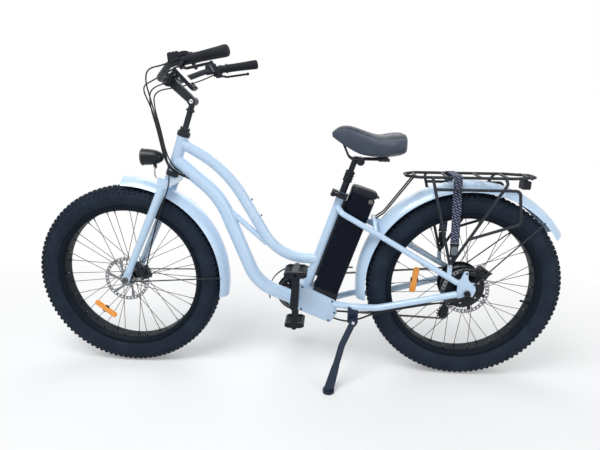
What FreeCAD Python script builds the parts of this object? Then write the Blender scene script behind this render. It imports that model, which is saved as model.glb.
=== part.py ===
# Fat tire bike: step-through cruiser frame with a battery behind the seat tube, a hub motor in
# the rear wheel, a rear rack with a luggage strap, standing upright on its kickstand.
# X points forward, Y to the rider's left, Z up; the origin is on the ground between the hubs.
import FreeCAD, Part
import math
import os
import Sketcher
from FreeCAD import Placement, Rotation, Vector

doc = FreeCAD.newDocument("FatTireBike")
sheet = doc.addObject("Spreadsheet::Sheet", "dim")

# Driving dimensions, in millimetres and degrees.
SIZES = {
    # stance and fits
    "wheelbase": 1320, "wheel_radius": 370, "gap": 0.3, "running_fit": 0.05, "overrun": 3,
    # tyres
    "tyre_half": 50, "tyre_mid_share": 0.4156, "tyre_wall": 6, "shoulder_half": 43,
    "shoulder_share": 0.8182, "crown_half": 30, "bead_radius": 288, "groove_place": 11,
    "groove_half": 3, "groove_depth": 4,
    # rims, spokes and reflectors
    "rim_half": 40.4, "rim_wall": 3.5, "rim_well_radius": 272, "rim_floor": 6, "rim_bed_half": 30,
    "rim_edge_radius": 293, "spoke_radius": 1.2, "spoke_count": 36, "spoke_hole_half": 14,
    "reflector_long": 104, "reflector_tall": 26, "reflector_thick": 7, "reflector_radius": 186,
    "front_reflector_turn": -52, "rear_reflector_turn": 7,
    # front hub
    "front_axle_radius": 5, "front_dropout_half": 67.5, "front_nose_radius": 11,
    "front_flange_radius": 32, "front_flange_half": 34, "flange_thick": 4,
    "front_barrel_radius": 17, "front_boss_radius": 24, "front_rotor_place": 56,
    "front_rotor_radius": 90, "front_lacing_turn": 48,
    # rear hub motor
    "rear_axle_radius": 7, "rear_dropout_half": 92, "rear_nose_radius": 13, "motor_radius": 75,
    "motor_half": 38, "rear_flange_radius": 84, "rear_flange_half": 30, "motor_cover_radius": 42,
    "motor_cover_half": 54, "rear_boss_radius": 26, "rear_rotor_place": 72,
    "rear_rotor_radius": 90, "rear_lacing_turn": 22,
    # brake discs and calipers
    "rotor_thick": 2, "rotor_band": 15, "rotor_hub_radius": 33, "rotor_arm_count": 6, "pad_gap": 0.4,
    "caliper_long": 50, "caliper_deep": 38, "caliper_inset": 12, "caliper_tab_radius": 9,
    "front_caliper_back": 73, "front_caliper_rise": 30, "rear_caliper_back": 52,
    "rear_caliper_rise": 72,
    # axle nuts and dropouts
    "nut_radius": 11, "nut_tall": 9, "dropout_thick": 7,
    # steering and fork
    "head_lean": 19, "fork_offset": 44, "crown_height": 764, "crown_deep": 44, "crown_tall": 36,
    "crown_round": 11,
    "fork_leg_half": 74, "leg_top_radius": 18, "leg_end_radius": 13, "leg_stop": 38,
    "fork_tip_radius": 16, "steerer_radius": 14.3, "steerer_room": 2, "head_low": 800,
    "head_top": 931, "head_radius": 22, "cup_radius": 24.5, "top_cup_tall": 34,
    "top_cup_neck_radius": 18.5, "quill_radius": 11.1, "quill_depth": 60,
    # frame tubes
    "bb_ahead": 650, "bb_height": 287, "bb_radius": 22, "bb_half": 50,
    "top_joint_height": 906, "top_bend_ahead": 270, "top_bend_height": 810,
    "top_bend_radius": 450, "low_bend_ahead": 70, "low_bend_height": 466, "low_bend_radius": 190,
    "top_end_height": 458, "top_tube_radius": 21,
    "down_joint_height": 840, "down_bend_ahead": 296, "down_bend_height": 699,
    "down_bend_radius": 300, "down_low_ahead": 154, "down_low_height": 347,
    "down_low_radius": 175, "down_tube_radius": 27,
    "brace_upper_ahead": 265, "brace_upper_height": 652, "brace_lower_ahead": 115,
    "brace_lower_height": 517, "brace_radius": 11, "boss_radius": 4, "boss_tall": 5,
    "boss_upper_share": 0.38, "boss_lower_share": 0.56,
    "seat_setback": 26, "seat_lean": 19, "seat_tube_radius": 18, "seat_tube_low": 24,
    "seat_tube_top": 466,
    # seat stays
    "seat_stay_radius": 11, "stay_joint_up": 411, "stay_joint_half": 22, "stay_flare_up": 399,
    "stay_flare_back": 23, "stay_flare_half": 57, "stay_mid_ahead": 345, "stay_mid_height": 588,
    "stay_mid_half": 74, "stay_end_ahead": 38, "stay_end_rise": 41, "stay_bend_radius": 40,
    "stay_flare_radius": 14, "bridge_ahead": 350, "bridge_height": 628, "bridge_half": 46,
    "bridge_radius": 8, "bridge_bend_radius": 16,
    # chain stays and dropouts
    "chain_stay_radius": 13, "yoke_back": 152, "yoke_drop": 5, "yoke_half": 34,
    "chain_stay_ahead": 412, "chain_stay_height": 291, "chain_stay_half": 74,
    "chain_stay_low_ahead": 330, "chain_stay_low_height": 289, "chain_stay_bend_radius": 70,
    "chain_stay_low_radius": 160, "chain_stay_end_ahead": 38, "chain_stay_end_drop": 5,
    "dropout_long": 42, "dropout_tall": 86,
    # controller housing, battery dock and battery
    "box_long": 157, "box_tall": 164, "box_half": 40, "cover_thick": 3,
    "rail_half": 14, "rail_front": 15, "rail_low": 120, "rail_top": 440, "shoe_low": 50,
    "battery_front": 26, "battery_deep": 100, "battery_half": 38, "battery_low": 82,
    "battery_top": 498, "battery_round": 11, "battery_side_round": 24, "handle_long": 92, "handle_wide": 30,
    "handle_tall": 7, "handle_back": 30, "key_radius": 9, "key_deep": 12, "key_proud": 3,
    "key_back": 108, "key_up": 474, "key_slot": 3, "key_slot_deep": 2,
    # seat post, clamp and lever
    "post_radius": 13.6, "post_low": 266, "post_top": 510, "boot_top": 553, "boot_radius": 19,
    "boot_waist_radius": 16, "shaft_radius": 11, "shaft_low": 390, "shaft_room_low": 340,
    "seat_clamp_radius": 24, "seat_clamp_tall": 22, "lug_ahead": 40, "lug_half": 12,
    "lever_pivot_ahead": 34, "lever_pivot_out": 32, "lever_pin_radius": 4, "lever_boss_radius": 8,
    "lever_foot": 6, "lever_tall": 12, "lever_tip_back": 14, "lever_tip_out": 34,
    "lever_tip_radius": 6,
    # saddle
    "saddle_clamp_up": 600, "saddle_clamp_back": 20, "saddle_clamp_radius": 15,
    "saddle_clamp_half": 28, "saddle_long": 266, "saddle_half": 112, "saddle_tall": 131,
    "rail_wire_radius": 4, "rail_wire_half": 22, "rail_rise": 8, "rail_bend_radius": 26,
    "rail_nose_ahead": 66, "rail_nose_rise": 66, "rail_front_ahead": 40, "rail_rear_back": 76,
    "rail_tail_back": 118, "rail_tail_rise": 30, "bumper_back": 84, "bumper_long": 40,
    "bumper_half": 46, "bumper_thick": 9, "bumper_radius": 14, "bumper_place": 32,
    # stem, handlebar and display
    "stem_pivot_rise": 100.3, "stem_reach": 82, "stem_rise": 76, "stem_pivot_radius": 16,
    "stem_pivot_half": 22, "stem_arm_radius": 15, "stem_clamp_radius": 24, "stem_clamp_half": 22,
    "stem_bolt_tall": 8, "stem_bolt_rise": 30, "stem_neck_radius": 13.5, "stem_nose_radius": 16.5,
    "bar_radius": 11.1, "bar_bulge_radius": 15.9, "bar_bulge_half": 42, "bar_straight_half": 118,
    "bar_knee_back": 75, "bar_knee_half": 222, "bar_knee_rise": 42, "bar_end_back": 277,
    "bar_end_half": 295, "bar_end_rise": 76, "bar_bend_radius": 70,
    "grip_long": 130, "grip_radius": 16.5, "grip_end_radius": 18.5, "grip_lip_radius": 20,
    "grip_lip": 4, "grip_cap": 3,
    "display_long": 104, "display_wide": 64, "display_thick": 13, "display_lean": 46.5,
    "display_back": 57, "display_rise": 4, "display_arm_half": 34, "display_arm_wide": 9,
    "display_arm_long": 14, "display_ring": 4,
    # brake levers, throttle, keypad and shifter
    "throttle_wide": 14, "throttle_radius": 15.5, "paddle_long": 34, "paddle_radius": 5,
    "perch_wide": 20, "perch_radius": 15.5, "perch_arm_radius": 8, "blade_turn": 40,
    "blade_offset": 36, "blade_eye_radius": 7, "blade_eye_half": 5, "blade_pin_radius": 3,
    "blade_radius": 4.5, "blade_knee": 26, "blade_out": 50, "blade_long": 118,
    "blade_ball_radius": 6.5, "blade_bend_radius": 24, "keypad_long": 30, "keypad_wide": 24,
    "keypad_tall": 13, "keypad_rise": 13, "button_radius": 6, "button_tall": 5,
    "button_travel": 1.5, "button_sink": 3, "pod_radius": 17, "pod_tall": 14, "pod_drop": 12,
    "shift_pin_radius": 4, "shift_thick": 6, "shift_eye_radius": 9, "shift_long": 40,
    "shift_tip_radius": 6,
    # headlight
    "lamp_long": 84, "lamp_radius": 31, "lamp_rim_radius": 33, "lamp_rim": 6, "lamp_lens_inset": 3,
    "lamp_back_radius": 14, "lamp_ahead": 500, "lamp_height": 850, "lamp_lug_radius": 6,
    "lamp_lug_half": 5, "lamp_pivot_ahead": 36, "lamp_pivot_drop": 39, "lamp_pin_radius": 3,
    "lamp_wire_radius": 3.5, "lamp_wire_half": 10, "lamp_wire_bend_radius": 12,
    "lamp_wire_drop": 40,
    # fenders and their stays
    "fender_thick": 2, "front_fender_radius": 405, "front_fender_half": 54,
    "front_fender_skirt": 30, "front_fender_start_turn": 90, "front_fender_end_turn": 190.5,
    "rear_fender_radius": 413, "rear_fender_half": 57, "rear_fender_skirt": 36,
    "rear_fender_start_turn": -9, "rear_fender_end_turn": 147.5, "fender_wire_radius": 2.5,
    "fender_eye_back": 16, "fender_eye_drop": 20, "front_wire_turn": 178, "rear_wire_turn": 135,
    "rear_eye_back": 21, "rear_eye_rise": 34, "fender_tab_half": 12,
    # cranks and pedals
    "crank_long": 165, "crank_lean": 4, "crank_inner": 72, "crank_thick": 14,
    "crank_boss_radius": 17, "crank_tip_radius": 13, "spindle_radius": 10, "crank_bolt_radius": 8,
    "crank_bolt_tall": 3, "pedal_pin_radius": 6, "pedal_half": 42, "pedal_wide": 94,
    "pedal_tall": 24, "pedal_bevel": 14, "pedal_barrel_half": 12, "pedal_rim": 9,
    # chain drive
    "chain_line": 65, "chain_pitch": 12.7, "ring_teeth": 36, "ring_thick": 2.4, "tooth_tip": 3,
    "tooth_root": 4, "ring_window_radius": 56, "ring_arm_radius": 26, "ring_window_count": 5,
    "guard_radius": 84, "guard_thick": 2, "guard_place": 70, "guard_bore_radius": 62,
    "cog_teeth": 24, "cog_step_teeth": 4, "cog_count": 6, "cog_spacing": 4.5, "cog_thick": 2,
    "freewheel_radius": 20, "jockey_teeth": 11, "jockey_pin_radius": 3, "guide_ahead": 20,
    "guide_drop": 88, "tension_ahead": 44, "tension_drop": 156, "plate_tall": 4.2,
    "plate_thick": 1.3, "plate_half": 3.2, "pin_radius": 1.8, "pin_link_count": 4,
    "cage_radius": 13, "cage_half": 7, "cage_thick": 2, "hanger_ahead": 16, "hanger_drop": 58,
    "hanger_radius": 12, "hanger_bolt_radius": 7, "mech_thick": 9,
    "guard_roof_radius": 113, "guard_roof_thick": 3, "guard_roof_start_turn": -14,
    "guard_roof_end_turn": 89, "guard_roof_wide": 14, "guard_tail_long": 232, "guard_arm_radius": 9,
    "guard_arm_thick": 3, "guard_arm_turn": 70,
    # kickstand
    "kick_ahead": 420, "kick_height": 236, "kick_half": 100, "kick_splay": 20,
    "kick_eye_radius": 15, "kick_eye_half": 13.5, "kick_pin_radius": 6, "kick_knee_ahead": 40,
    "kick_knee_out": 36, "kick_knee_drop": 76, "kick_foot_ahead": 88, "kick_foot_out": 108,
    "kick_leg_radius": 12.5, "kick_bend_radius": 60, "kick_pad_radius": 22, "kick_pad_tall": 12,
    "kick_shoe_long": 86, "kick_shoe_radius": 19, "kick_shoe_rise": 10, "kick_shoe_wall": 1.5,
    "kick_block_long": 40, "kick_block_half": 15, "kick_block_place": 66,
    # rear rack, tail light and strap
    "rack_height": 800, "rack_radius": 5.5, "rack_half": 62, "rack_front_ahead": 240,
    "rack_rear_back": 224, "rack_front_taper": 40, "rack_rear_taper": 84, "rack_nose_half": 28,
    "rack_bend_radius": 24, "rack_side_half": 92, "strut_front_ahead": 151,
    "strut_rear_back": 107, "strut_foot_ahead": 70, "strut_foot_rise": 106, "eyelet_radius": 8,
    "eyelet_thick": 6, "strut_bend_radius": 16,
    "strut_shoulder_drop": 16, "loop_drop": 39, "loop_rear_back": 152, "loop_low_drop": 160,
    "loop_low_back": 166, "loop_end_drop": 221, "loop_bend_radius": 18,
    "rod_radius": 3, "rod_half": 16, "rod_front_ahead": 206, "rod_knee_ahead": 312,
    "rod_knee_height": 656, "rod_bend_radius": 30,
    "tail_long": 26, "tail_wide": 46, "tail_tall": 30, "tail_stem": 10,
    "strap_ahead": 62, "strap_wide": 35, "strap_thick": 2.5,
    "strap_end_drop": 228, "hook_wide": 30, "hook_tall": 80, "hook_thick": 3,
    # cable housings
    "cable_radius": 2.6, "lead_radius": 3.4,
}

for row, (alias, value) in enumerate(SIZES.items(), start=1):
    sheet.set("A%d" % row, alias)
    sheet.set("B%d" % row, str(value))
    sheet.setAlias("B%d" % row, alias)
doc.recompute()


class Dimensions:
    """Reads the driving dimensions back from the sheet by name."""

    def __getattr__(self, alias):
        return float(sheet.get(alias))


dim = Dimensions()
NODES = []
UP = Vector(0, 0, 1)
LEFT = Vector(0, 1, 0)
AHEAD = Vector(1, 0, 0)
HERE = Vector(0, 0, 0)
SIDES = (1, -1)


# Helpers for document objects.
def keep(item):
    """Marks a document object as a finished sub-part, written under its label."""
    NODES.append(item)
    return item


def feature(label, shape):
    """A sub-part whose shape is worked out below from the sheet."""
    item = doc.addObject("Part::Feature", label)
    item.Shape = shape
    return item


def number(text):
    """The present value of an expression over the sheet."""
    return float(sheet.evalExpression(text))


def origin_plane(body, role):
    """One of the three base planes of a body."""
    return [item for item in body.Origin.OriginFeatures if item.Role == role][0]


def outline(body, label, role, points):
    """A closed sketch whose corners are bound to expressions over the sheet."""
    sketch = body.newObject("Sketcher::SketchObject", label)
    sketch.AttachmentSupport = [(origin_plane(body, role), "")]
    sketch.MapMode = "FlatFace"
    places = [[number(text) for text in point] for point in points]
    count = len(points)
    for side in range(count):
        start = Vector(*places[side], 0)
        end = Vector(*places[(side + 1) % count], 0)
        sketch.addGeometry(Part.LineSegment(start, end), False)
    for side in range(count):
        sketch.addConstraint(Sketcher.Constraint("Coincident", side, 2, (side + 1) % count, 1))
    for side in range(count):
        for kind, axis, value, text in zip(("DistanceX", "DistanceY"), (-2, -1),
                                           places[side], points[side]):
            if value == 0:
                sketch.addConstraint(Sketcher.Constraint("PointOnObject", side, 1, axis))
                continue
            index = sketch.addConstraint(Sketcher.Constraint(kind, -1, 1, side, 1, value))
            sketch.setExpression("Constraints[%d]" % index, text)
    return sketch


def turned(label, points, placement):
    """A body turned about its own Z axis from corners given as radius and height."""
    body = doc.addObject("PartDesign::Body", label)
    sketch = outline(body, label + "_outline", "XZ_Plane", points)
    turn = body.newObject("PartDesign::Revolution", label + "_turn")
    turn.Profile = sketch
    turn.ReferenceAxis = (sketch, ["V_Axis"])
    turn.Angle = 360
    body.Placement = placement
    return body


def padded(label, points, thickness, placement):
    """A plate in the body's own XZ plane, half its thickness to each side."""
    body = doc.addObject("PartDesign::Body", label)
    sketch = outline(body, label + "_outline", "XZ_Plane", points)
    pad = body.newObject("PartDesign::Pad", label + "_pad")
    pad.Profile = sketch
    pad.SideType = "Symmetric"
    pad.setExpression("Length", thickness)
    body.Placement = placement
    return body


def pierced(body, label, role, points):
    """Cuts a window right through a body."""
    sketch = outline(body, label + "_outline", role, points)
    window = body.newObject("PartDesign::Pocket", label)
    window.Profile = sketch
    window.Type = "ThroughAll"
    window.SideType = "Symmetric"
    body.Tip = window
    return window


def repeated(body, window, count):
    """Repeats a window round the body's Z axis."""
    ring = body.newObject("PartDesign::PolarPattern", window.Label + "_ring")
    ring.Originals = [window]
    ring.Axis = (window.Profile[0], ["N_Axis"])
    ring.Angle = 360
    ring.setExpression("Occurrences", count)
    body.Tip = ring


def rod(label, radius, length, placement):
    """A round bar along its own Z axis, bound to the sheet."""
    item = doc.addObject("Part::Cylinder", label)
    item.setExpression("Radius", radius)
    item.setExpression("Height", length)
    item.Placement = placement
    return item


def block(label, sizes, placement):
    """A box from its own corner, bound to the sheet."""
    item = doc.addObject("Part::Box", label)
    for side, text in zip(("Length", "Width", "Height"), sizes):
        item.setExpression(side, text)
    item.Placement = placement
    return item


def hexagon(label, radius, length, placement):
    """A six-sided nut along its own Z axis, bound to the sheet."""
    item = doc.addObject("Part::Prism", label)
    item.Polygon = 6
    item.setExpression("Circumradius", radius)
    item.setExpression("Height", length)
    item.Placement = placement
    return item


def fused(label, items):
    """Document objects joined into one solid."""
    item = doc.addObject("Part::MultiFuse", label)
    item.Shapes = items
    return item


def cut(label, base, tool):
    """One document object less another."""
    item = doc.addObject("Part::Cut", label)
    item.Base = base
    item.Tool = tool
    return item


def grouped(label, items):
    """Document objects that touch and stay separate solids of one sub-part."""
    item = doc.addObject("Part::Compound", label)
    item.Links = items
    return item


# Helpers for places and plain shapes.
def facing(point, direction):
    """A placement that stands the local Z axis along a direction."""
    return Placement(point, Rotation(UP, direction))


def leaning(point, degrees):
    """A placement whose local Z axis leans back by an angle."""
    return Placement(point, Rotation(LEFT, -degrees))


def rear(ahead, side, height):
    """A point measured forward from below the rear hub."""
    return Vector(ahead - dim.wheelbase / 2, side, height)


def mirrored(shape):
    """The same shape on the other side of the bike."""
    return shape.mirror(HERE, LEFT)


def pair(shape):
    """A shape and its mirror image as one."""
    return shape.fuse(mirrored(shape))


def bar(start, end, radius):
    """A straight round bar between two points."""
    return Part.makeCylinder(radius, (end - start).Length, start, end - start)


def route(points, radii):
    """A wire of straight runs joined by tangent arcs."""
    edges = []
    start = points[0]
    for before, corner, after, radius in zip(points, points[1:], points[2:], radii):
        back = (before - corner).normalize()
        on = (after - corner).normalize()
        half = back.getAngle(on) / 2
        arm = radius / math.tan(half)
        inward = (back + on).normalize()
        middle = corner + inward * (radius / math.sin(half) - radius)
        edges.append(Part.LineSegment(start, corner + back * arm).toShape())
        edges.append(Part.Arc(corner + back * arm, middle, corner + on * arm).toShape())
        start = corner + on * arm
    edges.append(Part.LineSegment(start, points[-1]).toShape())
    return Part.Wire(edges)


def tube(points, radii, radius):
    """A round bar bent along a route."""
    path = route(points, radii)
    ring = Part.Wire([Part.Circle(points[0], points[1] - points[0], radius).toShape()])
    return path.makePipeShell([ring], True, False)


def cord(label, points, radius):
    """A cable along a hand-chosen route, each arc as large as its two runs allow."""
    reach_share = 0.45
    radii = []
    for before, corner, after in zip(points, points[1:], points[2:]):
        turn = math.pi - (before - corner).getAngle(after - corner)
        run = min((before - corner).Length, (after - corner).Length)
        radii.append(reach_share * run / math.tan(turn / 2))
    shape = tube(points, radii, radius)
    section = math.pi * radius ** 2 * route(points, radii).Length
    print("%s: radii %s, volume share %.4f"
          % (label, " ".join("%.0f" % bend for bend in radii), shape.Volume / section))
    return shape


def linked(near, far, near_radius, far_radius, low, high):
    """A plate of two round ends and two straight sides, from one Y level to another."""
    span = (far - near).Length
    ahead = (far - near).normalize()
    across = Vector(-ahead.z, 0, ahead.x)
    lean = (near_radius - far_radius) / span
    rise = math.sqrt(1 - lean ** 2)
    sides = [ahead * lean + across * rise, ahead * lean - across * rise]
    corners = [near + sides[0] * near_radius, far + sides[0] * far_radius,
               far + sides[1] * far_radius, near + sides[1] * near_radius]
    edges = [Part.LineSegment(corners[0], corners[1]).toShape(),
             Part.Arc(corners[1], far + ahead * far_radius, corners[2]).toShape(),
             Part.LineSegment(corners[2], corners[3]).toShape(),
             Part.Arc(corners[3], near - ahead * near_radius, corners[0]).toShape()]
    face = Part.Face(Part.Wire(edges))
    face.translate(LEFT * low)
    return face.extrude(LEFT * (high - low))


def prism(points, low, high):
    """A many-sided plate in the XZ plane, from one Y level to another."""
    face = Part.Face(Part.makePolygon(points + points[:1]))
    face.translate(LEFT * low)
    return face.extrude(LEFT * (high - low))


def centred_box(long, wide, tall):
    """A box about its own centre."""
    return Part.makeBox(long, wide, tall, Vector(-long / 2, -wide / 2, -tall / 2))


def placed(shape, placement):
    """A shape moved to a placement."""
    shape.Placement = placement.multiply(shape.Placement)
    return shape


# Reference places of the bike.
REAR_HUB = rear(0, 0, dim.wheel_radius)
FRONT_HUB = rear(dim.wheelbase, 0, dim.wheel_radius)
BOTTOM_BRACKET = rear(dim.bb_ahead, 0, dim.bb_height)
SEAT_BASE = BOTTOM_BRACKET - AHEAD * dim.seat_setback
SEAT_FRAME = leaning(SEAT_BASE, dim.seat_lean)


def steering_point(height):
    """The point of the steering axis at a height."""
    lean = math.radians(dim.head_lean)
    trail = dim.fork_offset / math.cos(lean)
    ahead = dim.wheelbase - trail - (height - dim.wheel_radius) * math.tan(lean)
    return rear(ahead, 0, height)


STEER_AXIS = (steering_point(dim.head_top) - steering_point(dim.head_low)).normalize()
CROWN = steering_point(dim.crown_height)
HEAD_LOW = steering_point(dim.head_low)
HEAD_TOP = steering_point(dim.head_top)
STEERER_TOP = HEAD_TOP + STEER_AXIS * dim.top_cup_tall
STEM_PIVOT = STEERER_TOP + STEER_AXIS * dim.stem_pivot_rise
BAR_CENTRE = STEM_PIVOT + Vector(dim.stem_reach, 0, dim.stem_rise)


def seat_placed(ahead, side, up):
    """A placement along the seat tube at a point of its frame."""
    return SEAT_FRAME.multiply(Placement(Vector(ahead, side, up), Rotation()))


def seat_point(ahead, side, up):
    """A point in the seat tube's own frame: forward of it, to a side and up along it."""
    return SEAT_FRAME.multVec(Vector(ahead, side, up))


# Wheels.
def make_tyre(label, hub):
    """A hollow tyre with a flat, twice-grooved crown."""
    foot = dim.rim_half - dim.rim_wall
    edge = dim.wheel_radius - dim.groove_depth
    tall = dim.wheel_radius - dim.rim_edge_radius
    middle = dim.rim_edge_radius + tall * dim.tyre_mid_share
    shoulder = dim.rim_edge_radius + tall * dim.shoulder_share
    half = [(foot - dim.tyre_wall, dim.bead_radius), (foot, dim.bead_radius),
            (foot, dim.rim_edge_radius), (dim.tyre_half, middle),
            (dim.shoulder_half, shoulder), (dim.crown_half, dim.wheel_radius),
            (dim.groove_place + dim.groove_half, dim.wheel_radius),
            (dim.groove_place + dim.groove_half, edge), (dim.groove_place - dim.groove_half, edge),
            (dim.groove_place - dim.groove_half, dim.wheel_radius)]
    inner = [(dim.crown_half, edge - dim.tyre_wall),
             (dim.shoulder_half - dim.tyre_wall, shoulder - dim.tyre_wall),
             (dim.tyre_half - dim.tyre_wall, middle)]

    def place(point, side):
        return Vector(0, side * point[0], point[1])

    edges = []
    for side in SIDES:
        corners = [place(point, side) for point in half]
        lines = corners[:3], corners[4:]
        for run in lines:
            edges += [Part.LineSegment(a, b).toShape() for a, b in zip(run, run[1:])]
        edges.append(Part.Arc(corners[2], corners[3], corners[4]).toShape())
        rim = [place(point, side) for point in inner]
        edges.append(Part.LineSegment(rim[0], rim[1]).toShape())
        edges.append(Part.Arc(rim[1], rim[2], corners[0]).toShape())
    edges.append(Part.LineSegment(place(half[-1], 1), place(half[-1], -1)).toShape())
    edges.append(Part.LineSegment(place(inner[0], 1), place(inner[0], -1)).toShape())
    face = Part.Face(Part.Wire(Part.__sortEdges__(edges)))
    ring = face.revolve(HERE, LEFT, 360)
    tyre = keep(feature(label, ring))
    tyre.Placement = Placement(hub, Rotation())


def spoke_ring(flange_radius, flange_half, lacing):
    """The crossed spokes of one wheel, each from a hub flange to the rim's well."""
    spokes = []
    count = int(dim.spoke_count)
    for index in range(count):
        side = SIDES[index % 2]
        cross = SIDES[(index // 2) % 2]
        turn = 2 * math.pi * index / count
        start_turn = turn + cross * math.radians(lacing)
        start_radius = flange_radius + dim.spoke_radius
        end_radius = dim.rim_well_radius - dim.spoke_radius
        start = Vector(start_radius * math.cos(start_turn), side * flange_half,
                       start_radius * math.sin(start_turn))
        shift = LEFT * (side * cross * (dim.spoke_radius + dim.gap / 4))
        end = Vector(end_radius * math.cos(turn), side * dim.spoke_hole_half,
                     end_radius * math.sin(turn))
        spokes.append(bar(start + shift, end + shift, dim.spoke_radius))
    return Part.makeCompound(spokes)


def make_rim(wheel, hub, flange_radius, flange_half, lacing, reflector_turn):
    """A wide hollow rim with its spokes and one reflector between them."""
    inside = "dim.rim_half - dim.rim_wall"
    bed = "dim.rim_well_radius + dim.rim_floor"
    half = [("dim.rim_well_radius", "dim.rim_bed_half"), ("dim.bead_radius - dim.rim_floor", "dim.rim_half"),
            ("dim.rim_edge_radius", "dim.rim_half"), ("dim.rim_edge_radius", inside),
            ("dim.bead_radius", inside), (bed, "dim.rim_bed_half - dim.rim_wall")]
    other = [(radius, "-(%s)" % along) for radius, along in reversed(half)]
    axle = facing(hub, LEFT)
    hoop = turned(wheel + "_hoop", half + other, axle)
    spokes = feature(wheel + "_spokes", spoke_ring(flange_radius, flange_half, lacing))
    spokes.Placement = Placement(hub, Rotation())
    turn = Rotation(LEFT, -reflector_turn)
    middle = turn.multVec(AHEAD * dim.reflector_radius) + LEFT * (flange_half + dim.flange_thick)
    corner = turn.multVec(Vector(-dim.reflector_tall / 2, 0, -dim.reflector_long / 2))
    sizes = ("dim.reflector_tall", "dim.reflector_thick", "dim.reflector_long")
    reflector = block(wheel + "_reflector", sizes, Placement(hub + middle + corner, turn))
    for attempt in range(4):
        doc.recompute()
        slack = reflector.Shape.distToShape(spokes.Shape)[0] - dim.gap
        reflector.Placement.move(LEFT * -slack)
    keep(grouped(wheel + "_rim", [hoop, spokes, reflector]))


def make_rotor(label, hub, place, radius, bore):
    """A brake disc with windows between its band and its middle."""
    level = "dim.%s" % place
    low = "%s - dim.rotor_thick / 2" % level
    high = "%s + dim.rotor_thick / 2" % level
    outer = "dim.%s" % radius
    disc = turned(label, [("dim.%s" % bore, low), (outer, low), (outer, high), ("dim.%s" % bore, high)],
                  facing(hub, LEFT))
    near = "dim.rotor_hub_radius"
    far = "(%s - dim.rotor_band)" % outer
    wide = "%s * sin(0.7 * 180 / dim.rotor_arm_count)" % far
    narrow = "%s * sin(0.55 * 180 / dim.rotor_arm_count)" % near
    chord = "%s * cos(0.7 * 180 / dim.rotor_arm_count)" % far
    window = pierced(disc, label + "_window", "XY_Plane",
                     [(near, "-%s" % narrow), (chord, "-%s" % wide), (chord, wide), (near, narrow)])
    repeated(disc, window, "dim.rotor_arm_count")
    keep(disc)


def make_front_hub():
    """The front hub: two flanges, a brake boss and a bore that turns on the axle."""
    bore = "dim.front_axle_radius + dim.running_fit"
    end = "dim.front_dropout_half - dim.gap"
    flange = "dim.front_flange_half"
    low = "%s - dim.flange_thick / 2" % flange
    high = "%s + dim.flange_thick / 2" % flange
    seat = "dim.front_rotor_place - dim.rotor_thick / 2"
    barrel = "dim.front_barrel_radius"
    nose = "dim.front_nose_radius"
    wide = "dim.front_flange_radius"
    points = [(bore, "-(%s)" % end), (nose, "-(%s)" % end), (nose, "-(%s)" % high),
              (wide, "-(%s)" % high), (wide, "-(%s)" % low), (barrel, "-(%s)" % low),
              (barrel, low), (wide, low), (wide, high), ("dim.front_boss_radius", high),
              ("dim.front_boss_radius", seat), (nose, seat), (nose, end), (bore, end)]
    keep(turned("front_hub", points, facing(FRONT_HUB, LEFT)))


def make_rear_hub():
    """The hub motor: a wide drum with spoke flanges, side covers and a brake boss."""
    bore = "dim.rear_axle_radius + dim.running_fit"
    end = "dim.rear_dropout_half - dim.gap"
    low = "dim.rear_flange_half - dim.flange_thick / 2"
    high = "dim.rear_flange_half + dim.flange_thick / 2"
    seat = "dim.rear_rotor_place - dim.rotor_thick / 2"
    drum = "dim.motor_radius"
    wide = "dim.rear_flange_radius"
    nose = "dim.rear_nose_radius"
    points = [(bore, "-(%s)" % end), (nose, "-(%s)" % end), (nose, "-dim.motor_cover_half"),
              ("dim.motor_cover_radius", "-dim.motor_cover_half"), (drum, "-dim.motor_half"),
              (drum, "-(%s)" % high), (wide, "-(%s)" % high), (wide, "-(%s)" % low),
              (drum, "-(%s)" % low), (drum, low), (wide, low), (wide, high), (drum, high),
              (drum, "dim.motor_half"), ("dim.motor_cover_radius", "dim.motor_cover_half"),
              ("dim.rear_boss_radius", "dim.motor_cover_half"), ("dim.rear_boss_radius", seat),
              (nose, seat), (nose, end), (bore, end)]
    keep(turned("rear_hub", points, facing(REAR_HUB, LEFT)))


def make_axle(wheel, hub):
    """An axle through both dropouts with a nut at each end."""
    radius = "dim.%s_axle_radius" % wheel
    half = "(dim.%s_dropout_half + dim.dropout_thick)" % wheel
    stub = "dim.nut_tall + dim.overrun"
    reach = number(half) + number(stub)
    shaft = rod(wheel + "_shaft", radius, "2 * (%s + %s)" % (half, stub), facing(hub - LEFT * reach, LEFT))
    nuts = []
    for side, word in zip(SIDES, ("left", "right")):
        face = hub + LEFT * side * number(half)
        nuts.append(hexagon("%s_%s_nut" % (wheel, word), "dim.nut_radius + %s / 3" % radius,
                            "dim.nut_tall", facing(face, LEFT * side)))
    keep(fused(wheel + "_axle", [shaft] + nuts))


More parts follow.
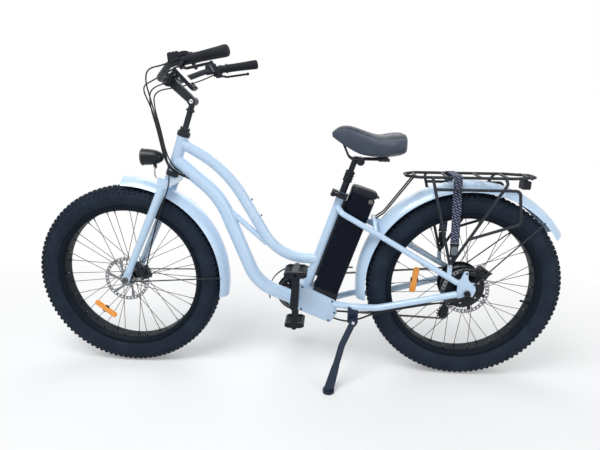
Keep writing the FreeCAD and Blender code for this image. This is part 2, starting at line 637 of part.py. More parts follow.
# Fork, headset and frame.
def make_fork():
    """Steerer, crown, two tapering legs and their dropouts in one piece."""
    steer = leaning(CROWN, dim.head_lean)
    crown_half = dim.fork_leg_half + dim.leg_top_radius
    plain = centred_box(dim.crown_deep, 2 * crown_half, dim.crown_tall)
    long_edges = [edge for edge in plain.Edges if edge.BoundBox.YLength > crown_half]
    crown = placed(plain.makeFillet(dim.crown_round, long_edges), steer)
    steerer = bar(CROWN, STEERER_TOP, dim.steerer_radius)
    reach = FRONT_HUB - CROWN
    ahead = Vector(reach).normalize()
    length = reach.Length - dim.leg_stop
    sides = []
    for side in SIDES:
        start = CROWN + LEFT * side * dim.fork_leg_half
        leg = Part.makeCone(dim.leg_top_radius, dim.leg_end_radius, length, start, ahead)
        levels = sorted(side * level for level in
                        (dim.front_dropout_half, dim.front_dropout_half + dim.dropout_thick))
        end = CROWN + ahead * (length - dim.leg_end_radius)
        sides += [leg, linked(FRONT_HUB, end, dim.fork_tip_radius, dim.leg_end_radius, *levels)]
    fork = crown.multiFuse([steerer] + sides)
    quill = bar(STEERER_TOP - STEER_AXIS * dim.quill_depth, STEERER_TOP + STEER_AXIS * dim.overrun,
                dim.quill_radius)
    axle = bar(FRONT_HUB - LEFT * crown_half, FRONT_HUB + LEFT * crown_half, dim.front_axle_radius)
    keep(feature("fork", fork.cut(quill).cut(axle)))


def make_headset():
    """The upper and lower bearing cups round the steerer."""
    bore = "dim.steerer_radius + dim.running_fit"
    upper = turned("upper_cup", [(bore, "0"), ("dim.cup_radius", "0"),
                                 ("dim.cup_radius", "dim.top_cup_tall / 2"),
                                 ("dim.top_cup_neck_radius", "dim.top_cup_tall * 0.6"),
                                 ("dim.top_cup_neck_radius", "dim.top_cup_tall"),
                                 (bore, "dim.top_cup_tall")], leaning(HEAD_TOP, dim.head_lean))
    tall = "(dim.head_low - dim.crown_height) / cos(dim.head_lean) - dim.crown_tall / 2 - dim.gap"
    lower = turned("lower_cup", [(bore, "-(%s)" % tall), ("dim.cup_radius", "-(%s)" % tall),
                                 ("dim.cup_radius", "0"), (bore, "0")],
                   leaning(HEAD_LOW, dim.head_lean))
    keep(grouped("headset_cups", [upper, lower]))


def top_tube_route():
    """The step-through tube from the head to the seat tube."""
    end_up = (dim.top_end_height - dim.bb_height) / math.cos(math.radians(dim.seat_lean))
    return [steering_point(dim.top_joint_height),
            rear(dim.bb_ahead + dim.top_bend_ahead, 0, dim.top_bend_height),
            rear(dim.bb_ahead + dim.low_bend_ahead, 0, dim.low_bend_height),
            seat_point(0, 0, end_up)]


def make_main_frame():
    """Head tube, the two curved tubes, their brace, seat tube and bottom bracket shell."""
    head = bar(HEAD_LOW, HEAD_TOP, dim.head_radius)
    upper = top_tube_route()
    top = tube(upper, (dim.top_bend_radius, dim.low_bend_radius), dim.top_tube_radius)
    lower = [steering_point(dim.down_joint_height),
             rear(dim.bb_ahead + dim.down_bend_ahead, 0, dim.down_bend_height),
             rear(dim.bb_ahead + dim.down_low_ahead, 0, dim.down_low_height), BOTTOM_BRACKET]
    down = tube(lower, (dim.down_bend_radius, dim.down_low_radius), dim.down_tube_radius)
    brace = bar(rear(dim.bb_ahead + dim.brace_upper_ahead, 0, dim.brace_upper_height),
                rear(dim.bb_ahead + dim.brace_lower_ahead, 0, dim.brace_lower_height), dim.brace_radius)
    seat = bar(seat_point(0, 0, dim.seat_tube_low), seat_point(0, 0, dim.seat_tube_top),
               dim.seat_tube_radius)
    shell = bar(BOTTOM_BRACKET - LEFT * dim.bb_half, BOTTOM_BRACKET + LEFT * dim.bb_half, dim.bb_radius)
    run = upper[2] - upper[1]
    outward = Vector(run.z, 0, -run.x).normalize()
    bosses = []
    for share in (dim.boss_upper_share, dim.boss_lower_share):
        middle = upper[1] + run * share
        bosses.append(bar(middle, middle + outward * (dim.top_tube_radius + dim.boss_tall), dim.boss_radius))
    frame = head.multiFuse([top, down, brace, seat, shell] + bosses)
    past = STEER_AXIS * dim.overrun
    head_bore = bar(HEAD_LOW - past, HEAD_TOP + past, dim.steerer_radius + dim.steerer_room)
    post_bore = bar(seat_point(0, 0, dim.post_low), seat_point(0, 0, dim.seat_tube_top + dim.overrun),
                    dim.post_radius)
    side = LEFT * (dim.bb_half + dim.overrun)
    spindle_bore = bar(BOTTOM_BRACKET - side, BOTTOM_BRACKET + side, dim.spindle_radius + dim.running_fit)
    return keep(feature("main_frame", frame.cut(head_bore).cut(post_bore).cut(spindle_bore)))


DROPOUT_SHARES = ((1.0, -0.2), (0.88, 0.14), (0.88, 0.3), (1.0, 0.56), (0.64, 0.64), (0.36, 1.0), (0.05, 1.0),
                  (0, 0.67), (-0.21, 0.51), (-0.6, 0.48), (-0.74, 0.15))
DROPOUT_LEFT_SHARES = DROPOUT_SHARES + ((-0.52, -0.14), (-0.18, -0.12), (0.22, -0.12), (0.54, -0.24))
DROPOUT_RIGHT_SHARES = DROPOUT_SHARES + ((-0.67, -0.23), (-0.29, -0.35), (0.05, -0.84), (0.67, -0.84),
                                         (0.76, -0.4))


def dropout(shares, side):
    """One rear dropout plate with its axle hole."""
    points = [REAR_HUB + Vector(dim.dropout_long * ahead, 0, dim.dropout_tall * up) for ahead, up in shares]
    levels = sorted(side * level for level in
                    (dim.rear_dropout_half, dim.rear_dropout_half + dim.dropout_thick))
    plate = prism(points, *levels)
    reach = LEFT * (dim.rear_dropout_half + dim.dropout_thick + dim.overrun)
    slot = Part.makeBox(2 * dim.rear_axle_radius, 2 * reach.Length, dim.dropout_tall)
    slot.translate(REAR_HUB - reach - AHEAD * dim.rear_axle_radius - UP * dim.dropout_tall)
    return plate.cut(bar(REAR_HUB - reach, REAR_HUB + reach, dim.rear_axle_radius)).cut(slot)


def make_stays(frame, box):
    """Chain stays with their dropouts, and seat stays with the bridge over the rear fender."""
    level = dim.rear_dropout_half + dim.dropout_thick / 2
    plates = dropout(DROPOUT_LEFT_SHARES, 1).fuse(dropout(DROPOUT_RIGHT_SHARES, -1))
    chain_route = [BOTTOM_BRACKET + Vector(-dim.yoke_back, dim.yoke_half, -dim.yoke_drop),
                   rear(dim.chain_stay_ahead, dim.chain_stay_half, dim.chain_stay_height),
                   rear(dim.chain_stay_low_ahead, dim.chain_stay_half, dim.chain_stay_low_height),
                   REAR_HUB + Vector(dim.chain_stay_end_ahead, level, -dim.chain_stay_end_drop)]
    chain_side = tube(chain_route, (dim.chain_stay_bend_radius, dim.chain_stay_low_radius),
                      dim.chain_stay_radius)
    chain_sides = pair(chain_side).cut(box.Shape)
    chain_stays = keep(feature("chain_stays", plates.fuse(chain_sides)))

    seat_route = [seat_point(0, dim.stay_joint_half, dim.stay_joint_up),
                  seat_point(-dim.stay_flare_back, dim.stay_flare_half, dim.stay_flare_up),
                  rear(dim.stay_mid_ahead, dim.stay_mid_half, dim.stay_mid_height),
                  REAR_HUB + Vector(dim.stay_end_ahead, level, dim.stay_end_rise)]
    seat_side = tube(seat_route, (dim.stay_flare_radius, dim.stay_bend_radius), dim.seat_stay_radius)
    foot = rear(dim.stay_mid_ahead, dim.stay_mid_half, dim.stay_mid_height)
    knee = rear(dim.bridge_ahead, dim.bridge_half, dim.bridge_height)
    bridge = tube([foot, knee, knee - LEFT * 2 * dim.bridge_half, foot - LEFT * 2 * dim.stay_mid_half],
                  (dim.bridge_bend_radius, dim.bridge_bend_radius), dim.bridge_radius)
    end = REAR_HUB + Vector(dim.stay_end_ahead, level, dim.stay_end_rise)
    foot = rear(dim.strut_foot_ahead, dim.rack_side_half, dim.wheel_radius + dim.strut_foot_rise)
    share = (foot.x - end.x) / (seat_route[2].x - end.x)
    root = end + (seat_route[2] - end) * share
    eyelet = linked(root - LEFT * root.y, foot - LEFT * foot.y, dim.eyelet_radius, dim.eyelet_radius,
                    foot.y - dim.eyelet_thick / 2, foot.y + dim.eyelet_thick / 2)
    seat_sides = pair(seat_side.fuse(eyelet)).fuse(bridge).cut(frame.Shape).cut(plates)
    keep(feature("seat_stays", seat_sides))
    return chain_stays


BOX_SHARES = ((-0.11, 0.49), (-1.01, 0.083), (-1.076, -0.26), (-0.9, -0.504), (-0.076, -0.19))


def make_controller_box(frame):
    """The housing behind the bottom bracket with a cover plate on each side."""
    middle = [sum(share[axis] for share in BOX_SHARES) / len(BOX_SHARES) for axis in (0, 1)]
    cover_share = 0.93

    def corners(scale):
        places = [[centre + (share - centre) * scale for centre, share in zip(middle, point)]
                  for point in BOX_SHARES]
        return [("%.4f * dim.box_long" % ahead, "%.4f * dim.box_tall" % up) for ahead, up in places]

    here = Placement(BOTTOM_BRACKET, Rotation())
    shell = padded("controller_shell", corners(1), "2 * dim.box_half", here)
    covers = padded("controller_covers", corners(cover_share), "2 * (dim.box_half + dim.cover_thick)", here)
    whole = fused("controller_body", [shell, covers])
    return keep(cut("controller_box", whole, frame))


# Battery and its dock.
def make_battery(frame, box, stays):
    """The battery case with a folded carrying handle, its lock, and the dock it slides into."""
    rail = block("dock_rail", ("dim.battery_front - dim.rail_front - dim.gap", "2 * dim.rail_half",
                               "dim.rail_top - dim.rail_low"),
                 SEAT_FRAME.multiply(Placement(Vector(dim.gap - dim.battery_front, -dim.rail_half,
                                                      dim.rail_low), Rotation())))
    back = dim.battery_front + dim.battery_deep
    shoe = block("dock_shoe", ("dim.battery_deep", "2 * dim.battery_half",
                               "dim.battery_low - dim.shoe_low - dim.gap"),
                 SEAT_FRAME.multiply(Placement(Vector(-back, -dim.battery_half, dim.shoe_low), Rotation())))
    dock_base = grouped("dock_base", [rail, shoe])
    seats = fused("dock_seats", [frame, box, stays])
    keep(cut("battery_dock", dock_base, seats))

    front = "-dim.battery_front"
    rear_face = "-(dim.battery_front + dim.battery_deep)"
    bevel = "dim.battery_round"
    points = [(front, "dim.battery_low"), (front, "dim.battery_top - %s" % bevel),
              ("%s - %s" % (front, bevel), "dim.battery_top"),
              ("%s + 2 * %s" % (rear_face, bevel), "dim.battery_top"),
              (rear_face, "dim.battery_top - 2 * %s" % bevel), (rear_face, "dim.battery_low")]
    case = padded("battery_case", points, "2 * dim.battery_half", SEAT_FRAME)
    doc.recompute()
    edges = ["Edge%d" % (index + 1) for index, edge in enumerate(case.Shape.Edges)
             if abs(edge.BoundBox.YLength) < dim.gap and edge.Length > 2 * dim.battery_deep]
    plain = case.Tip
    rounds = case.newObject("PartDesign::Fillet", "battery_rounds")
    rounds.Base = (plain, edges)
    rounds.setExpression("Radius", "dim.battery_side_round")
    case.Tip = rounds
    handle_at = Vector(-dim.handle_back - dim.handle_long, -dim.handle_wide / 2, dim.battery_top - dim.gap)
    handle = block("battery_handle", ("dim.handle_long", "dim.handle_wide", "dim.handle_tall"),
                   SEAT_FRAME.multiply(Placement(handle_at, Rotation())))
    whole = fused("battery_whole", [case, handle])
    seat = SEAT_FRAME.multiply(facing(Vector(-dim.key_back, dim.battery_half - dim.key_deep, dim.key_up),
                                      LEFT))
    hole = rod("key_hole", "dim.key_radius + dim.running_fit", "dim.key_deep + dim.overrun", seat)
    keep(cut("battery", whole, hole))
    barrel = rod("key_barrel", "dim.key_radius", "dim.key_deep + dim.key_proud",
                 SEAT_FRAME.multiply(facing(Vector(-dim.key_back, dim.battery_half - dim.key_deep + dim.gap,
                                                   dim.key_up), LEFT)))
    top = dim.battery_half + dim.key_proud + dim.gap - dim.key_slot_deep
    slot_at = Vector(-dim.key_back - dim.key_slot / 2, top, dim.key_up - dim.key_radius / 2)
    slot = block("key_slot_cut", ("dim.key_slot", "dim.key_slot_deep + dim.overrun", "dim.key_radius"),
                 SEAT_FRAME.multiply(Placement(slot_at, Rotation())))
    keep(cut("battery_key", barrel, slot))


# Seat post, clamp and saddle.
def make_seat_post():
    """The lower post with its ribbed boot, the sprung head that slides in it, and the collar."""
    bore = "dim.shaft_radius + dim.running_fit"
    waist = "dim.boot_waist_radius"
    rib = "(dim.boot_top - dim.post_top) / 8"
    points = [("0", "dim.post_low"), ("dim.post_radius", "dim.post_low"), ("dim.post_radius", "dim.post_top")]
    points.append((waist, "dim.post_top"))
    for index in range(1, 8, 2):
        points.append(("dim.boot_radius", "dim.post_top + %d * %s" % (index, rib)))
        points.append((waist, "dim.post_top + %d * %s" % (index + 1, rib)))
    points += [(bore, "dim.boot_top"), (bore, "dim.shaft_room_low"), ("0", "dim.shaft_room_low")]
    keep(turned("seat_post", points, SEAT_FRAME))

    low = dim.seat_tube_top - dim.seat_clamp_tall
    ring = rod("clamp_ring", "dim.seat_clamp_radius", "dim.seat_clamp_tall", seat_placed(0, 0, low))
    lug = block("clamp_lug", ("dim.lug_ahead - dim.seat_tube_radius / 2", "2 * dim.lug_half",
                              "dim.seat_clamp_tall"),
                seat_placed(dim.seat_tube_radius / 2, -dim.lug_half, low))
    foot = block("clamp_foot", ("2 * dim.lever_boss_radius", "dim.lever_pivot_out", "dim.lever_foot"),
                 seat_placed(dim.lever_pivot_ahead - dim.lever_boss_radius, 0, low))
    pin = rod("clamp_pin", "dim.lever_pin_radius", "dim.seat_clamp_tall",
              seat_placed(dim.lever_pivot_ahead, dim.lever_pivot_out, low))
    bore_rod = rod("clamp_bore", "dim.seat_tube_radius", "dim.seat_clamp_tall + 2 * dim.overrun",
                   seat_placed(0, 0, low - dim.overrun))
    whole = fused("clamp_whole", [ring, lug, foot, pin])
    keep(cut("seat_clamp", whole, bore_rod))

    near = Vector(dim.lever_pivot_ahead, 0, dim.lever_pivot_out)
    far = Vector(-dim.lever_tip_back, 0, dim.lever_tip_out)
    flat = linked(near, far, dim.lever_boss_radius, dim.lever_tip_radius, -dim.lever_tall, 0)
    eye = bar(near - LEFT * (dim.lever_tall + dim.overrun), near + LEFT * dim.overrun,
              dim.lever_pin_radius + dim.running_fit)
    lever = keep(feature("seat_clamp_lever", flat.cut(eye)))
    lever.Placement = SEAT_FRAME.multiply(Placement(Vector(0, 0, low + dim.lever_foot + dim.gap),
                                                    Rotation(AHEAD, -90)))


SADDLE_SHARES = ((0.395, 0.16, 0.824, 0.672), (0.3, 0.268, 0.962, 0.534), (0.169, 0.34, 0.992, 0.366),
                 (0, 0.464, 0.9, 0.198), (-0.226, 0.786, 0.779, 0.122), (-0.414, 1.0, 0.779, 0.137),
                 (-0.545, 0.93, 0.794, 0.229), (-0.6, 0.625, 0.733, 0.458))
SADDLE_CLAMP = seat_point(-dim.saddle_clamp_back, 0, dim.saddle_clamp_up)


def saddle_section(station, half, top, low):
    """One slice of the cushion: flat underneath, drawn-in sides and a crowned top."""
    foot_share, shoulder_share, crown_share = 0.84, 0.8, 0.2
    tall = top - low

    def place(side, up):
        return SADDLE_CLAMP + Vector(station, side, up)

    feet = [place(side * half * foot_share, low) for side in SIDES]
    hips = [place(side * half, low + tall / 2) for side in SIDES]
    shoulders = [place(side * half * shoulder_share, top - tall * crown_share) for side in SIDES]
    return Part.Wire([Part.LineSegment(feet[1], feet[0]).toShape(),
                      Part.Arc(feet[0], hips[0], shoulders[0]).toShape(),
                      Part.Arc(shoulders[0], place(0, top), shoulders[1]).toShape(),
                      Part.Arc(shoulders[1], hips[1], feet[1]).toShape()])


def make_saddle():
    """The cushion, its rails with rear bumpers, and the sprung post head that grips them."""
    slices = [saddle_section(dim.saddle_long * station, dim.saddle_half * half, dim.saddle_tall * top,
                             dim.saddle_tall * low) for station, half, top, low in SADDLE_SHARES]
    cushion = keep(feature("saddle_cushion", Part.makeLoft(slices, True, False)))

    def place(ahead, side, up):
        return SADDLE_CLAMP + Vector(ahead, side, up)

    wires = []
    for side in SIDES:
        out = side * dim.rail_wire_half
        wires.append(tube([place(dim.rail_nose_ahead, out / 2, dim.rail_nose_rise),
                           place(dim.rail_front_ahead, out, dim.rail_rise),
                           place(-dim.rail_rear_back, out, dim.rail_rise),
                           place(-dim.rail_tail_back, out, dim.rail_tail_rise)],
                          (dim.rail_bend_radius, dim.rail_bend_radius), dim.rail_wire_radius))
    plate = centred_box(dim.bumper_long, 2 * dim.bumper_half, dim.bumper_thick)
    plate.translate(place(-dim.bumper_back, 0, dim.rail_rise))
    pads = []
    for side in SIDES:
        foot = place(-dim.bumper_back, side * dim.bumper_place, dim.rail_rise)
        pads.append(bar(foot, foot + UP * dim.rail_tail_rise, dim.bumper_radius))
    whole = wires[0].multiFuse([wires[1], plate] + pads)
    rails = keep(feature("saddle_rails", whole.cut(cushion.Shape)))

    shaft = bar(seat_point(0, 0, dim.shaft_low), seat_point(0, 0, dim.saddle_clamp_up), dim.shaft_radius)
    half = LEFT * dim.saddle_clamp_half
    clamp = bar(SADDLE_CLAMP - half, SADDLE_CLAMP + half, dim.saddle_clamp_radius)
    knuckle = seat_point(0, 0, dim.saddle_clamp_up)
    yoke = linked(knuckle, SADDLE_CLAMP, dim.shaft_radius, dim.saddle_clamp_radius,
                  -dim.saddle_clamp_radius, dim.saddle_clamp_radius)
    keep(feature("seat_post_head", shaft.multiFuse([clamp, yoke]).cut(rails.Shape)))


# Stem, handlebar, grips and display.
def bar_point(back, side, rise):
    """A point measured from the middle of the handlebar."""
    return BAR_CENTRE + Vector(-back, side, rise)


BAR_KNEE = bar_point(dim.bar_knee_back, dim.bar_knee_half, dim.bar_knee_rise)
BAR_END = bar_point(dim.bar_end_back, dim.bar_end_half, dim.bar_end_rise)
GRIP_AXIS = (BAR_END - BAR_KNEE).normalize()
GRIP_START = BAR_END - GRIP_AXIS * dim.grip_long
GRIP_OUT = GRIP_AXIS.cross(UP).normalize()
GRIP_FRAME = Placement(GRIP_START, Rotation(GRIP_OUT, GRIP_AXIS.cross(GRIP_OUT), GRIP_AXIS, "ZXY"))
BLADE_FRAME = GRIP_FRAME.multiply(Placement(HERE, Rotation(UP, dim.blade_turn)))


def make_handlebar():
    """The swept-back bar, wider where the stem grips it."""
    shoulder = bar_point(0, dim.bar_straight_half, 0)
    half = [BAR_END, BAR_KNEE, shoulder]
    other = [Vector(point.x, -point.y, point.z) for point in reversed(half)]
    bend = dim.bar_bend_radius
    swept = tube(half + other, (bend, bend, bend, bend), dim.bar_radius)
    reach = LEFT * dim.bar_bulge_half
    bulge = bar(BAR_CENTRE - reach, BAR_CENTRE + reach, dim.bar_bulge_radius)
    return keep(feature("handlebar", swept.fuse(bulge)))


def make_stem(handlebar):
    """Quill, angled arm and bar clamp in one piece."""
    quill = bar(STEERER_TOP - STEER_AXIS * dim.quill_depth, STEM_PIVOT, dim.quill_radius)
    reach = LEFT * dim.stem_pivot_half
    pivot = bar(STEM_PIVOT - reach, STEM_PIVOT + reach, dim.stem_pivot_radius)
    arm = linked(STEM_PIVOT, BAR_CENTRE, dim.stem_neck_radius, dim.stem_nose_radius,
                 -dim.stem_arm_radius, dim.stem_arm_radius)
    hold = LEFT * dim.stem_clamp_half
    clamp = bar(BAR_CENTRE - hold, BAR_CENTRE + hold, dim.stem_clamp_radius)
    seat = STEM_PIVOT - STEER_AXIS * dim.stem_bolt_rise
    collar = bar(seat - STEER_AXIS * dim.stem_bolt_tall, seat, dim.stem_pivot_radius)
    head = seat - STEER_AXIS * (dim.stem_bolt_tall / 2)
    bolt = bar(head, head + LEFT * (dim.stem_pivot_radius + dim.stem_bolt_tall / 2), dim.stem_bolt_tall / 2)
    whole = quill.multiFuse([pivot, arm, clamp, collar, bolt])
    keep(feature("stem", whole.cut(handlebar.Shape)))


def make_grip(label, side):
    """One soft grip: a sleeve with a flange at its inner end and a closed tip."""
    tip = "dim.grip_long + dim.grip_cap"
    points = [("dim.bar_radius", "0"), ("dim.grip_lip_radius", "0"), ("dim.grip_lip_radius", "dim.grip_lip"),
              ("dim.grip_radius", "dim.grip_lip"), ("dim.grip_end_radius", "dim.grip_long"),
              ("dim.grip_end_radius - dim.grip_cap", tip), ("0", tip), ("0", "dim.grip_long"),
              ("dim.bar_radius", "dim.grip_long")]
    start = Vector(GRIP_START.x, side * GRIP_START.y, GRIP_START.z)
    axis = Vector(GRIP_AXIS.x, side * GRIP_AXIS.y, GRIP_AXIS.z)
    keep(turned(label, points, facing(start, axis)))


def make_display(handlebar):
    """The leaning display on two arms that clip round the bar."""
    middle = bar_point(dim.display_back, 0, dim.display_rise)
    frame = Placement(middle, Rotation(LEFT, -dim.display_lean))
    plate = centred_box(dim.display_long, dim.display_wide, dim.display_thick)
    corners = [edge for edge in plate.Edges if edge.BoundBox.ZLength > dim.display_thick / 2]
    plate = plate.makeFillet(dim.display_arm_wide, corners)
    seat = frame.inverse().multVec(BAR_CENTRE)
    arms = []
    for side in SIDES:
        level = side * dim.display_arm_half
        arm = Part.makeBox(dim.display_arm_long, dim.display_arm_wide, -seat.z,
                           Vector(seat.x - dim.display_arm_long / 2, level - dim.display_arm_wide / 2,
                                  seat.z))
        ring = Part.makeCylinder(dim.bar_bulge_radius + dim.display_ring, dim.display_arm_wide,
                                 Vector(seat.x, level - dim.display_arm_wide / 2, seat.z), LEFT)
        arms += [arm, ring]
    lip = Part.makeBox(dim.display_arm_long, 2 * dim.display_arm_half, dim.display_ring,
                       Vector(seat.x - dim.display_arm_long / 2, -dim.display_arm_half,
                              -dim.display_thick / 2 - dim.display_ring))
    whole = placed(plate.multiFuse(arms + [lip]), frame)
    keep(feature("display", whole.cut(handlebar.Shape)))


# Levers and switches on the bar; each is drawn on the left and mirrored for the right.
PERCH_END = -(2 * dim.gap + dim.throttle_wide)
PERCH_MIDDLE = PERCH_END - dim.perch_wide / 2
BLADE_PIVOT = Vector(dim.blade_offset, 0, PERCH_MIDDLE)


def perch():
    """The ring that holds a brake lever, with the pin the blade turns on."""
    ring = Part.makeCylinder(dim.perch_radius, dim.perch_wide, UP * (PERCH_END - dim.perch_wide))
    arm_long = dim.blade_offset - dim.blade_eye_radius - dim.gap
    arm = Part.makeCylinder(dim.perch_arm_radius, arm_long, UP * PERCH_MIDDLE, AHEAD)
    face = -(dim.blade_eye_half + dim.gap)
    cheek = linked(UP * PERCH_MIDDLE + AHEAD * dim.perch_radius, BLADE_PIVOT, dim.perch_arm_radius,
                   dim.blade_eye_radius, face - dim.blade_pin_radius, face)
    pin = bar(BLADE_PIVOT + LEFT * (face - dim.blade_pin_radius),
              BLADE_PIVOT + LEFT * (dim.blade_eye_half + dim.blade_pin_radius / 2), dim.blade_pin_radius)
    bore = Part.makeCylinder(dim.bar_radius, 2 * dim.perch_wide, UP * (PERCH_END - 1.5 * dim.perch_wide))
    return placed(ring.multiFuse([arm, cheek, pin]).cut(bore), BLADE_FRAME)


def blade():
    """A brake lever blade with its eye and rounded tip."""
    half = LEFT * dim.blade_eye_half
    eye = bar(BLADE_PIVOT - half, BLADE_PIVOT + half, dim.blade_eye_radius)
    knee = Vector(dim.blade_out, 0, PERCH_MIDDLE + dim.blade_knee)
    tip = Vector(dim.blade_out, 0, PERCH_MIDDLE + dim.blade_long)
    arm = tube([BLADE_PIVOT, knee, tip], (dim.blade_bend_radius,), dim.blade_radius)
    ball = Part.makeSphere(dim.blade_ball_radius, tip)
    bore = bar(BLADE_PIVOT - half * 2, BLADE_PIVOT + half * 2, dim.blade_pin_radius + dim.running_fit)
    return placed(eye.multiFuse([arm, ball]).cut(bore), BLADE_FRAME)


def make_left_controls():
    """Left lever perch with the assist keypad, its button and the thumb throttle."""
    top = dim.keypad_rise + dim.keypad_tall
    pad = Part.makeBox(dim.keypad_wide, dim.keypad_tall, dim.keypad_long,
                       Vector(-dim.keypad_wide / 2, -top, PERCH_END - dim.keypad_long))
    middle = Vector(0, -top, PERCH_END - dim.keypad_long / 2)
    well = bar(middle - LEFT * dim.overrun, middle + LEFT * (dim.button_sink + dim.button_travel + dim.gap),
               dim.button_radius + dim.running_fit)
    keep(feature("left_controls", perch().fuse(placed(pad.cut(well), GRIP_FRAME))))
    foot = middle + LEFT * dim.button_sink
    button = bar(foot, foot - LEFT * dim.button_tall, dim.button_radius)
    keep(feature("assist_button", placed(button, GRIP_FRAME)))
    keep(feature("left_brake_blade", blade()))
    ring = Part.makeCylinder(dim.throttle_radius, dim.throttle_wide, UP * -(dim.gap + dim.throttle_wide))
    bore = Part.makeCylinder(dim.bar_radius + dim.running_fit, 3 * dim.throttle_wide,
                             UP * (-2 * dim.throttle_wide))
    root = UP * -(dim.gap + dim.throttle_wide / 2)
    thumb = Vector(-1, 1, 0).normalize()
    paddle = bar(root, root + thumb * dim.paddle_long, dim.paddle_radius)
    tip = Part.makeSphere(dim.throttle_wide / 2, root + thumb * dim.paddle_long)
    keep(feature("throttle_lever", placed(ring.multiFuse([paddle, tip]).cut(bore), GRIP_FRAME)))


def make_right_controls():
    """Right lever perch with the gear shifter's housing, and the shift lever under it."""
    pivot = UP * (PERCH_END - dim.perch_wide - dim.shift_pin_radius)
    low = dim.pod_drop + dim.pod_tall
    pod = bar(pivot, pivot + LEFT * low, dim.pod_radius)
    pin = bar(pivot, pivot + LEFT * (low + 2 * dim.gap + dim.shift_thick), dim.shift_pin_radius)
    bore = Part.makeCylinder(dim.bar_radius, 4 * dim.pod_radius, pivot - UP * 2 * dim.pod_radius)
    housing = placed(pod.fuse(pin).cut(bore), GRIP_FRAME)
    collar = Part.makeCylinder(dim.throttle_radius, dim.throttle_wide, UP * -(dim.gap + dim.throttle_wide))
    collar_bore = Part.makeCylinder(dim.bar_radius, 3 * dim.throttle_wide, UP * (-2 * dim.throttle_wide))
    spacer = placed(collar.cut(collar_bore), GRIP_FRAME)
    whole = perch().fuse(housing)
    keep(feature("right_controls", mirrored(Part.makeCompound([whole, spacer]))))
    keep(feature("right_brake_blade", mirrored(blade())))
    far = pivot + Vector(-dim.shift_long, 0, dim.shift_long / 2)
    face = low + dim.gap
    lever = linked(pivot, far, dim.shift_eye_radius, dim.shift_tip_radius, face, face + dim.shift_thick)
    eye = bar(pivot, pivot + LEFT * (2 * low), dim.shift_pin_radius + dim.running_fit)
    keep(feature("shift_lever", mirrored(placed(lever.cut(eye), GRIP_FRAME))))


# Headlight.
LAMP_BACK = rear(dim.lamp_ahead + dim.wheelbase / 2, 0, dim.lamp_height)
LAMP_PIVOT = LAMP_BACK + Vector(dim.lamp_pivot_ahead, 0, -dim.lamp_pivot_drop)


def make_headlight():
    """A bullet headlight with a hinge lug, and the bent wire that carries it on the crown."""
    long = "dim.lamp_long"
    lens = "dim.lamp_long - dim.lamp_lens_inset"
    points = [("0", "0"), ("dim.lamp_back_radius", "0.04 * %s" % long),
              ("0.8 * dim.lamp_radius", "0.25 * %s" % long), ("0.97 * dim.lamp_radius", "0.55 * %s" % long),
              ("dim.lamp_radius", "%s - dim.lamp_rim" % long),
              ("dim.lamp_rim_radius", "%s - dim.lamp_rim" % long),
              ("dim.lamp_rim_radius", long), ("dim.lamp_radius - dim.lamp_lens_inset", long),
              ("dim.lamp_radius - dim.lamp_lens_inset", lens), ("0", lens)]
    shell = turned("lamp_shell", points, facing(LAMP_BACK, AHEAD))
    doc.recompute()
    half = dim.lamp_lug_half
    root = LAMP_PIVOT + UP * (dim.lamp_pivot_drop - dim.lamp_radius / 2)
    lug = linked(LAMP_PIVOT, root, dim.lamp_lug_radius, dim.lamp_lug_radius, -half, half)
    bore = bar(LAMP_PIVOT - LEFT * 2 * half, LAMP_PIVOT + LEFT * 2 * half,
               dim.lamp_pin_radius + dim.running_fit)
    keep(feature("headlight", shell.Shape.fuse(lug).cut(bore)))
    out = LEFT * dim.lamp_wire_half
    face = placed(Part.Vertex(dim.crown_deep / 2, 0, 0), leaning(CROWN, dim.head_lean)).Point
    foot = Vector(LAMP_PIVOT.x, 0, LAMP_PIVOT.z - dim.lamp_wire_drop)
    wire = tube([Vector(face.x, 0, face.z) + out, foot + out, LAMP_PIVOT + out],
                (dim.lamp_wire_bend_radius,), dim.lamp_wire_radius)
    pin = bar(LAMP_PIVOT + out, LAMP_PIVOT - LEFT * (half + dim.gap + dim.lamp_pin_radius),
              dim.lamp_pin_radius)
    return wire.fuse(pin)


# Fenders.
def fender_shell(hub, radius, half, skirt, start, end):
    """A curved fender: an arched strip turned about the hub."""
    thick = dim.fender_thick
    outer = [Vector(0, -half, radius - skirt), Vector(0, 0, radius), Vector(0, half, radius - skirt)]
    inner = [Vector(0, half - thick, radius - skirt), Vector(0, 0, radius - thick),
             Vector(0, thick - half, radius - skirt)]
    edges = [Part.Arc(*outer).toShape(), Part.LineSegment(outer[2], inner[0]).toShape(),
             Part.Arc(*inner).toShape(), Part.LineSegment(inner[2], outer[0]).toShape()]
    face = Part.Face(Part.Wire(edges))
    face.rotate(HERE, LEFT, 90 - start)
    shell = face.revolve(HERE, -LEFT, end - start)
    shell.translate(hub)
    return shell


def polar(hub, radius, degrees, side):
    """A point at a radius and an angle up from forward about a hub."""
    turn = math.radians(degrees)
    return hub + Vector(radius * math.cos(turn), side, radius * math.sin(turn))


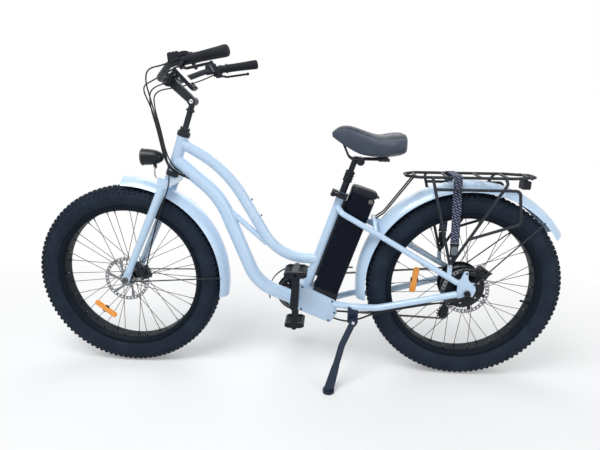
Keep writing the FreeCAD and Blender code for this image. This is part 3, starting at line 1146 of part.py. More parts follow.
def make_front_fender(fork):
    """The front fender with a wire stay each side and a tab up to the crown."""
    half = dim.front_fender_half
    shell = fender_shell(FRONT_HUB, dim.front_fender_radius, half, dim.front_fender_skirt,
                         dim.front_fender_start_turn, dim.front_fender_end_turn)
    level = dim.front_dropout_half + dim.dropout_thick + dim.fender_wire_radius
    edge = dim.front_fender_radius - dim.front_fender_skirt + dim.fender_wire_radius
    stays = []
    for side in SIDES:
        eye = FRONT_HUB + Vector(-dim.fender_eye_back, side * level, -dim.fender_eye_drop / 4)
        hook = polar(FRONT_HUB, edge, dim.front_wire_turn, side * half)
        stays.append(bar(eye, hook, dim.fender_wire_radius))
    tab_top = CROWN - STEER_AXIS * (dim.crown_tall / 2)
    tab = bar(tab_top, tab_top - STEER_AXIS * dim.fender_eye_drop, dim.fender_tab_half)
    inside = Part.makeCylinder(dim.front_fender_radius - dim.fender_thick / 2, 2 * half,
                               FRONT_HUB - LEFT * half, LEFT)
    whole = shell.multiFuse(stays + [tab.cut(inside)])
    return keep(feature("front_fender", whole.cut(fork.Shape)))


def make_rear_fender(stays, chain_stays):
    """The rear fender with a wire stay each side and a tab to the seat stay bridge."""
    half = dim.rear_fender_half
    shell = fender_shell(REAR_HUB, dim.rear_fender_radius, half, dim.rear_fender_skirt,
                         dim.rear_fender_start_turn, dim.rear_fender_end_turn)
    level = dim.rear_dropout_half + dim.dropout_thick + dim.fender_wire_radius
    edge = dim.rear_fender_radius - dim.rear_fender_skirt + dim.fender_wire_radius
    wires = []
    for side in SIDES:
        eye = REAR_HUB + Vector(-dim.rear_eye_back, side * level, dim.rear_eye_rise)
        hook = polar(REAR_HUB, edge, dim.rear_wire_turn, side * half)
        wires.append(bar(eye, hook, dim.fender_wire_radius))
    bridge = rear(dim.bridge_ahead, 0, dim.bridge_height)
    inward = (REAR_HUB - bridge).normalize()
    reach = (REAR_HUB - bridge).Length - dim.rear_fender_radius + dim.fender_thick / 2
    tab = bar(bridge, bridge + inward * reach, dim.fender_tab_half)
    whole = shell.multiFuse(wires + [tab])
    keep(feature("rear_fender", whole.cut(stays.Shape).cut(chain_stays.Shape)))


# Brake calipers.
def caliper(hub, back, rise, place, rotor_radius):
    """A caliper body straddling the disc, square to the disc's edge."""
    body = centred_box(dim.caliper_long, 2 * dim.caliper_inset, dim.caliper_deep)
    turn = math.degrees(math.atan2(back, rise))
    body = placed(body, Placement(Vector(-back, place, rise), Rotation(LEFT, -turn)))
    slot = Part.makeCylinder(rotor_radius + dim.gap + dim.pad_gap, dim.rotor_thick + 2 * dim.pad_gap,
                             LEFT * (place - dim.rotor_thick / 2 - dim.pad_gap), LEFT)
    shape = body.cut(slot)
    shape.translate(hub)
    return shape


CALIPER_SEAT_SHARES = ((0.2, 0.9), (-0.5, 0.38))


def make_calipers(fork, chain_stays):
    """Both calipers with the tabs that carry them."""
    front = caliper(FRONT_HUB, dim.front_caliper_back, dim.front_caliper_rise, dim.front_rotor_place,
                    dim.front_rotor_radius)
    ahead = (CROWN - FRONT_HUB).normalize()
    seat = FRONT_HUB + ahead * (dim.leg_stop + dim.caliper_long)
    middle = FRONT_HUB + Vector(-dim.front_caliper_back, 0, dim.front_caliper_rise)
    low = dim.front_rotor_place + dim.caliper_inset
    tab = linked(seat, middle, dim.caliper_tab_radius, dim.caliper_tab_radius, low, low + dim.dropout_thick)
    keep(feature("front_caliper", front.fuse(tab).cut(fork.Shape)))
    back = caliper(REAR_HUB, dim.rear_caliper_back, dim.rear_caliper_rise, dim.rear_rotor_place,
                   dim.rear_rotor_radius)
    spot = REAR_HUB + Vector(-dim.rear_caliper_back, 0, dim.rear_caliper_rise)
    prongs = [REAR_HUB + Vector(dim.dropout_long * ahead, 0, dim.dropout_tall * up)
              for ahead, up in CALIPER_SEAT_SHARES]
    arms = [linked(spot, prong, dim.caliper_tab_radius, dim.caliper_tab_radius / 2,
                   dim.rear_rotor_place + dim.caliper_inset, dim.rear_dropout_half) for prong in prongs]
    keep(feature("rear_caliper", back.multiFuse(arms).cut(chain_stays.Shape)))


# Cranks, pedals and the chain drive.
def toothed(teeth, thick, level):
    """A toothed disc about the Y axis for a roller chain."""
    pitch_radius = dim.chain_pitch / (2 * math.sin(math.pi / teeth))
    shares = ((-0.5, 0), (-0.3, 0), (-0.12, 1), (0.12, 1), (0.3, 0))
    points = []
    for tooth in range(int(teeth)):
        for offset, rise in shares:
            turn = 2 * math.pi * (tooth + offset) / teeth
            radius = pitch_radius - dim.tooth_root + rise * (dim.tooth_root + dim.tooth_tip)
            points.append(Vector(radius * math.cos(turn), 0, radius * math.sin(turn)))
    return prism(points, level - thick / 2, level + thick / 2)


def crank_point(side):
    """Where one crank arm carries its pedal."""
    lean = math.radians(dim.crank_lean)
    return BOTTOM_BRACKET + Vector(-math.sin(lean), 0, math.cos(lean)) * (side * dim.crank_long)


def make_crankset():
    """Spindle, both arms with their pedal pins, and the chainring with its guard ring."""
    outer = dim.crank_inner + dim.crank_thick
    reach = LEFT * (outer + dim.crank_bolt_tall)
    spindle = bar(BOTTOM_BRACKET - LEFT * outer, BOTTOM_BRACKET + LEFT * outer, dim.spindle_radius)
    bolts = bar(BOTTOM_BRACKET - reach, BOTTOM_BRACKET + reach, dim.crank_bolt_radius)
    pieces = [bolts]
    for side in SIDES:
        levels = sorted((side * dim.crank_inner, side * outer))
        tip = crank_point(side)
        pieces.append(linked(BOTTOM_BRACKET, tip, dim.crank_boss_radius, dim.crank_tip_radius, *levels))
        pin_long = outer + dim.gap + dim.pedal_wide - dim.pedal_rim
        pieces.append(bar(tip + LEFT * side * dim.crank_inner, tip + LEFT * side * pin_long,
                          dim.pedal_pin_radius))
    ring = toothed(dim.ring_teeth, dim.ring_thick, -dim.chain_line)
    count = int(dim.ring_window_count)
    for index in range(count):
        half_share = 0.36
        turns = [2 * math.pi * (index + edge) / count for edge in (-half_share, half_share)]
        corners = [Vector(radius * math.cos(turn), 0, radius * math.sin(turn)) for radius, turn in
                   ((dim.ring_arm_radius, turns[0]), (dim.ring_window_radius, turns[0]),
                    (dim.ring_window_radius, turns[1]), (dim.ring_arm_radius, turns[1]))]
        ring = ring.cut(prism(corners, -dim.crank_inner, dim.overrun))
    guard = Part.makeCylinder(dim.guard_radius, dim.guard_thick,
                              LEFT * -(dim.guard_place + dim.guard_thick / 2), LEFT)
    guard = guard.cut(Part.makeCylinder(dim.guard_bore_radius, 2 * dim.guard_place,
                                        LEFT * -2 * dim.guard_place, LEFT))
    bolt_radius = (dim.guard_bore_radius + dim.ring_window_radius) / 2 + dim.tooth_root
    for index in range(count):
        turn = 2 * math.pi * (index + 0.5) / count
        spot = Vector(bolt_radius * math.cos(turn), -dim.guard_place, bolt_radius * math.sin(turn))
        ring = ring.fuse(bar(spot, spot + LEFT * (dim.guard_place - dim.chain_line), dim.blade_pin_radius))
    hub = Part.makeCylinder(dim.ring_arm_radius + dim.overrun,
                            dim.crank_inner - dim.chain_line + dim.ring_thick / 2,
                            LEFT * -dim.crank_inner, LEFT)
    spider = ring.multiFuse([guard, hub])
    spider.translate(BOTTOM_BRACKET)
    keep(feature("crankset", spindle.multiFuse(pieces + [spider])))


def make_pedal(label, side):
    """One platform pedal with two windows, turning on its pin."""
    outer = dim.crank_inner + dim.crank_thick + dim.gap + dim.pedal_wide / 2
    centre = crank_point(side) + LEFT * side * outer
    half = "dim.pedal_half"
    tall = "dim.pedal_tall / 2"
    flat = "(dim.pedal_half - dim.pedal_bevel)"
    low = "(dim.pedal_tall / 2 - dim.pedal_bevel / 2)"
    points = [(half, "-%s" % low), (half, low), (flat, tall), ("-%s" % flat, tall), ("-%s" % half, low),
              ("-%s" % half, "-%s" % low), ("-%s" % flat, "-(%s)" % tall), (flat, "-(%s)" % tall)]
    body = padded(label, points, "dim.pedal_wide", Placement(centre, Rotation()))
    near = "dim.pedal_barrel_half"
    far = "dim.pedal_half - dim.pedal_rim"
    wide = "dim.pedal_wide / 2 - dim.pedal_rim"
    for word, sign in (("front", ""), ("back", "-")):
        pierced(body, "%s_%s_window" % (label, word), "XY_Plane",
                [("%s(%s)" % (sign, near), "-(%s)" % wide), ("%s(%s)" % (sign, far), "-(%s)" % wide),
                 ("%s(%s)" % (sign, far), wide), ("%s(%s)" % (sign, near), wide)])
    drill = body.newObject("Sketcher::SketchObject", label + "_bore_outline")
    drill.AttachmentSupport = [(origin_plane(body, "XZ_Plane"), "")]
    drill.MapMode = "FlatFace"
    radius = dim.pedal_pin_radius + dim.running_fit
    drill.addGeometry(Part.Circle(HERE, UP, radius), False)
    drill.addConstraint(Sketcher.Constraint("Coincident", 0, 3, -1, 1))
    index = drill.addConstraint(Sketcher.Constraint("Radius", 0, radius))
    drill.setExpression("Constraints[%d]" % index, "dim.pedal_pin_radius + dim.running_fit")
    bore = body.newObject("PartDesign::Pocket", label + "_bore")
    bore.Profile = drill
    bore.Type = "ThroughAll"
    bore.SideType = "Symmetric"
    body.Tip = bore
    keep(body)


def pitch_radius(teeth):
    """The radius at which a chain lies on a toothed wheel."""
    return dim.chain_pitch / (2 * math.sin(math.pi / teeth))


GUIDE = REAR_HUB + Vector(dim.guide_ahead, 0, -dim.guide_drop)
TENSION = REAR_HUB + Vector(dim.tension_ahead, 0, -dim.tension_drop)
CHAIN_WHEELS = ((REAR_HUB, pitch_radius(dim.cog_teeth), 1), (GUIDE, pitch_radius(dim.jockey_teeth), -1),
                (TENSION, pitch_radius(dim.jockey_teeth), 1),
                (BOTTOM_BRACKET, pitch_radius(dim.ring_teeth), 1))


def chain_runs():
    """The straight runs of the chain: for each, the turn of its direction in the XZ plane."""
    runs = []
    for (near, near_radius, near_way), (far, far_radius, far_way) in zip(
            CHAIN_WHEELS, CHAIN_WHEELS[1:] + CHAIN_WHEELS[:1]):
        span = far - near
        shift = (far_radius * far_way - near_radius * near_way) / span.Length
        runs.append(math.atan2(span.z, span.x) - math.asin(shift))
    return runs


def chain_touch(centre, radius, way, turn, offset):
    """Where a run meets a wheel, moved outward from the chain's middle line."""
    normal = Vector(-math.sin(turn), 0, math.cos(turn))
    return centre - normal * (way * (radius + way * offset))


def chain_loop(offset):
    """A closed wire along the chain at an offset from its middle line."""
    runs = chain_runs()
    edges = []
    for index, (centre, radius, way) in enumerate(CHAIN_WHEELS):
        start = chain_touch(centre, radius, way, runs[index - 1], offset)
        end = chain_touch(centre, radius, way, runs[index], offset)
        angles = [math.atan2(point.z - centre.z, point.x - centre.x) for point in (start, end)]
        sweep = (way * (angles[1] - angles[0])) % (2 * math.pi)
        middle_turn = angles[0] + way * sweep / 2
        size = (start - centre).Length
        middle = centre + Vector(math.cos(middle_turn), 0, math.sin(middle_turn)) * size
        edges.append(Part.Arc(start, middle, end).toShape())
        following = CHAIN_WHEELS[(index + 1) % len(CHAIN_WHEELS)]
        edges.append(Part.LineSegment(end, chain_touch(*following, runs[index], offset)).toShape())
    return Part.Wire(edges)


def make_chain():
    """The chain: an inner and an outer run of side plates with pins across its free runs."""
    face = Part.Face([chain_loop(dim.plate_tall), chain_loop(-dim.plate_tall)])
    if face.Area < 0 or not face.isValid():
        face = Part.Face(chain_loop(dim.plate_tall)).cut(Part.Face(chain_loop(-dim.plate_tall))).Faces[0]
    solids = []
    for side in SIDES:
        level = -dim.chain_line + side * (dim.plate_half - dim.plate_thick / 2)
        plate = face.copy()
        plate.translate(LEFT * (level - dim.plate_thick / 2))
        solids.append(plate.extrude(LEFT * dim.plate_thick))
    runs = chain_runs()
    half = LEFT * (dim.plate_half - dim.plate_thick / 2)
    pins = []
    for index, (centre, radius, way) in enumerate(CHAIN_WHEELS):
        following = CHAIN_WHEELS[(index + 1) % len(CHAIN_WHEELS)]
        start = chain_touch(centre, radius, way, runs[index], 0)
        end = chain_touch(*following, runs[index], 0)
        count = int((end - start).Length / (dim.pin_link_count * dim.chain_pitch))
        for step in range(1, count):
            spot = start + (end - start) * (step / count) - LEFT * dim.chain_line
            pins.append(bar(spot - half, spot + half, dim.pin_radius))
    keep(feature("chain", solids[0].multiFuse([solids[1]] + pins)))


def make_freewheel():
    """The stack of rear sprockets on a sleeve that turns on the hub's nose."""
    low = dim.chain_line + dim.cog_spacing * (dim.cog_count - 2) + dim.cog_spacing / 2
    high = dim.motor_cover_half + 2 * dim.gap
    sleeve = Part.makeCylinder(dim.freewheel_radius, low - high, LEFT * -low, LEFT)
    cogs = []
    for step in range(int(dim.cog_count)):
        teeth = dim.cog_teeth - dim.cog_step_teeth * (step - 1) * (0.5 if step > 1 else 1)
        cogs.append(toothed(int(teeth), dim.cog_thick, -dim.chain_line - dim.cog_spacing * (step - 1)))
    bore = Part.makeCylinder(dim.rear_nose_radius + dim.running_fit, 2 * low, LEFT * -2 * low, LEFT)
    stack = sleeve.multiFuse(cogs).cut(bore)
    stack.translate(REAR_HUB)
    keep(feature("freewheel", stack))


def make_jockey(label, centre):
    """One small chain wheel of the derailleur."""
    wheel = toothed(dim.jockey_teeth, dim.ring_thick, -dim.chain_line)
    bore = Part.makeCylinder(dim.jockey_pin_radius + dim.running_fit, 2 * dim.chain_line,
                             LEFT * -2 * dim.chain_line, LEFT)
    shape = wheel.cut(bore)
    shape.translate(centre)
    keep(feature(label, shape))


def make_derailleur(chain_stays):
    """The derailleur: hanger bolt, arm and the cage that carries both small wheels."""
    hanger = REAR_HUB + Vector(dim.hanger_ahead, 0, -dim.hanger_drop)
    plate_in = -dim.chain_line + dim.cage_half
    plate_out = -dim.chain_line - dim.cage_half
    cages = [linked(GUIDE, TENSION, dim.cage_radius, dim.cage_radius, plate_in, plate_in + dim.cage_thick),
             linked(GUIDE, TENSION, dim.cage_radius, dim.cage_radius, plate_out - dim.cage_thick, plate_out)]
    pins = [bar(spot + LEFT * plate_in, spot + LEFT * plate_out, dim.jockey_pin_radius)
            for spot in (GUIDE, TENSION)]
    outside = -(dim.rear_dropout_half + dim.dropout_thick)
    bolt = bar(hanger + LEFT * plate_out, hanger + LEFT * (outside - dim.dropout_thick),
               dim.hanger_bolt_radius)
    arm = linked(hanger, GUIDE, dim.hanger_radius, dim.hanger_radius,
                 plate_out - dim.cage_thick - dim.mech_thick, plate_out - dim.cage_thick)
    head = bar(hanger + LEFT * outside, hanger + LEFT * (outside - dim.dropout_thick), dim.hanger_radius)
    link_bolt = bar(hanger + LEFT * -dim.rear_dropout_half, hanger + LEFT * plate_out, dim.hanger_bolt_radius)
    whole = cages[0].multiFuse([cages[1], arm, head, bolt, link_bolt] + pins)
    keep(feature("derailleur", whole.cut(chain_stays.Shape)))


def make_chain_guard():
    """A strip that roofs the chainring and the upper run, on an arm from the bottom bracket."""
    inner = dim.guard_roof_radius
    outer = inner + dim.guard_roof_thick
    start, end = math.radians(dim.guard_roof_start_turn), math.radians(dim.guard_roof_end_turn)

    def spot(radius, turn):
        return BOTTOM_BRACKET + Vector(radius * math.cos(turn), 0, radius * math.sin(turn))

    away = Vector(-math.sin(end), 0, math.cos(end)) * dim.guard_tail_long
    middle = (start + end) / 2
    edges = [Part.Arc(spot(inner, start), spot(inner, middle), spot(inner, end)).toShape(),
             Part.LineSegment(spot(inner, end), spot(inner, end) + away).toShape(),
             Part.LineSegment(spot(inner, end) + away, spot(outer, end) + away).toShape(),
             Part.LineSegment(spot(outer, end) + away, spot(outer, end)).toShape(),
             Part.Arc(spot(outer, end), spot(outer, middle), spot(outer, start)).toShape(),
             Part.LineSegment(spot(outer, start), spot(inner, start)).toShape()]
    strip = Part.Face(Part.Wire(edges)).extrude(LEFT * dim.guard_roof_wide)
    strip.translate(LEFT * -(dim.bb_half + dim.guard_arm_thick + dim.guard_roof_wide))
    turn = math.radians(dim.guard_arm_turn)
    level = -(dim.bb_half + dim.guard_arm_thick)
    tip = spot((inner + outer) / 2 - dim.guard_arm_radius, turn)
    arm = linked(BOTTOM_BRACKET, tip, dim.bb_radius, dim.guard_arm_radius, level, -dim.bb_half)
    arm = arm.cut(bar(BOTTOM_BRACKET + LEFT * level * 2, BOTTOM_BRACKET, dim.spindle_radius + dim.gap))
    clip = Part.makeCylinder(outer, dim.bb_half, BOTTOM_BRACKET + LEFT * -2 * dim.bb_half, LEFT)
    reach = bar(tip + LEFT * level, tip + LEFT * (level - dim.guard_roof_wide / 3), dim.guard_arm_radius / 3)
    post = bar(tip + LEFT * (level - dim.guard_roof_wide / 3), spot(outer, turn) + LEFT
               * (level - dim.guard_roof_wide / 3), dim.guard_arm_radius / 3)
    keep(feature("chain_guard", strip.multiFuse([arm, reach, post.common(clip)])))


# Kickstand.
KICK_PIVOT = rear(dim.kick_ahead, dim.kick_half, dim.kick_height)
KICK_AXIS = Vector(0, math.cos(math.radians(dim.kick_splay)), math.sin(math.radians(dim.kick_splay)))


def make_kickstand(chain_stays):
    """The bracket under the left chain stay and the splayed leg that folds back from it."""
    face = KICK_PIVOT - KICK_AXIS * (dim.kick_eye_half + dim.gap)
    inner = KICK_PIVOT - KICK_AXIS * (dim.kick_half - dim.kick_block_place)
    boss = bar(inner, face, dim.kick_eye_radius)
    pin = bar(inner, KICK_PIVOT + KICK_AXIS * (dim.kick_eye_half + dim.kick_pin_radius / 2),
              dim.kick_pin_radius)
    post = Part.makeBox(dim.kick_block_long, 2 * dim.kick_block_half, dim.chain_stay_height - inner.z,
                        Vector(KICK_PIVOT.x - dim.kick_block_long / 2,
                               dim.kick_block_place - dim.kick_block_half, inner.z))
    keep(feature("kickstand_bracket", boss.multiFuse([pin, post]).cut(chain_stays.Shape)))
    eye = bar(KICK_PIVOT - KICK_AXIS * dim.kick_eye_half, KICK_PIVOT + KICK_AXIS * dim.kick_eye_half,
              dim.kick_eye_radius)
    knee = KICK_PIVOT + Vector(dim.kick_knee_ahead, dim.kick_knee_out, -dim.kick_knee_drop)
    foot = Vector(KICK_PIVOT.x + dim.kick_foot_ahead, KICK_PIVOT.y + dim.kick_foot_out, dim.kick_pad_tall / 2)
    leg = tube([KICK_PIVOT, knee, foot], (dim.kick_bend_radius,), dim.kick_leg_radius)
    pad = Part.makeCylinder(dim.kick_pad_radius, dim.kick_pad_tall, Vector(foot.x, foot.y, 0))
    up_leg = (knee - foot).normalize()
    shoe = Part.makeCone(dim.kick_shoe_radius, dim.kick_leg_radius + dim.kick_shoe_wall, dim.kick_shoe_long,
                         foot + up_leg * dim.kick_shoe_rise, up_leg)
    bore = bar(KICK_PIVOT - KICK_AXIS * 2 * dim.kick_eye_half, KICK_PIVOT + KICK_AXIS * 2 * dim.kick_eye_half,
               dim.kick_pin_radius + dim.running_fit)
    keep(feature("kickstand_leg", eye.multiFuse([leg, pad, shoe]).cut(bore)))


# Rack, tail light and strap.
RACK_CROSS_SHARES = (0.86, 0.4, -0.1, -0.5, -0.83)


def make_rack(seat_stays):
    """A tubular rack: platform loop, cross bars, struts to the stays, side loops and front rods."""
    top = dim.rack_height
    half = [rear(dim.rack_front_ahead, 0, top), rear(dim.rack_front_ahead, dim.rack_nose_half, top),
            rear(dim.rack_front_ahead - dim.rack_front_taper, dim.rack_half, top),
            rear(dim.rack_rear_taper - dim.rack_rear_back, dim.rack_half, top),
            rear(-dim.rack_rear_back, dim.rack_nose_half, top), rear(-dim.rack_rear_back, 0, top)]
    bend = dim.rack_bend_radius
    rail = tube(half, (bend / 2, bend, bend, bend / 2), dim.rack_radius)
    out = dim.rack_side_half
    foot = rear(dim.strut_foot_ahead, out, dim.wheel_radius + dim.strut_foot_rise)
    struts, shoulders = [], []
    for ahead in (dim.strut_front_ahead, -dim.strut_rear_back):
        shoulder = rear(ahead, out, top - dim.strut_shoulder_drop)
        shoulders.append(shoulder)
        struts.append(tube([rear(ahead, dim.rack_half, top), shoulder, foot], (dim.strut_bend_radius,),
                           dim.rack_radius))

    def on_strut(shoulder, height):
        share = (height - shoulder.z) / (foot.z - shoulder.z)
        return shoulder + (foot - shoulder) * share

    bend = dim.loop_bend_radius
    loop = tube([on_strut(shoulders[0], top - dim.loop_drop),
                 rear(-dim.loop_rear_back, out, top - dim.loop_drop),
                 rear(-dim.loop_low_back, out, top - dim.loop_low_drop),
                 on_strut(shoulders[1], top - dim.loop_end_drop)], (bend, bend), dim.rack_radius)
    prop = tube([rear(dim.rod_front_ahead, dim.rod_half, top),
                 rear(dim.rod_knee_ahead, dim.rod_half, dim.rod_knee_height),
                 rear(dim.bridge_ahead, dim.rod_half, dim.bridge_height)],
                (dim.rod_bend_radius,), dim.rod_radius)
    side = rail.multiFuse(struts + [loop, prop])
    crosses = []
    for share in RACK_CROSS_SHARES:
        ahead = dim.rack_front_ahead * share
        edge = dim.rack_half
        crosses.append(bar(rear(ahead, -edge, top), rear(ahead, edge, top), dim.rack_radius * 0.8))
    whole = side.multiFuse([mirrored(side)] + crosses)
    return keep(feature("rack", whole.cut(seat_stays.Shape)))


def make_tail_light(rack):
    """The rear lamp hung under the last cross bar of the rack."""
    ahead = dim.rack_front_ahead * RACK_CROSS_SHARES[-1]
    corner = rear(ahead - dim.tail_long / 2, -dim.tail_wide / 2,
                  dim.rack_height - dim.tail_stem - dim.rack_radius - dim.tail_tall)
    lamp = block("tail_lamp", ("dim.tail_long", "dim.tail_wide", "dim.tail_tall"),
                 Placement(corner, Rotation()))
    stem_at = rear(ahead - dim.tail_stem / 2, -dim.tail_stem, corner.z + dim.tail_tall)
    stem = block("tail_stem_bar", ("dim.tail_stem", "2 * dim.tail_stem", "dim.tail_stem + dim.rack_radius"),
                 Placement(stem_at, Rotation()))
    keep(cut("tail_light", fused("tail_whole", [lamp, stem]), rack))


def make_strap():
    """A luggage strap over the rack, hooked against a strut on each side."""
    reach = dim.rack_radius + dim.gap
    thick = dim.strap_thick
    corner = 0.4 * thick
    out = dim.rack_side_half + reach
    low = dim.rack_height - dim.strap_end_drop
    edge = dim.rack_half + reach
    top = dim.rack_height
    inner = [(out, low), (edge, top), (edge, top + reach / 2), (dim.rack_half + reach / 2, top + reach)]
    outer = [(out + thick, low), (edge + thick, top), (edge + thick, top + reach / 2 + corner),
             (dim.rack_half + reach / 2 + corner, top + reach + thick)]
    ring = outer + [(-y, z) for y, z in reversed(outer)] + [(-y, z) for y, z in inner]
    ring += list(reversed(inner))
    ahead = rear(dim.strap_ahead - dim.strap_wide / 2, 0, 0).x
    points = [Vector(ahead, y, z) for y, z in ring]
    band = Part.Face(Part.makePolygon(points + points[:1])).extrude(AHEAD * dim.strap_wide)
    hooks = []
    for side in SIDES:
        plate = centred_box(dim.hook_wide, dim.hook_thick, dim.hook_tall)
        plate.translate(rear(dim.strap_ahead, side * (out + dim.hook_thick / 2), low - dim.hook_tall / 2))
        hooks.append(plate)
    keep(feature("strap", band.multiFuse(hooks)))


# Cable housings; their routes are chosen by hand, in millimetres. What leaves the bar is measured
# from the middle of the bar, and the rest forward of the rear hub, out and up.
STEER_ROUTES = (
    (((-122.3, 248.7, 38.4), (-72.6, 236, 16), (1.4, 165, -6), (87.4, 60, -26)),
     ((1190, 22, 1040), (1168, 22, 960), (1146, 26, 850), (1112, 35, 798), (1062, 14, 778))),
    (((-118, -252, 56.7), (-68.6, -246, 38), (11.4, -170, 4), (97.4, -50, -22)),
     ((1198, 8, 1040), (1175, 14, 960), (1153, 20, 850), (1118, 41, 798), (1058, 21, 772))),
    (((-106.7, -233.5, 29.2), (-64.6, -214, 6), (9.4, -140, -22), (81.4, -44, -38)),
     ((1183, 3, 1030), (1161, 14, 960), (1139, 30, 862), (1106, 29, 803), (1066, 8, 782))),
)
FRONT_BRAKE_ROUTE = (((-118, 252, 56.7), (-66.6, 250, 36), (8, 196, 30), (38, 148, -6), (35, 116, -68)),
                     ((1124, 101, 916), (1107, 100, 815), (1114, 100, 749), (1155, 91, 659),
                      (1194, 86, 548), (1236, 62, 424)))
MOTOR_LEAD_ROUTE = ((), ((505, 20, 220), (452, 40, 208), (392, 42, 224), (342, 79, 268), (200, 89, 305),
                         (110, 96.5, 327), (45, 111, 344), (3, 115, 366)))
REAR_BRAKE_ROUTE = ((), ((500, 28, 252), (440, 44, 254), (392, 44, 257), (342, 69.5, 270), (200, 79.5, 304),
                         (110, 87, 327), (20, 104, 320), (-45, 104, 350), (-64, 90, 394), (-56, 76, 436)))


def routed(label, places, radius):
    """A cable along a route of places from the bar and places from the rear hub."""
    near_bar, onward = places
    points = [BAR_CENTRE + Vector(*place) for place in near_bar]
    return cord(label, points + [rear(*place) for place in onward], radius)


def make_cables(frame, box, nodes):
    """The cable bundle at the head, the front brake hose, and the hose and motor lead at the rear."""
    bundle = [routed("steer_cables", places, dim.cable_radius).cut(frame.Shape) for places in STEER_ROUTES]
    keep(feature("steer_cables", Part.makeCompound(bundle)))
    hose = routed("front_brake_cable", FRONT_BRAKE_ROUTE, dim.cable_radius)
    keep(feature("front_brake_cable", hose.cut(nodes["front_caliper"].Shape)))
    lead = routed("motor_lead", MOTOR_LEAD_ROUTE, dim.lead_radius).cut(box.Shape)
    rear_hose = routed("rear_brake_hose", REAR_BRAKE_ROUTE, dim.cable_radius).cut(box.Shape)
    keep(feature("frame_cables", Part.makeCompound([lead, rear_hose.cut(nodes["rear_caliper"].Shape)])))


def named():
    """The finished sub-parts by label."""
    return {item.Label: item for item in NODES}


def make_wheels():
    """Both wheels: tyre, rim with spokes, hub, brake disc and axle."""
    for wheel, hub in (("front", FRONT_HUB), ("rear", REAR_HUB)):
        make_tyre(wheel + "_tyre", hub)
        make_axle(wheel, hub)
        make_rotor(wheel + "_rotor", hub, wheel + "_rotor_place", wheel + "_rotor_radius",
                   wheel + "_nose_radius")
    make_rim("front", FRONT_HUB, dim.front_flange_radius, dim.front_flange_half, dim.front_lacing_turn,
             dim.front_reflector_turn)
    make_rim("rear", REAR_HUB, dim.rear_flange_radius, dim.rear_flange_half, dim.rear_lacing_turn,
             dim.rear_reflector_turn)
    make_front_hub()
    make_rear_hub()


def build():
    """Makes every sub-part in an order that lets later ones be fitted to earlier ones."""
    make_wheels()
    make_fork()
    make_headset()
    frame = make_main_frame()
    box = make_controller_box(frame)
    doc.recompute()
    chain_stays = make_stays(frame, box)
    stays = named()["seat_stays"]
    make_battery(frame, box, chain_stays)
    make_seat_post()
    make_saddle()
    handlebar = make_handlebar()
    make_stem(handlebar)
    make_grip("left_grip", 1)
    make_grip("right_grip", -1)
    make_display(handlebar)
    make_left_controls()
    make_right_controls()
    bracket = make_headlight()
    fork = named()["fork"]
    keep(feature("headlight_bracket", bracket.cut(fork.Shape)))
    make_front_fender(fork)
    make_rear_fender(stays, chain_stays)
    make_calipers(fork, chain_stays)
    make_crankset()
    make_pedal("left_pedal", 1)
    make_pedal("right_pedal", -1)
    make_chain()
    make_freewheel()
    make_derailleur(chain_stays)
    make_jockey("upper_jockey", GUIDE)
    make_jockey("lower_jockey", TENSION)
    make_chain_guard()
    make_kickstand(chain_stays)
    rack = make_rack(stays)
    make_tail_light(rack)
    make_strap()
    make_cables(frame, box, named())


def check():
    """Stops the build if any object failed or any sub-part is empty or broken."""
    for item in doc.Objects:
        if "Invalid" in item.State or "Error" in item.State:
            raise RuntimeError("%s could not be made" % item.Label)
    for item in NODES:
        if item.Shape.isNull() or not item.Shape.isValid():
            raise RuntimeError("%s has no valid shape" % item.Label)


def write():
    """Writes each sub-part to its own file."""
    os.makedirs("parts", exist_ok=True)
    for item in NODES:
        item.Shape.exportStep("parts/%s.step" % item.Label)
        print("%s: %d solids, %.0f mm3" % (item.Label, len(item.Shape.Solids), item.Shape.Volume))


build()
doc.recompute()
check()
write()
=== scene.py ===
"""Looks of a white step-through fat tire bike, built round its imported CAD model.

Everything is in metres in the frame of the CAD part: X forward, Y to the rider's left, Z up, with
the origin on the ground midway between the two hubs.
"""

import logging
import math
from dataclasses import dataclass
from enum import Enum
from functools import cache
from typing import Callable, Iterable, Sequence

import bmesh
import bpy
from mathutils import Matrix, Vector
from mathutils.bvhtree import BVHTree

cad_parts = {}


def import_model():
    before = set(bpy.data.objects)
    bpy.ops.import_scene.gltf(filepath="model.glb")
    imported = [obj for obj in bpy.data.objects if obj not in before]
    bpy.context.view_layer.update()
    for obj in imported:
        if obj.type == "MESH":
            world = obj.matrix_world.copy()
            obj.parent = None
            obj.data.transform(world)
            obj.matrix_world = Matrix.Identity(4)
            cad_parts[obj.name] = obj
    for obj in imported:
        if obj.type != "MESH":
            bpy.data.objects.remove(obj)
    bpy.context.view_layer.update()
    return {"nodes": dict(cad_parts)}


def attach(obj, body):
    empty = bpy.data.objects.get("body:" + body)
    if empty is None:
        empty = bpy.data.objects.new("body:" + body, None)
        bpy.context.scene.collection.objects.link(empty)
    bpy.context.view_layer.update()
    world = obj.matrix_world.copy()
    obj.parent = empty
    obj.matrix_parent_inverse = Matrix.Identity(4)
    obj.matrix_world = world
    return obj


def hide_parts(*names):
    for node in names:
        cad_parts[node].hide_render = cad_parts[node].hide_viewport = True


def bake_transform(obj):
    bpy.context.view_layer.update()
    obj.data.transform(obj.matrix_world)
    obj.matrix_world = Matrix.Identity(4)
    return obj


LOG = logging.getLogger("fat_tire_bike")
Numbers = tuple[float, ...]
Table = tuple[Numbers, ...]
Faces = list[tuple[int, ...]]
Shape = tuple[list[Vector], Faces]
Socket = bpy.types.NodeSocket
Thing = bpy.types.Object
Mesh = bpy.types.Mesh
Material = bpy.types.Material
FRONT_HUB = Vector((0.66, 0.0, 0.37))
REAR_HUB = Vector((-0.66, 0.0, 0.37))
BOTTOM_BRACKET = Vector((-0.01, 0.0, 0.287))
SEAT_TUBE_FOOT = Vector((-0.036, 0.0, 0.287))
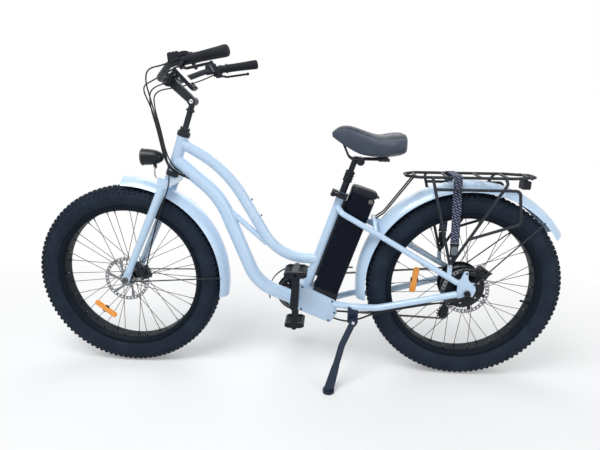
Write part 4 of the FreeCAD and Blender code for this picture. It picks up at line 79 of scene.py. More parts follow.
SEAT_TUBE_WAY = Vector((-0.3256, 0.0, 0.9455))
SEAT_TUBE_LEAN = 19.0
AXLE_WISE = Matrix.Rotation(-math.pi / 2, 4, "X")
SQUARE = ((-1, -1), (1, -1), (1, 1), (-1, 1))
WHITE = (1.0, 1.0, 1.0, 1.0)
NOISE_MIDDLE = (0.3, 0.7)
GRAIN_DETAIL = 2.0
STREAK_DETAIL = 4.0
DIMMED = 0.8
MERGE_DISTANCE = 1e-6
BOLT_STEPS = 12


class Side(Enum):
    """The two sides of the bike, by the sign of Y."""

    LEFT = 1
    RIGHT = -1

    @property
    def word(self) -> str:
        """The side's name as it stands in the names of pieces."""
        return self.name.lower()


@dataclass(frozen=True)
class Patches:
    """Where a cloudy pattern shows: its scale, detail, the values it rises between, and its most."""

    scale: float
    detail: float
    start: float = NOISE_MIDDLE[0]
    end: float = NOISE_MIDDLE[1]
    most: float = 1.0


@dataclass(frozen=True)
class Wander:
    """How a value wanders: its pattern's scale and detail, and the least and most shares of it."""

    scale: float
    detail: float
    least: float
    most: float


@dataclass(frozen=True)
class Relief:
    """Fine relief: how strongly it shades, and how deep it is."""

    strength: float
    depth: float


class Nodes:
    """A node tree with a short call that adds a node to it."""

    def __init__(self, tree: bpy.types.NodeTree, prefix: str) -> None:
        """Takes a tree and the first word of its nodes' types."""
        self.tree = tree
        self.prefix = prefix

    def feed(self, socket: Socket, value: object) -> None:
        """Links a socket to another one, or sets its value.

        Args:
            socket: The input that is fed.
            value: A socket of another node, or a plain value.
        """
        if isinstance(value, Socket):
            self.tree.links.new(value, socket)
        else:
            socket.default_value = value

    def node(self, kind: str, inputs: dict | None = None, **settings: object) -> bpy.types.Node:
        """Adds a node.

        Args:
            kind: The node's type without its first word.
            inputs: Values or sockets by the input's name or number.
            settings: Properties of the node.

        Returns:
            The new node.
        """
        made = self.tree.nodes.new(self.prefix + kind)
        for key, value in settings.items():
            setattr(made, key, value)
        for key, value in (inputs or {}).items():
            self.feed(made.inputs[key], value)
        return made

    def seen(self) -> Socket:
        """One where a ray in a shader comes from the camera, a mirror or glass."""
        rays = self.node("LightPath").outputs
        total = rays["Is Camera Ray"]
        for word in ("Is Glossy Ray", "Is Transmission Ray"):
            total = self.node("Math", {0: total, 1: rays[word]}, operation="MAXIMUM").outputs[0]
        return total


class Shade(Nodes):
    """The node tree of one material, with short calls for what the finishes need."""

    sockets = {"base": "Base Color", "rough": "Roughness", "metal": "Metallic", "coat": "Coat Weight",
               "coat_rough": "Coat Roughness", "sheen": "Sheen Weight", "specular": "Specular IOR Level"}

    def __init__(self, name: str) -> None:
        """Starts a material with its shader and its coordinates.

        Args:
            name: The material's name.
        """
        self.material = bpy.data.materials.new(name)
        self.material.use_nodes = True
        super().__init__(self.material.node_tree, "ShaderNode")
        self.shader = self.tree.nodes["Principled BSDF"]
        coordinates = self.node("TexCoord").outputs
        self.place = coordinates["Object"]
        self.unwrapped = coordinates["UV"]

    def stretched(self, scale: Numbers) -> Socket:
        """Object coordinates scaled for a pattern with a direction."""
        return self.node("Mapping", {"Vector": self.place, "Scale": scale}).outputs["Vector"]

    def noise(self, scale: float, detail: float = 3.0, vector: Socket | None = None) -> Socket:
        """A cloudy pattern with values from 0 to 1."""
        inputs = {"Vector": vector or self.place, "Scale": scale, "Detail": detail}
        return self.node("TexNoise", inputs).outputs["Fac"]

    def cells(self, scale: float, feature: str = "F1") -> Socket:
        """The distance pattern of irregular cells."""
        inputs = {"Vector": self.place, "Scale": scale}
        return self.node("TexVoronoi", inputs, feature=feature).outputs["Distance"]

    def waves(self, scale: float, way: str) -> Socket:
        """Even bands across the unwrapped width or length."""
        inputs = {"Vector": self.unwrapped, "Scale": scale}
        return self.node("TexWave", inputs, bands_direction=way).outputs["Fac"]

    def spread(self, value: Socket, start: float, end: float, low: float, high: float) -> Socket:
        """Maps values from start to end onto values from low to high."""
        inputs = {"Value": value, "From Min": start, "From Max": end, "To Min": low, "To Max": high}
        return self.node("MapRange", inputs).outputs["Result"]

    def patches(self, where: Patches) -> Socket:
        """A share that rises where a cloudy pattern does."""
        return self.spread(self.noise(where.scale, where.detail), where.start, where.end, 0.0, where.most)

    def wandering(self, how: Wander, value: float = 1.0) -> Socket:
        """A value that wanders with a cloudy pattern."""
        pattern = self.noise(how.scale, how.detail)
        return self.spread(pattern, *NOISE_MIDDLE, value * how.least, value * how.most)

    def sum(self, first: object, second: object, operation: str = "ADD") -> Socket:
        """Arithmetic on two values."""
        return self.node("Math", {0: first, 1: second}, operation=operation).outputs[0]

    def mixed(self, share: object, first: object, second: object) -> Socket:
        """One colour blended into another by a share."""
        return self.node("Mix", {0: share, 6: first, 7: second}, data_type="RGBA").outputs[2]

    def bumped(self, height: Socket, relief: Relief) -> None:
        """Turns a height pattern into fine relief."""
        bump = self.node("Bump", {"Height": height, "Strength": relief.strength, "Distance": relief.depth})
        self.feed(self.shader.inputs["Normal"], bump.outputs["Normal"])

    def set(self, **values: object) -> None:
        """Sets the shader's own sockets by their short names."""
        for key, value in values.items():
            self.feed(self.shader.inputs[self.sockets[key]], value)


def opaque(colour: Numbers, share: float = 1.0) -> Numbers:
    """A share of a colour, with full alpha."""
    return (*(share * part for part in colour), 1.0)


@dataclass(frozen=True)
class Paint:
    """Glossy lacquer with a faint cloudiness and orange peel under a clear coat."""

    name: str
    colour: Numbers
    cloud: Numbers
    roughness: float = 0.3
    coat: float = 0.6
    coat_roughness: float = 0.08
    clouds: Patches = Patches(6.0, 4.0)
    dust: Patches = Patches(40.0, 6.0, 0.58, 0.8, 0.06)
    gloss: Wander = Wander(35.0, 3.0, 0.85, 1.2)
    peel: float = 380.0
    relief: Relief = Relief(0.06, 0.0006)

    def make(self) -> Material:
        """Builds the material."""
        shade = Shade(self.name)
        colour = shade.mixed(shade.patches(self.clouds), opaque(self.colour), opaque(self.cloud))
        shade.set(base=shade.mixed(shade.patches(self.dust), colour, opaque(self.cloud, DIMMED)),
                  rough=shade.wandering(self.gloss, self.roughness), coat=self.coat,
                  coat_rough=self.coat_roughness)
        shade.bumped(shade.noise(self.peel, GRAIN_DETAIL), self.relief)
        return shade.material


@dataclass(frozen=True)
class Coated:
    """Black powder coat or moulded plastic with a fine grain and rubbed patches."""

    name: str
    colour: Numbers
    rubbed: Numbers
    roughness: float = 0.45
    grain: float = 900.0
    relief: float = 0.25
    metal: float = 0.0
    sheen: float = 0.3
    depth: float = 0.0004
    wear_and_highlight: Patches = Patches(24.0, 5.0, 0.52, 0.78, 0.8)
    gloss: Wander = Wander(60.0, 5.0, 0.8, 1.2)

    def make(self) -> Material:
        """Builds the material."""
        shade = Shade(self.name)
        shade.set(base=shade.mixed(shade.patches(self.wear_and_highlight), opaque(self.colour), opaque(self.rubbed)),
                  rough=shade.wandering(self.gloss, self.roughness), metal=self.metal, specular=self.sheen)
        shade.bumped(shade.noise(self.grain, GRAIN_DETAIL), Relief(self.relief, self.depth))
        return shade.material


@dataclass(frozen=True)
class Rubber:
    """Black rubber with dust in its pores and a fine moulded skin."""

    name: str
    colour: Numbers
    dust: Numbers
    roughness: float = 0.7
    grain: float = 520.0
    ribs: bool = False
    sheen: float = 0.18
    dusting: Patches = Patches(16.0, 8.0, 0.42, 0.72, 0.75)
    gloss: Wander = Wander(45.0, 4.0, 0.85, 1.15)
    skin: Relief = Relief(0.4, 0.0005)
    rib_relief: Relief = Relief(0.4, 0.0009)
    rib_lanes: float = 11.0
    rib_crossings: float = 6.0
    skin_share: float = 0.15

    def make(self) -> Material:
        """Builds the material; ribs follow the unwrapped length of a grip."""
        shade = Shade(self.name)
        shade.set(base=shade.mixed(shade.patches(self.dusting), opaque(self.colour), opaque(self.dust)),
                  rough=shade.wandering(self.gloss, self.roughness), specular=self.sheen)
        height = shade.noise(self.grain)
        if self.ribs:
            lanes, crossings = shade.waves(self.rib_lanes, "Y"), shade.waves(self.rib_crossings, "X")
            weave = shade.sum(lanes, crossings, "MULTIPLY")
            height = shade.sum(shade.sum(height, self.skin_share, "MULTIPLY"), weave)
        shade.bumped(height, self.rib_relief if self.ribs else self.skin)
        return shade.material


@dataclass(frozen=True)
class Metal:
    """Bare metal, brushed along one direction or round a hub."""

    name: str
    colour: Numbers
    dull: Numbers
    roughness: float = 0.3
    hub: Numbers | None = None
    stretch: Numbers = (40.0, 900.0, 900.0)
    rings: float = 1600.0
    stains: Patches = Patches(28.0, 6.0, 0.45, 0.75, 0.7)
    least: float = 0.7
    most: float = 1.4
    relief: Relief = Relief(0.12, 0.0002)

    def make(self) -> Material:
        """Builds the material."""
        shade = Shade(self.name)
        if self.hub is None:
            streaks = shade.noise(1.0, STREAK_DETAIL, shade.stretched(self.stretch))
        else:
            arm = shade.node("VectorMath", {0: shade.place, 1: self.hub}, operation="DISTANCE")
            inputs = {"W": arm.outputs["Value"], "Scale": self.rings, "Detail": STREAK_DETAIL}
            streaks = shade.node("TexNoise", inputs, noise_dimensions="1D").outputs["Fac"]
        shade.set(base=shade.mixed(shade.patches(self.stains), opaque(self.colour), opaque(self.dull)),
                  rough=shade.spread(streaks, *NOISE_MIDDLE, self.roughness * self.least,
                                     self.roughness * self.most), metal=1.0)
        shade.bumped(streaks, self.relief)
        return shade.material


@dataclass(frozen=True)
class Lens:
    """A moulded reflector or lamp glass with small prisms under a clear face."""

    name: str
    colour: Numbers
    deep: Numbers
    facets: float = 420.0
    roughness: float = 0.18
    coat_roughness: float = 0.05
    glint: Numbers = (0.1, 0.7)
    gloss: Wander = Wander(50.0, 3.0, 0.8, 1.3)
    relief: Relief = Relief(0.5, 0.001)

    def make(self) -> Material:
        """Builds the material."""
        shade = Shade(self.name)
        prisms = shade.cells(self.facets)
        # The colour is lighter towards the middle of each prism cell: a painted glint.
        glint = shade.spread(prisms, *self.glint, 0.0, 1.0)
        shade.set(base=shade.mixed(glint, opaque(self.colour), opaque(self.deep)), coat=1.0,
                  coat_rough=self.coat_roughness, rough=shade.wandering(self.gloss, self.roughness))
        shade.bumped(prisms, self.relief)
        return shade.material


@dataclass(frozen=True)
class Vinyl:
    """The saddle's stretched cover: leather grain, with a lighter colour in cloudy patches as painted
    highlight.
    """

    name: str
    colour: Numbers
    painted_highlight: Numbers
    grain: float = 640.0
    sheen: float = 0.45
    wear_and_highlight: Patches = Patches(14.0, 5.0, 0.4, 0.75)
    gloss: Wander = Wander(70.0, 6.0, 0.36, 0.52)
    crease_wide: float = 0.18
    pits: float = 1800.0
    pit_share: float = 0.4
    relief: Relief = Relief(0.35, 0.0004)

    def make(self) -> Material:
        """Builds the material."""
        shade = Shade(self.name)
        # The lighter colour in cloudy patches is painted highlight.
        shade.set(base=shade.mixed(shade.patches(self.wear_and_highlight), opaque(self.colour), opaque(self.painted_highlight)),
                  rough=shade.wandering(self.gloss), specular=self.sheen)
        pores = shade.cells(self.grain, "DISTANCE_TO_EDGE")
        creases = shade.spread(pores, 0.0, self.crease_wide, 0.0, 1.0)
        pits = shade.sum(shade.noise(self.pits), self.pit_share, "MULTIPLY")
        shade.bumped(shade.sum(creases, pits), self.relief)
        return shade.material


@dataclass(frozen=True)
class Webbing:
    """Woven strap: dark ground with pale dashes that run across it on a slant."""

    name: str
    ground: Numbers
    thread: Numbers
    lean: float = -0.5
    dash_long: float = 0.56
    dash_tall: float = 0.26
    gap: float = 0.09
    gap_softness: float = 0.3
    sheen: float = 0.1
    fuzz: Patches = Patches(900.0, 3.0, 0.35, 0.7, 0.55)
    gloss: Wander = Wander(200.0, 3.0, 0.75, 0.95)
    warp: float = 14.0
    weft: float = 16.0
    relief: Relief = Relief(0.5, 0.0006)

    def make(self) -> Material:
        """Builds the material on the strap's own unwrapped width and length."""
        shade = Shade(self.name)
        slanted = shade.node("Mapping", {"Vector": shade.unwrapped, "Rotation": (0.0, 0.0, self.lean)})
        dashes = shade.node("TexBrick", {
            "Vector": slanted.outputs["Vector"], "Scale": 1.0, "Brick Width": self.dash_long,
            "Row Height": self.dash_tall, "Mortar Size": self.gap, "Mortar Smooth": self.gap_softness,
            "Color1": opaque(self.thread), "Color2": opaque(self.thread, DIMMED),
            "Mortar": opaque(self.ground)}, offset=0.5)
        shade.set(base=shade.mixed(shade.patches(self.fuzz), dashes.outputs["Color"], opaque(self.ground)),
                  rough=shade.wandering(self.gloss), sheen=self.sheen)
        shade.bumped(shade.sum(shade.waves(self.warp, "X"), shade.waves(self.weft, "Y")), self.relief)
        return shade.material


class Finish(Enum):
    """Every finish on the bike."""

    # The white lacquer is given a pale blue as painted shade: the cool tint that skylight and shade lay on
    # white paint.
    FRAME_PAINT = Paint("frame_lacquer", (0.5, 0.66, 0.84), (0.485, 0.645, 0.825))
    RACK_COAT = Coated("rack_powder_coat", (0.014, 0.019, 0.026), (0.028, 0.034, 0.042), 0.5, 1100.0, 0.3)
    KICKSTAND_SLATE = Coated("kickstand_slate", (0.01, 0.021, 0.044), (0.018, 0.032, 0.06), 0.42, 1100.0,
                             0.2)
    FITTING_BLACK = Coated("fitting_anodised_black", (0.008, 0.011, 0.017), (0.018, 0.022, 0.03), 0.34,
                           1500.0, 0.12, 0.3)
    MOULDED_BLACK = Coated("moulded_black", (0.007, 0.009, 0.015), (0.014, 0.018, 0.027), 0.48, 800.0, 0.35,
                           sheen=0.22)
    BATTERY_CASE = Coated("battery_case_black", (0.002, 0.004, 0.011), (0.004, 0.007, 0.016), 0.3, 1300.0,
                          0.08, sheen=0.1)
    LAMP_SHELL = Coated("lamp_shell_black", (0.004, 0.006, 0.011), (0.007, 0.01, 0.017), 0.3, 1500.0, 0.05)
    SCREEN = Paint("display_glass", (0.008, 0.01, 0.014), (0.012, 0.015, 0.02), 0.12, 1.0)
    RIM_BLACK = Coated("rim_anodised_black", (0.004, 0.008, 0.014), (0.008, 0.013, 0.02), 0.5, 1200.0, 0.12,
                       sheen=0.1)
    SPOKE_BLACK = Metal("spoke_dark_steel", (0.05, 0.052, 0.056), (0.025, 0.025, 0.027), 0.34)
    STEEL = Metal("bright_steel", (0.56, 0.57, 0.6), (0.36, 0.36, 0.37), 0.28)
    FRONT_DISC = Metal("front_disc_steel", (0.23, 0.235, 0.25), (0.13, 0.13, 0.14), 0.32, tuple(FRONT_HUB))
    REAR_DISC = Metal("rear_disc_steel", (0.23, 0.235, 0.25), (0.13, 0.13, 0.14), 0.32, tuple(REAR_HUB))
    COG_STEEL = Metal("sprocket_steel", (0.22, 0.22, 0.23), (0.1, 0.1, 0.1), 0.38, tuple(REAR_HUB))
    CHAIN_STEEL = Metal("chain_steel", (0.16, 0.155, 0.15), (0.07, 0.065, 0.06), 0.36)
    # The blue tint of both tyre colours is painted sheen; the lighter one also stands for dust in the pores.
    TYRE = Rubber("tyre_rubber", (0.008, 0.0145, 0.027), (0.016, 0.026, 0.044), 0.66)
    GRIP = Rubber("grip_rubber", (0.01, 0.012, 0.016), (0.018, 0.021, 0.027), 0.62, 700.0, True)
    SOFT_BLACK = Rubber("soft_black_rubber", (0.008, 0.01, 0.014), (0.017, 0.02, 0.026), 0.65)
    SHEATH = Coated("cable_sheath", (0.006, 0.007, 0.009), (0.012, 0.013, 0.016), 0.42, 1600.0, 0.1)
    # The saddle's top and sides are lit and shaded copies of one vinyl: the top's darker colour is painted
    # shade.
    SADDLE = Vinyl("saddle_vinyl", (0.031, 0.042, 0.07), (0.046, 0.06, 0.097))
    SADDLE_TOP = Vinyl("saddle_top_vinyl", (0.012, 0.019, 0.036), (0.02, 0.03, 0.054))
    THREAD = Rubber("saddle_thread", (0.03, 0.031, 0.036), (0.05, 0.05, 0.055), 0.8)
    STRAP = Webbing("strap_webbing", (0.003, 0.005, 0.016), (0.29, 0.33, 0.56))
    BUCKLE_GREY = Coated("buckle_grey", (0.11, 0.13, 0.15), (0.2, 0.22, 0.24), 0.3, 900.0, 0.1)
    AMBER = Lens("amber_reflector", (1.0, 0.42, 0.016), (0.86, 0.28, 0.008))
    RED = Lens("red_lens", (0.5, 0.02, 0.015), (0.22, 0.006, 0.006))
    CLEAR = Lens("lamp_glass", (0.62, 0.68, 0.74), (0.36, 0.42, 0.5), 260.0, 0.1)


@cache
def material(finish: Finish) -> Material:
    """The material of a finish, made on the first call."""
    return finish.value.make()


def at(place: Sequence[float]) -> Matrix:
    """The frame moved to a place."""
    return Matrix.Translation(place)


def spun(degrees: float, axis: str) -> Matrix:
    """A turn about one axis."""
    return Matrix.Rotation(math.radians(degrees), 4, axis)


def stood(place: Sequence[float], way: Vector) -> Matrix:
    """A local frame at a place, with its Z axis along a direction."""
    return at(place) @ way.to_track_quat("Z", "Y").to_matrix().to_4x4()


def linked(name: str, data: bpy.types.ID) -> Thing:
    """Puts a mesh, a curve, a light or a camera into the scene as an object at the origin."""
    made = bpy.data.objects.new(name, data)
    bpy.context.scene.collection.objects.link(made)
    return made


def evaluated(made: Thing) -> Mesh:
    """The final shape of an object with a curve or modifiers, as plain mesh."""
    bpy.context.view_layer.update()
    depsgraph = bpy.context.evaluated_depsgraph_get()
    return bpy.data.meshes.new_from_object(made.evaluated_get(depsgraph), depsgraph=depsgraph)


def settled(made: Thing) -> Thing:
    """Turns a piece's modifiers into plain mesh.

    Args:
        made: The piece.

    Returns:
        The same piece.
    """
    mesh = evaluated(made)
    made.modifiers.clear()
    made.data = mesh
    return made


def mesh_of(name: str, shape: Shape, smooth: bool = True) -> Mesh:
    """Makes a mesh, merged and with its faces turned outwards.

    Args:
        name: The mesh's name.
        shape: Its corners and faces.
        smooth: Whether its faces are shaded as one curved skin.

    Returns:
        The new mesh.
    """
    mesh = bpy.data.meshes.new(name)
    mesh.from_pydata([tuple(corner) for corner in shape[0]], [], shape[1])
    work = bmesh.new()
    work.from_mesh(mesh)
    bmesh.ops.remove_doubles(work, verts=work.verts, dist=MERGE_DISTANCE)
    bmesh.ops.recalc_face_normals(work, faces=work.faces)
    for face in work.faces:
        face.smooth = smooth
    work.to_mesh(mesh)
    work.free()
    return mesh


def wire(name: str, path: Sequence[Vector], closed: bool = False) -> Mesh:
    """Makes a bare line for a pattern to be grown along.

    Args:
        name: The mesh's name.
        path: The points it runs through.
        closed: Whether the last point joins the first.

    Returns:
        The new mesh.
    """
    size = len(path)
    edges = [(index, (index + 1) % size) for index in range(size if closed else size - 1)]
    mesh = bpy.data.meshes.new(name)
    mesh.from_pydata([tuple(point) for point in path], edges, [])
    return mesh


def piece(name: str, shape: Shape, finish: Finish, body: str, smooth: bool = True) -> Thing:
    """Makes a dressed piece that rides on a body.

    Args:
        name: The piece's name.
        shape: Its corners and faces.
        finish: What it is dressed in.
        body: The CAD body it moves with.
        smooth: Whether its faces are shaded as one curved skin.

    Returns:
        The new object.
    """
    made = linked(name, mesh_of(name, shape, smooth))
    made.data.materials.append(material(finish))
    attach(made, body)
    LOG.info("%s on %s: %d faces", name, body, len(made.data.polygons))
    return made


def softened(made: Thing, width: float, segments: int = 2) -> Thing:
    """Rounds the sharp edges of a piece.

    Args:
        made: The piece.
        width: How wide the rounding is.
        segments: How many faces go round it.

    Returns:
        The same piece.
    """
    bevel = made.modifiers.new("rounding", "BEVEL")
    bevel.width = width
    bevel.segments = segments
    bevel.limit_method = "ANGLE"
    return settled(made)


def moulded(name: str, shapes: Iterable[Shape], finish: Finish, body: str, width: float,
            segments: int = 2) -> Thing:
    """Makes one piece of flat-faced shapes with their edges rounded."""
    return softened(piece(name, joined(shapes), finish, body, False), width, segments)


def joined(shapes: Iterable[Shape]) -> Shape:
    """Several shapes as one.

    Args:
        shapes: Corners and faces of each.

    Returns:
        Corners and faces.
    """
    corners: list[Vector] = []
    faces: Faces = []
    for some, links in shapes:
        start = len(corners)
        corners += some
        faces += [tuple(start + index for index in face) for face in links]
    return corners, faces


def turned(profile: Sequence[Numbers], count: int, matrix: Matrix, closed: bool = True) -> Shape:
    """Turns a profile about the local Z axis.

    Args:
        profile: Radius and height of each corner.
        count: Steps round the axis.
        matrix: Carries the local frame to its place.
        closed: Whether the last corner joins the first.

    Returns:
        Corners and faces.
    """
    corners: list[Vector] = []
    faces: Faces = []
    size = len(profile)
    for step in range(count):
        turn = 2 * math.pi * step / count
        corners += [matrix @ Vector((r * math.cos(turn), r * math.sin(turn), z)) for r, z in profile]
    for step in range(count):
        here, there = step * size, (step + 1) % count * size
        for index in range(size if closed else size - 1):
            following = (index + 1) % size
            faces.append((here + index, here + following, there + following, there + index))
    return corners, faces


def lofted(rings: Sequence[Sequence[Vector]]) -> Shape:
    """A skin over rings of equal size, closed at both ends.

    Args:
        rings: The corners of each ring in turn.

    Returns:
        Corners and faces, with the two ends last.
    """
    size = len(rings[0])
    corners = [corner for ring in rings for corner in ring]
    faces: Faces = []
    for low in range(0, len(corners) - size, size):
        for side in range(size):
            following = (side + 1) % size
            faces.append((low + side, low + following, low + size + following, low + size + side))
    return corners, faces + [tuple(range(size)), tuple(reversed(range(len(corners) - size, len(corners))))]


def block(size: Numbers, matrix: Matrix, taper: float = 1.0, edge: float = 0.0) -> Shape:
    """A block standing on the local XY plane.

    Args:
        size: Its length, width and height.
        matrix: Carries the local frame to its place.
        taper: How wide its top is against its foot.
        edge: The share of it that its chamfered top edge takes.

    Returns:
        Corners and faces.
    """
    long, wide, tall = size
    levels = [(1.0, 0.0), (taper, tall)]
    if edge:
        levels[1:] = [(1.0 + (taper - 1.0) * (1 - edge), tall * (1 - edge)), (taper * (1 - edge), tall)]
    return lofted([[matrix @ Vector((x * long * share / 2, y * wide * share / 2, rise)) for x, y in SQUARE]
                   for share, rise in levels])


def rounded(wide: float, long: float, corner: float, steps: int = 6) -> list[Numbers]:
    """The outline of a rectangle with round corners, about its own middle.

    Args:
        wide: Its size along X.
        long: Its size along Y.
        corner: The radius of its corners.
        steps: Steps round each corner.

    Returns:
        The outline's points.
    """
    out = []
    for index, (x, y) in enumerate(((1, 1), (-1, 1), (-1, -1), (1, -1))):
        for step in range(steps + 1):
            turn = math.pi / 2 * (index + step / steps)
            out.append((x * (wide / 2 - corner) + corner * math.cos(turn),
                        y * (long / 2 - corner) + corner * math.sin(turn)))
    return out


def slab(outline: Sequence[Numbers], low: float, high: float, matrix: Matrix) -> Shape:
    """A flat piece of an outline's shape between two local heights."""
    return lofted([[matrix @ Vector((x, y, rise)) for x, y in outline] for rise in (low, high)])


def stick(start: Vector, end: Vector, radius: float, sides: int = 8, end_radius: float = 0.0) -> Shape:
    """A straight round rod between two points.

    Args:
        start: The middle of its first end.
        end: The middle of its other end.
        radius: Its radius at the start.
        sides: Steps round it.
        end_radius: Its radius at the end, if that differs.

    Returns:
        Corners and faces.
    """
    long = (end - start).length
    profile = [(0.0, 0.0), (radius, 0.0), (end_radius or radius, long), (0.0, long)]
    return turned(profile, sides, stood(start, end - start), False)


def ribbon(path: Sequence[Vector], section: Sequence[Numbers], across: Vector) -> Shape:
    """A closed section swept along an open path.

    Args:
        path: The points followed.
        section: Corners of the section as width and thickness.
        across: The direction of the section's width.

    Returns:
        Corners and faces.
    """
    rings = []
    for index, point in enumerate(path):
        ahead = (path[min(index + 1, len(path) - 1)] - path[max(index - 1, 0)]).normalized()
        out = across.cross(ahead).normalized()
        rings.append([point + across * wide + out * thick for wide, thick in section])
    return lofted(rings)


def eased(rows: Sequence[Numbers], steps: int) -> list[Numbers]:
    """Rows of numbers with smooth rows between them.

    Args:
        rows: The rows that are kept.
        steps: How many rows stand for each of them.

    Returns:
        All rows in order.
    """
    out: list[Numbers] = []
    for index in range(len(rows) - 1):
        before, here = rows[max(index - 1, 0)], rows[index]
        there, after = rows[index + 1], rows[min(index + 2, len(rows) - 1)]
        for step in range(steps):
            t = step / steps
            out.append(tuple(0.5 * (2 * b + (c - a) * t + (2 * a - 5 * b + 4 * c - d) * t ** 2
                                    + (3 * b - a - 3 * c + d) * t ** 3)
                             for a, b, c, d in zip(before, here, there, after)))
    return out + [tuple(rows[-1])]


class Grower(Nodes):
    """A Geometry Nodes tree with named inputs that ends in plain, dressed geometry."""

    def __init__(self, name: str) -> None:
        """Starts a tree with one geometry input and one output.

        Args:
            name: The tree's name.
        """
        super().__init__(bpy.data.node_groups.new(name, "GeometryNodeTree"), "")
        self.tree.is_modifier = True
        kind = "NodeSocketGeometry"
        self.tree.interface.new_socket("Geometry", in_out="INPUT", socket_type=kind)
        self.tree.interface.new_socket("Geometry", in_out="OUTPUT", socket_type=kind)
        self.start = self.tree.nodes.new("NodeGroupInput")
        self.end = self.tree.nodes.new("NodeGroupOutput")

    def entry(self, name: str, kind: str) -> Socket:
        """Adds a named input and gives the socket it comes out of."""
        self.tree.interface.new_socket(name, in_out="INPUT", socket_type="NodeSocket" + kind)
        return self.start.outputs[name]

    def close(self, geometry: Socket) -> None:
        """Ends the tree: instances become mesh, and the mesh is dressed.

        Args:
            geometry: What the tree has grown.
        """
        real = self.node("GeometryNodeRealizeInstances", {"Geometry": geometry})
        dressed = self.node("GeometryNodeSetMaterial", {
            "Geometry": real.outputs["Geometry"], "Material": self.entry("Material", "Material")})
        self.tree.links.new(dressed.outputs["Geometry"], self.end.inputs[0])

    def grow(self, name: str, seed: Mesh, finish: Finish, body: str,
             **values: object) -> Thing:
        """Runs the tree on a mesh and keeps the result as a plain piece.

        Args:
            name: The piece's name.
            seed: The mesh the tree starts from.
            finish: What the piece is dressed in.
            body: The CAD body it moves with.
            values: The tree's other inputs by name.

        Returns:
            The new object.
        """
        made = linked(name, seed)
        modifier = made.modifiers.new("grow", "NODES")
        modifier.node_group = self.tree
        values["Material"] = material(finish)
        for item in self.tree.interface.items_tree:
            if item.in_out == "INPUT" and item.name in values:
                modifier[item.identifier] = values[item.name]
        made.update_tag()
        settled(made)
        made.data.materials.clear()
        made.data.materials.append(material(finish))
        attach(made, body)
        LOG.info("%s on %s: %d faces grown", name, body, len(made.data.polygons))
        return made


class RingGrower(Grower):
    """Repeats one pattern evenly round the axle direction through a centre."""

    def __init__(self) -> None:
        """Builds the tree."""
        super().__init__("ring_of_patterns")
        count = self.entry("Count", "Int")
        turn = self.entry("Turn", "Float")
        centre = self.entry("Centre", "Vector")
        points = self.node("GeometryNodePoints", {"Count": count})
        index = self.node("GeometryNodeInputIndex")
        step = self.node("ShaderNodeMath", {0: 2 * math.pi, 1: count}, operation="DIVIDE")
        swing = self.node("ShaderNodeMath", {0: index.outputs[0], 1: step.outputs[0], 2: turn},
                          operation="MULTIPLY_ADD")
        angles = self.node("ShaderNodeCombineXYZ", {"Y": swing.outputs[0]})
        spin = self.node("FunctionNodeEulerToRotation", {"Euler": angles.outputs[0]})
        copies = self.node("GeometryNodeInstanceOnPoints", {
            "Points": points.outputs[0], "Instance": self.start.outputs["Geometry"],
            "Rotation": spin.outputs[0]})
        shifted = self.node("GeometryNodeTransform", {"Geometry": copies.outputs[0], "Translation": centre})
        self.close(shifted.outputs[0])

    def repeat(self, name: str, shape: Shape, finish: Finish, body: str, count: int, centre: Vector,
               turn: float = 0.0, smooth: bool = True) -> Thing:
        """Grows a ring of one shape round a centre; the first stands at a turn in radians."""
        seed = mesh_of(name, shape, smooth)
        return self.grow(name, seed, finish, body, Count=count, Centre=tuple(centre), Turn=turn)


class LineGrower(Grower):
    """Sets two patterns in turn at even steps along a line."""

    def __init__(self) -> None:
        """Builds the tree."""
        super().__init__("patterns_along_line")
        count = self.entry("Count", "Int")
        facing = self.entry("Facing", "Vector")
        first = self.entry("First", "Object")
        second = self.entry("Second", "Object")
        line = self.node("GeometryNodeMeshToCurve", {"Mesh": self.start.outputs["Geometry"]})
        steps = self.node("GeometryNodeResampleCurve", {"Curve": line.outputs[0], "Count": count})
        ahead = self.node("GeometryNodeInputTangent")
        aimed = self.node("FunctionNodeAlignRotationToVector", {"Vector": ahead.outputs[0]}, axis="X")
        rolled = self.node("FunctionNodeAlignRotationToVector",
                           {"Rotation": aimed.outputs[0], "Vector": facing}, axis="Z", pivot_axis="X")
        index = self.node("GeometryNodeInputIndex")
        odd = self.node("ShaderNodeMath", {0: index.outputs[0], 1: 2.0}, operation="MODULO")
        even = self.node("ShaderNodeMath", {0: 1.0, 1: odd.outputs[0]}, operation="SUBTRACT")
        both = self.node("GeometryNodeJoinGeometry")
        for source, chosen in ((first, even), (second, odd)):
            pattern = self.node("GeometryNodeObjectInfo", {"Object": source})
            copies = self.node("GeometryNodeInstanceOnPoints", {
                "Points": steps.outputs[0], "Instance": pattern.outputs["Geometry"],
                "Selection": chosen.outputs[0], "Rotation": rolled.outputs[0]})
            self.tree.links.new(copies.outputs[0], both.inputs[0])
        self.close(both.outputs[0])


class SpotGrower(Grower):
    """Sets a fastener on each point of a mesh, facing the way the point's attribute says."""

    def __init__(self) -> None:
        """Builds the tree."""
        super().__init__("fasteners_on_spots")
        head = self.entry("Head", "Object")
        facing = self.node("GeometryNodeInputNamedAttribute", {"Name": "facing"}, data_type="FLOAT_VECTOR")
        wide = self.node("GeometryNodeInputNamedAttribute", {"Name": "wide"}, data_type="FLOAT")
        aimed = self.node("FunctionNodeAlignRotationToVector", {"Vector": facing.outputs[0]}, axis="Z")
        pattern = self.node("GeometryNodeObjectInfo", {"Object": head})
        copies = self.node("GeometryNodeInstanceOnPoints", {
            "Points": self.start.outputs["Geometry"], "Instance": pattern.outputs["Geometry"],
            "Rotation": aimed.outputs[0], "Scale": wide.outputs[0]})
        self.close(copies.outputs[0])


@dataclass(frozen=True)
class SoftLight:
    """A large soft light: its name, its place, its width and its power in watts."""

    name: str
    place: Numbers
    size: float
    watts: float


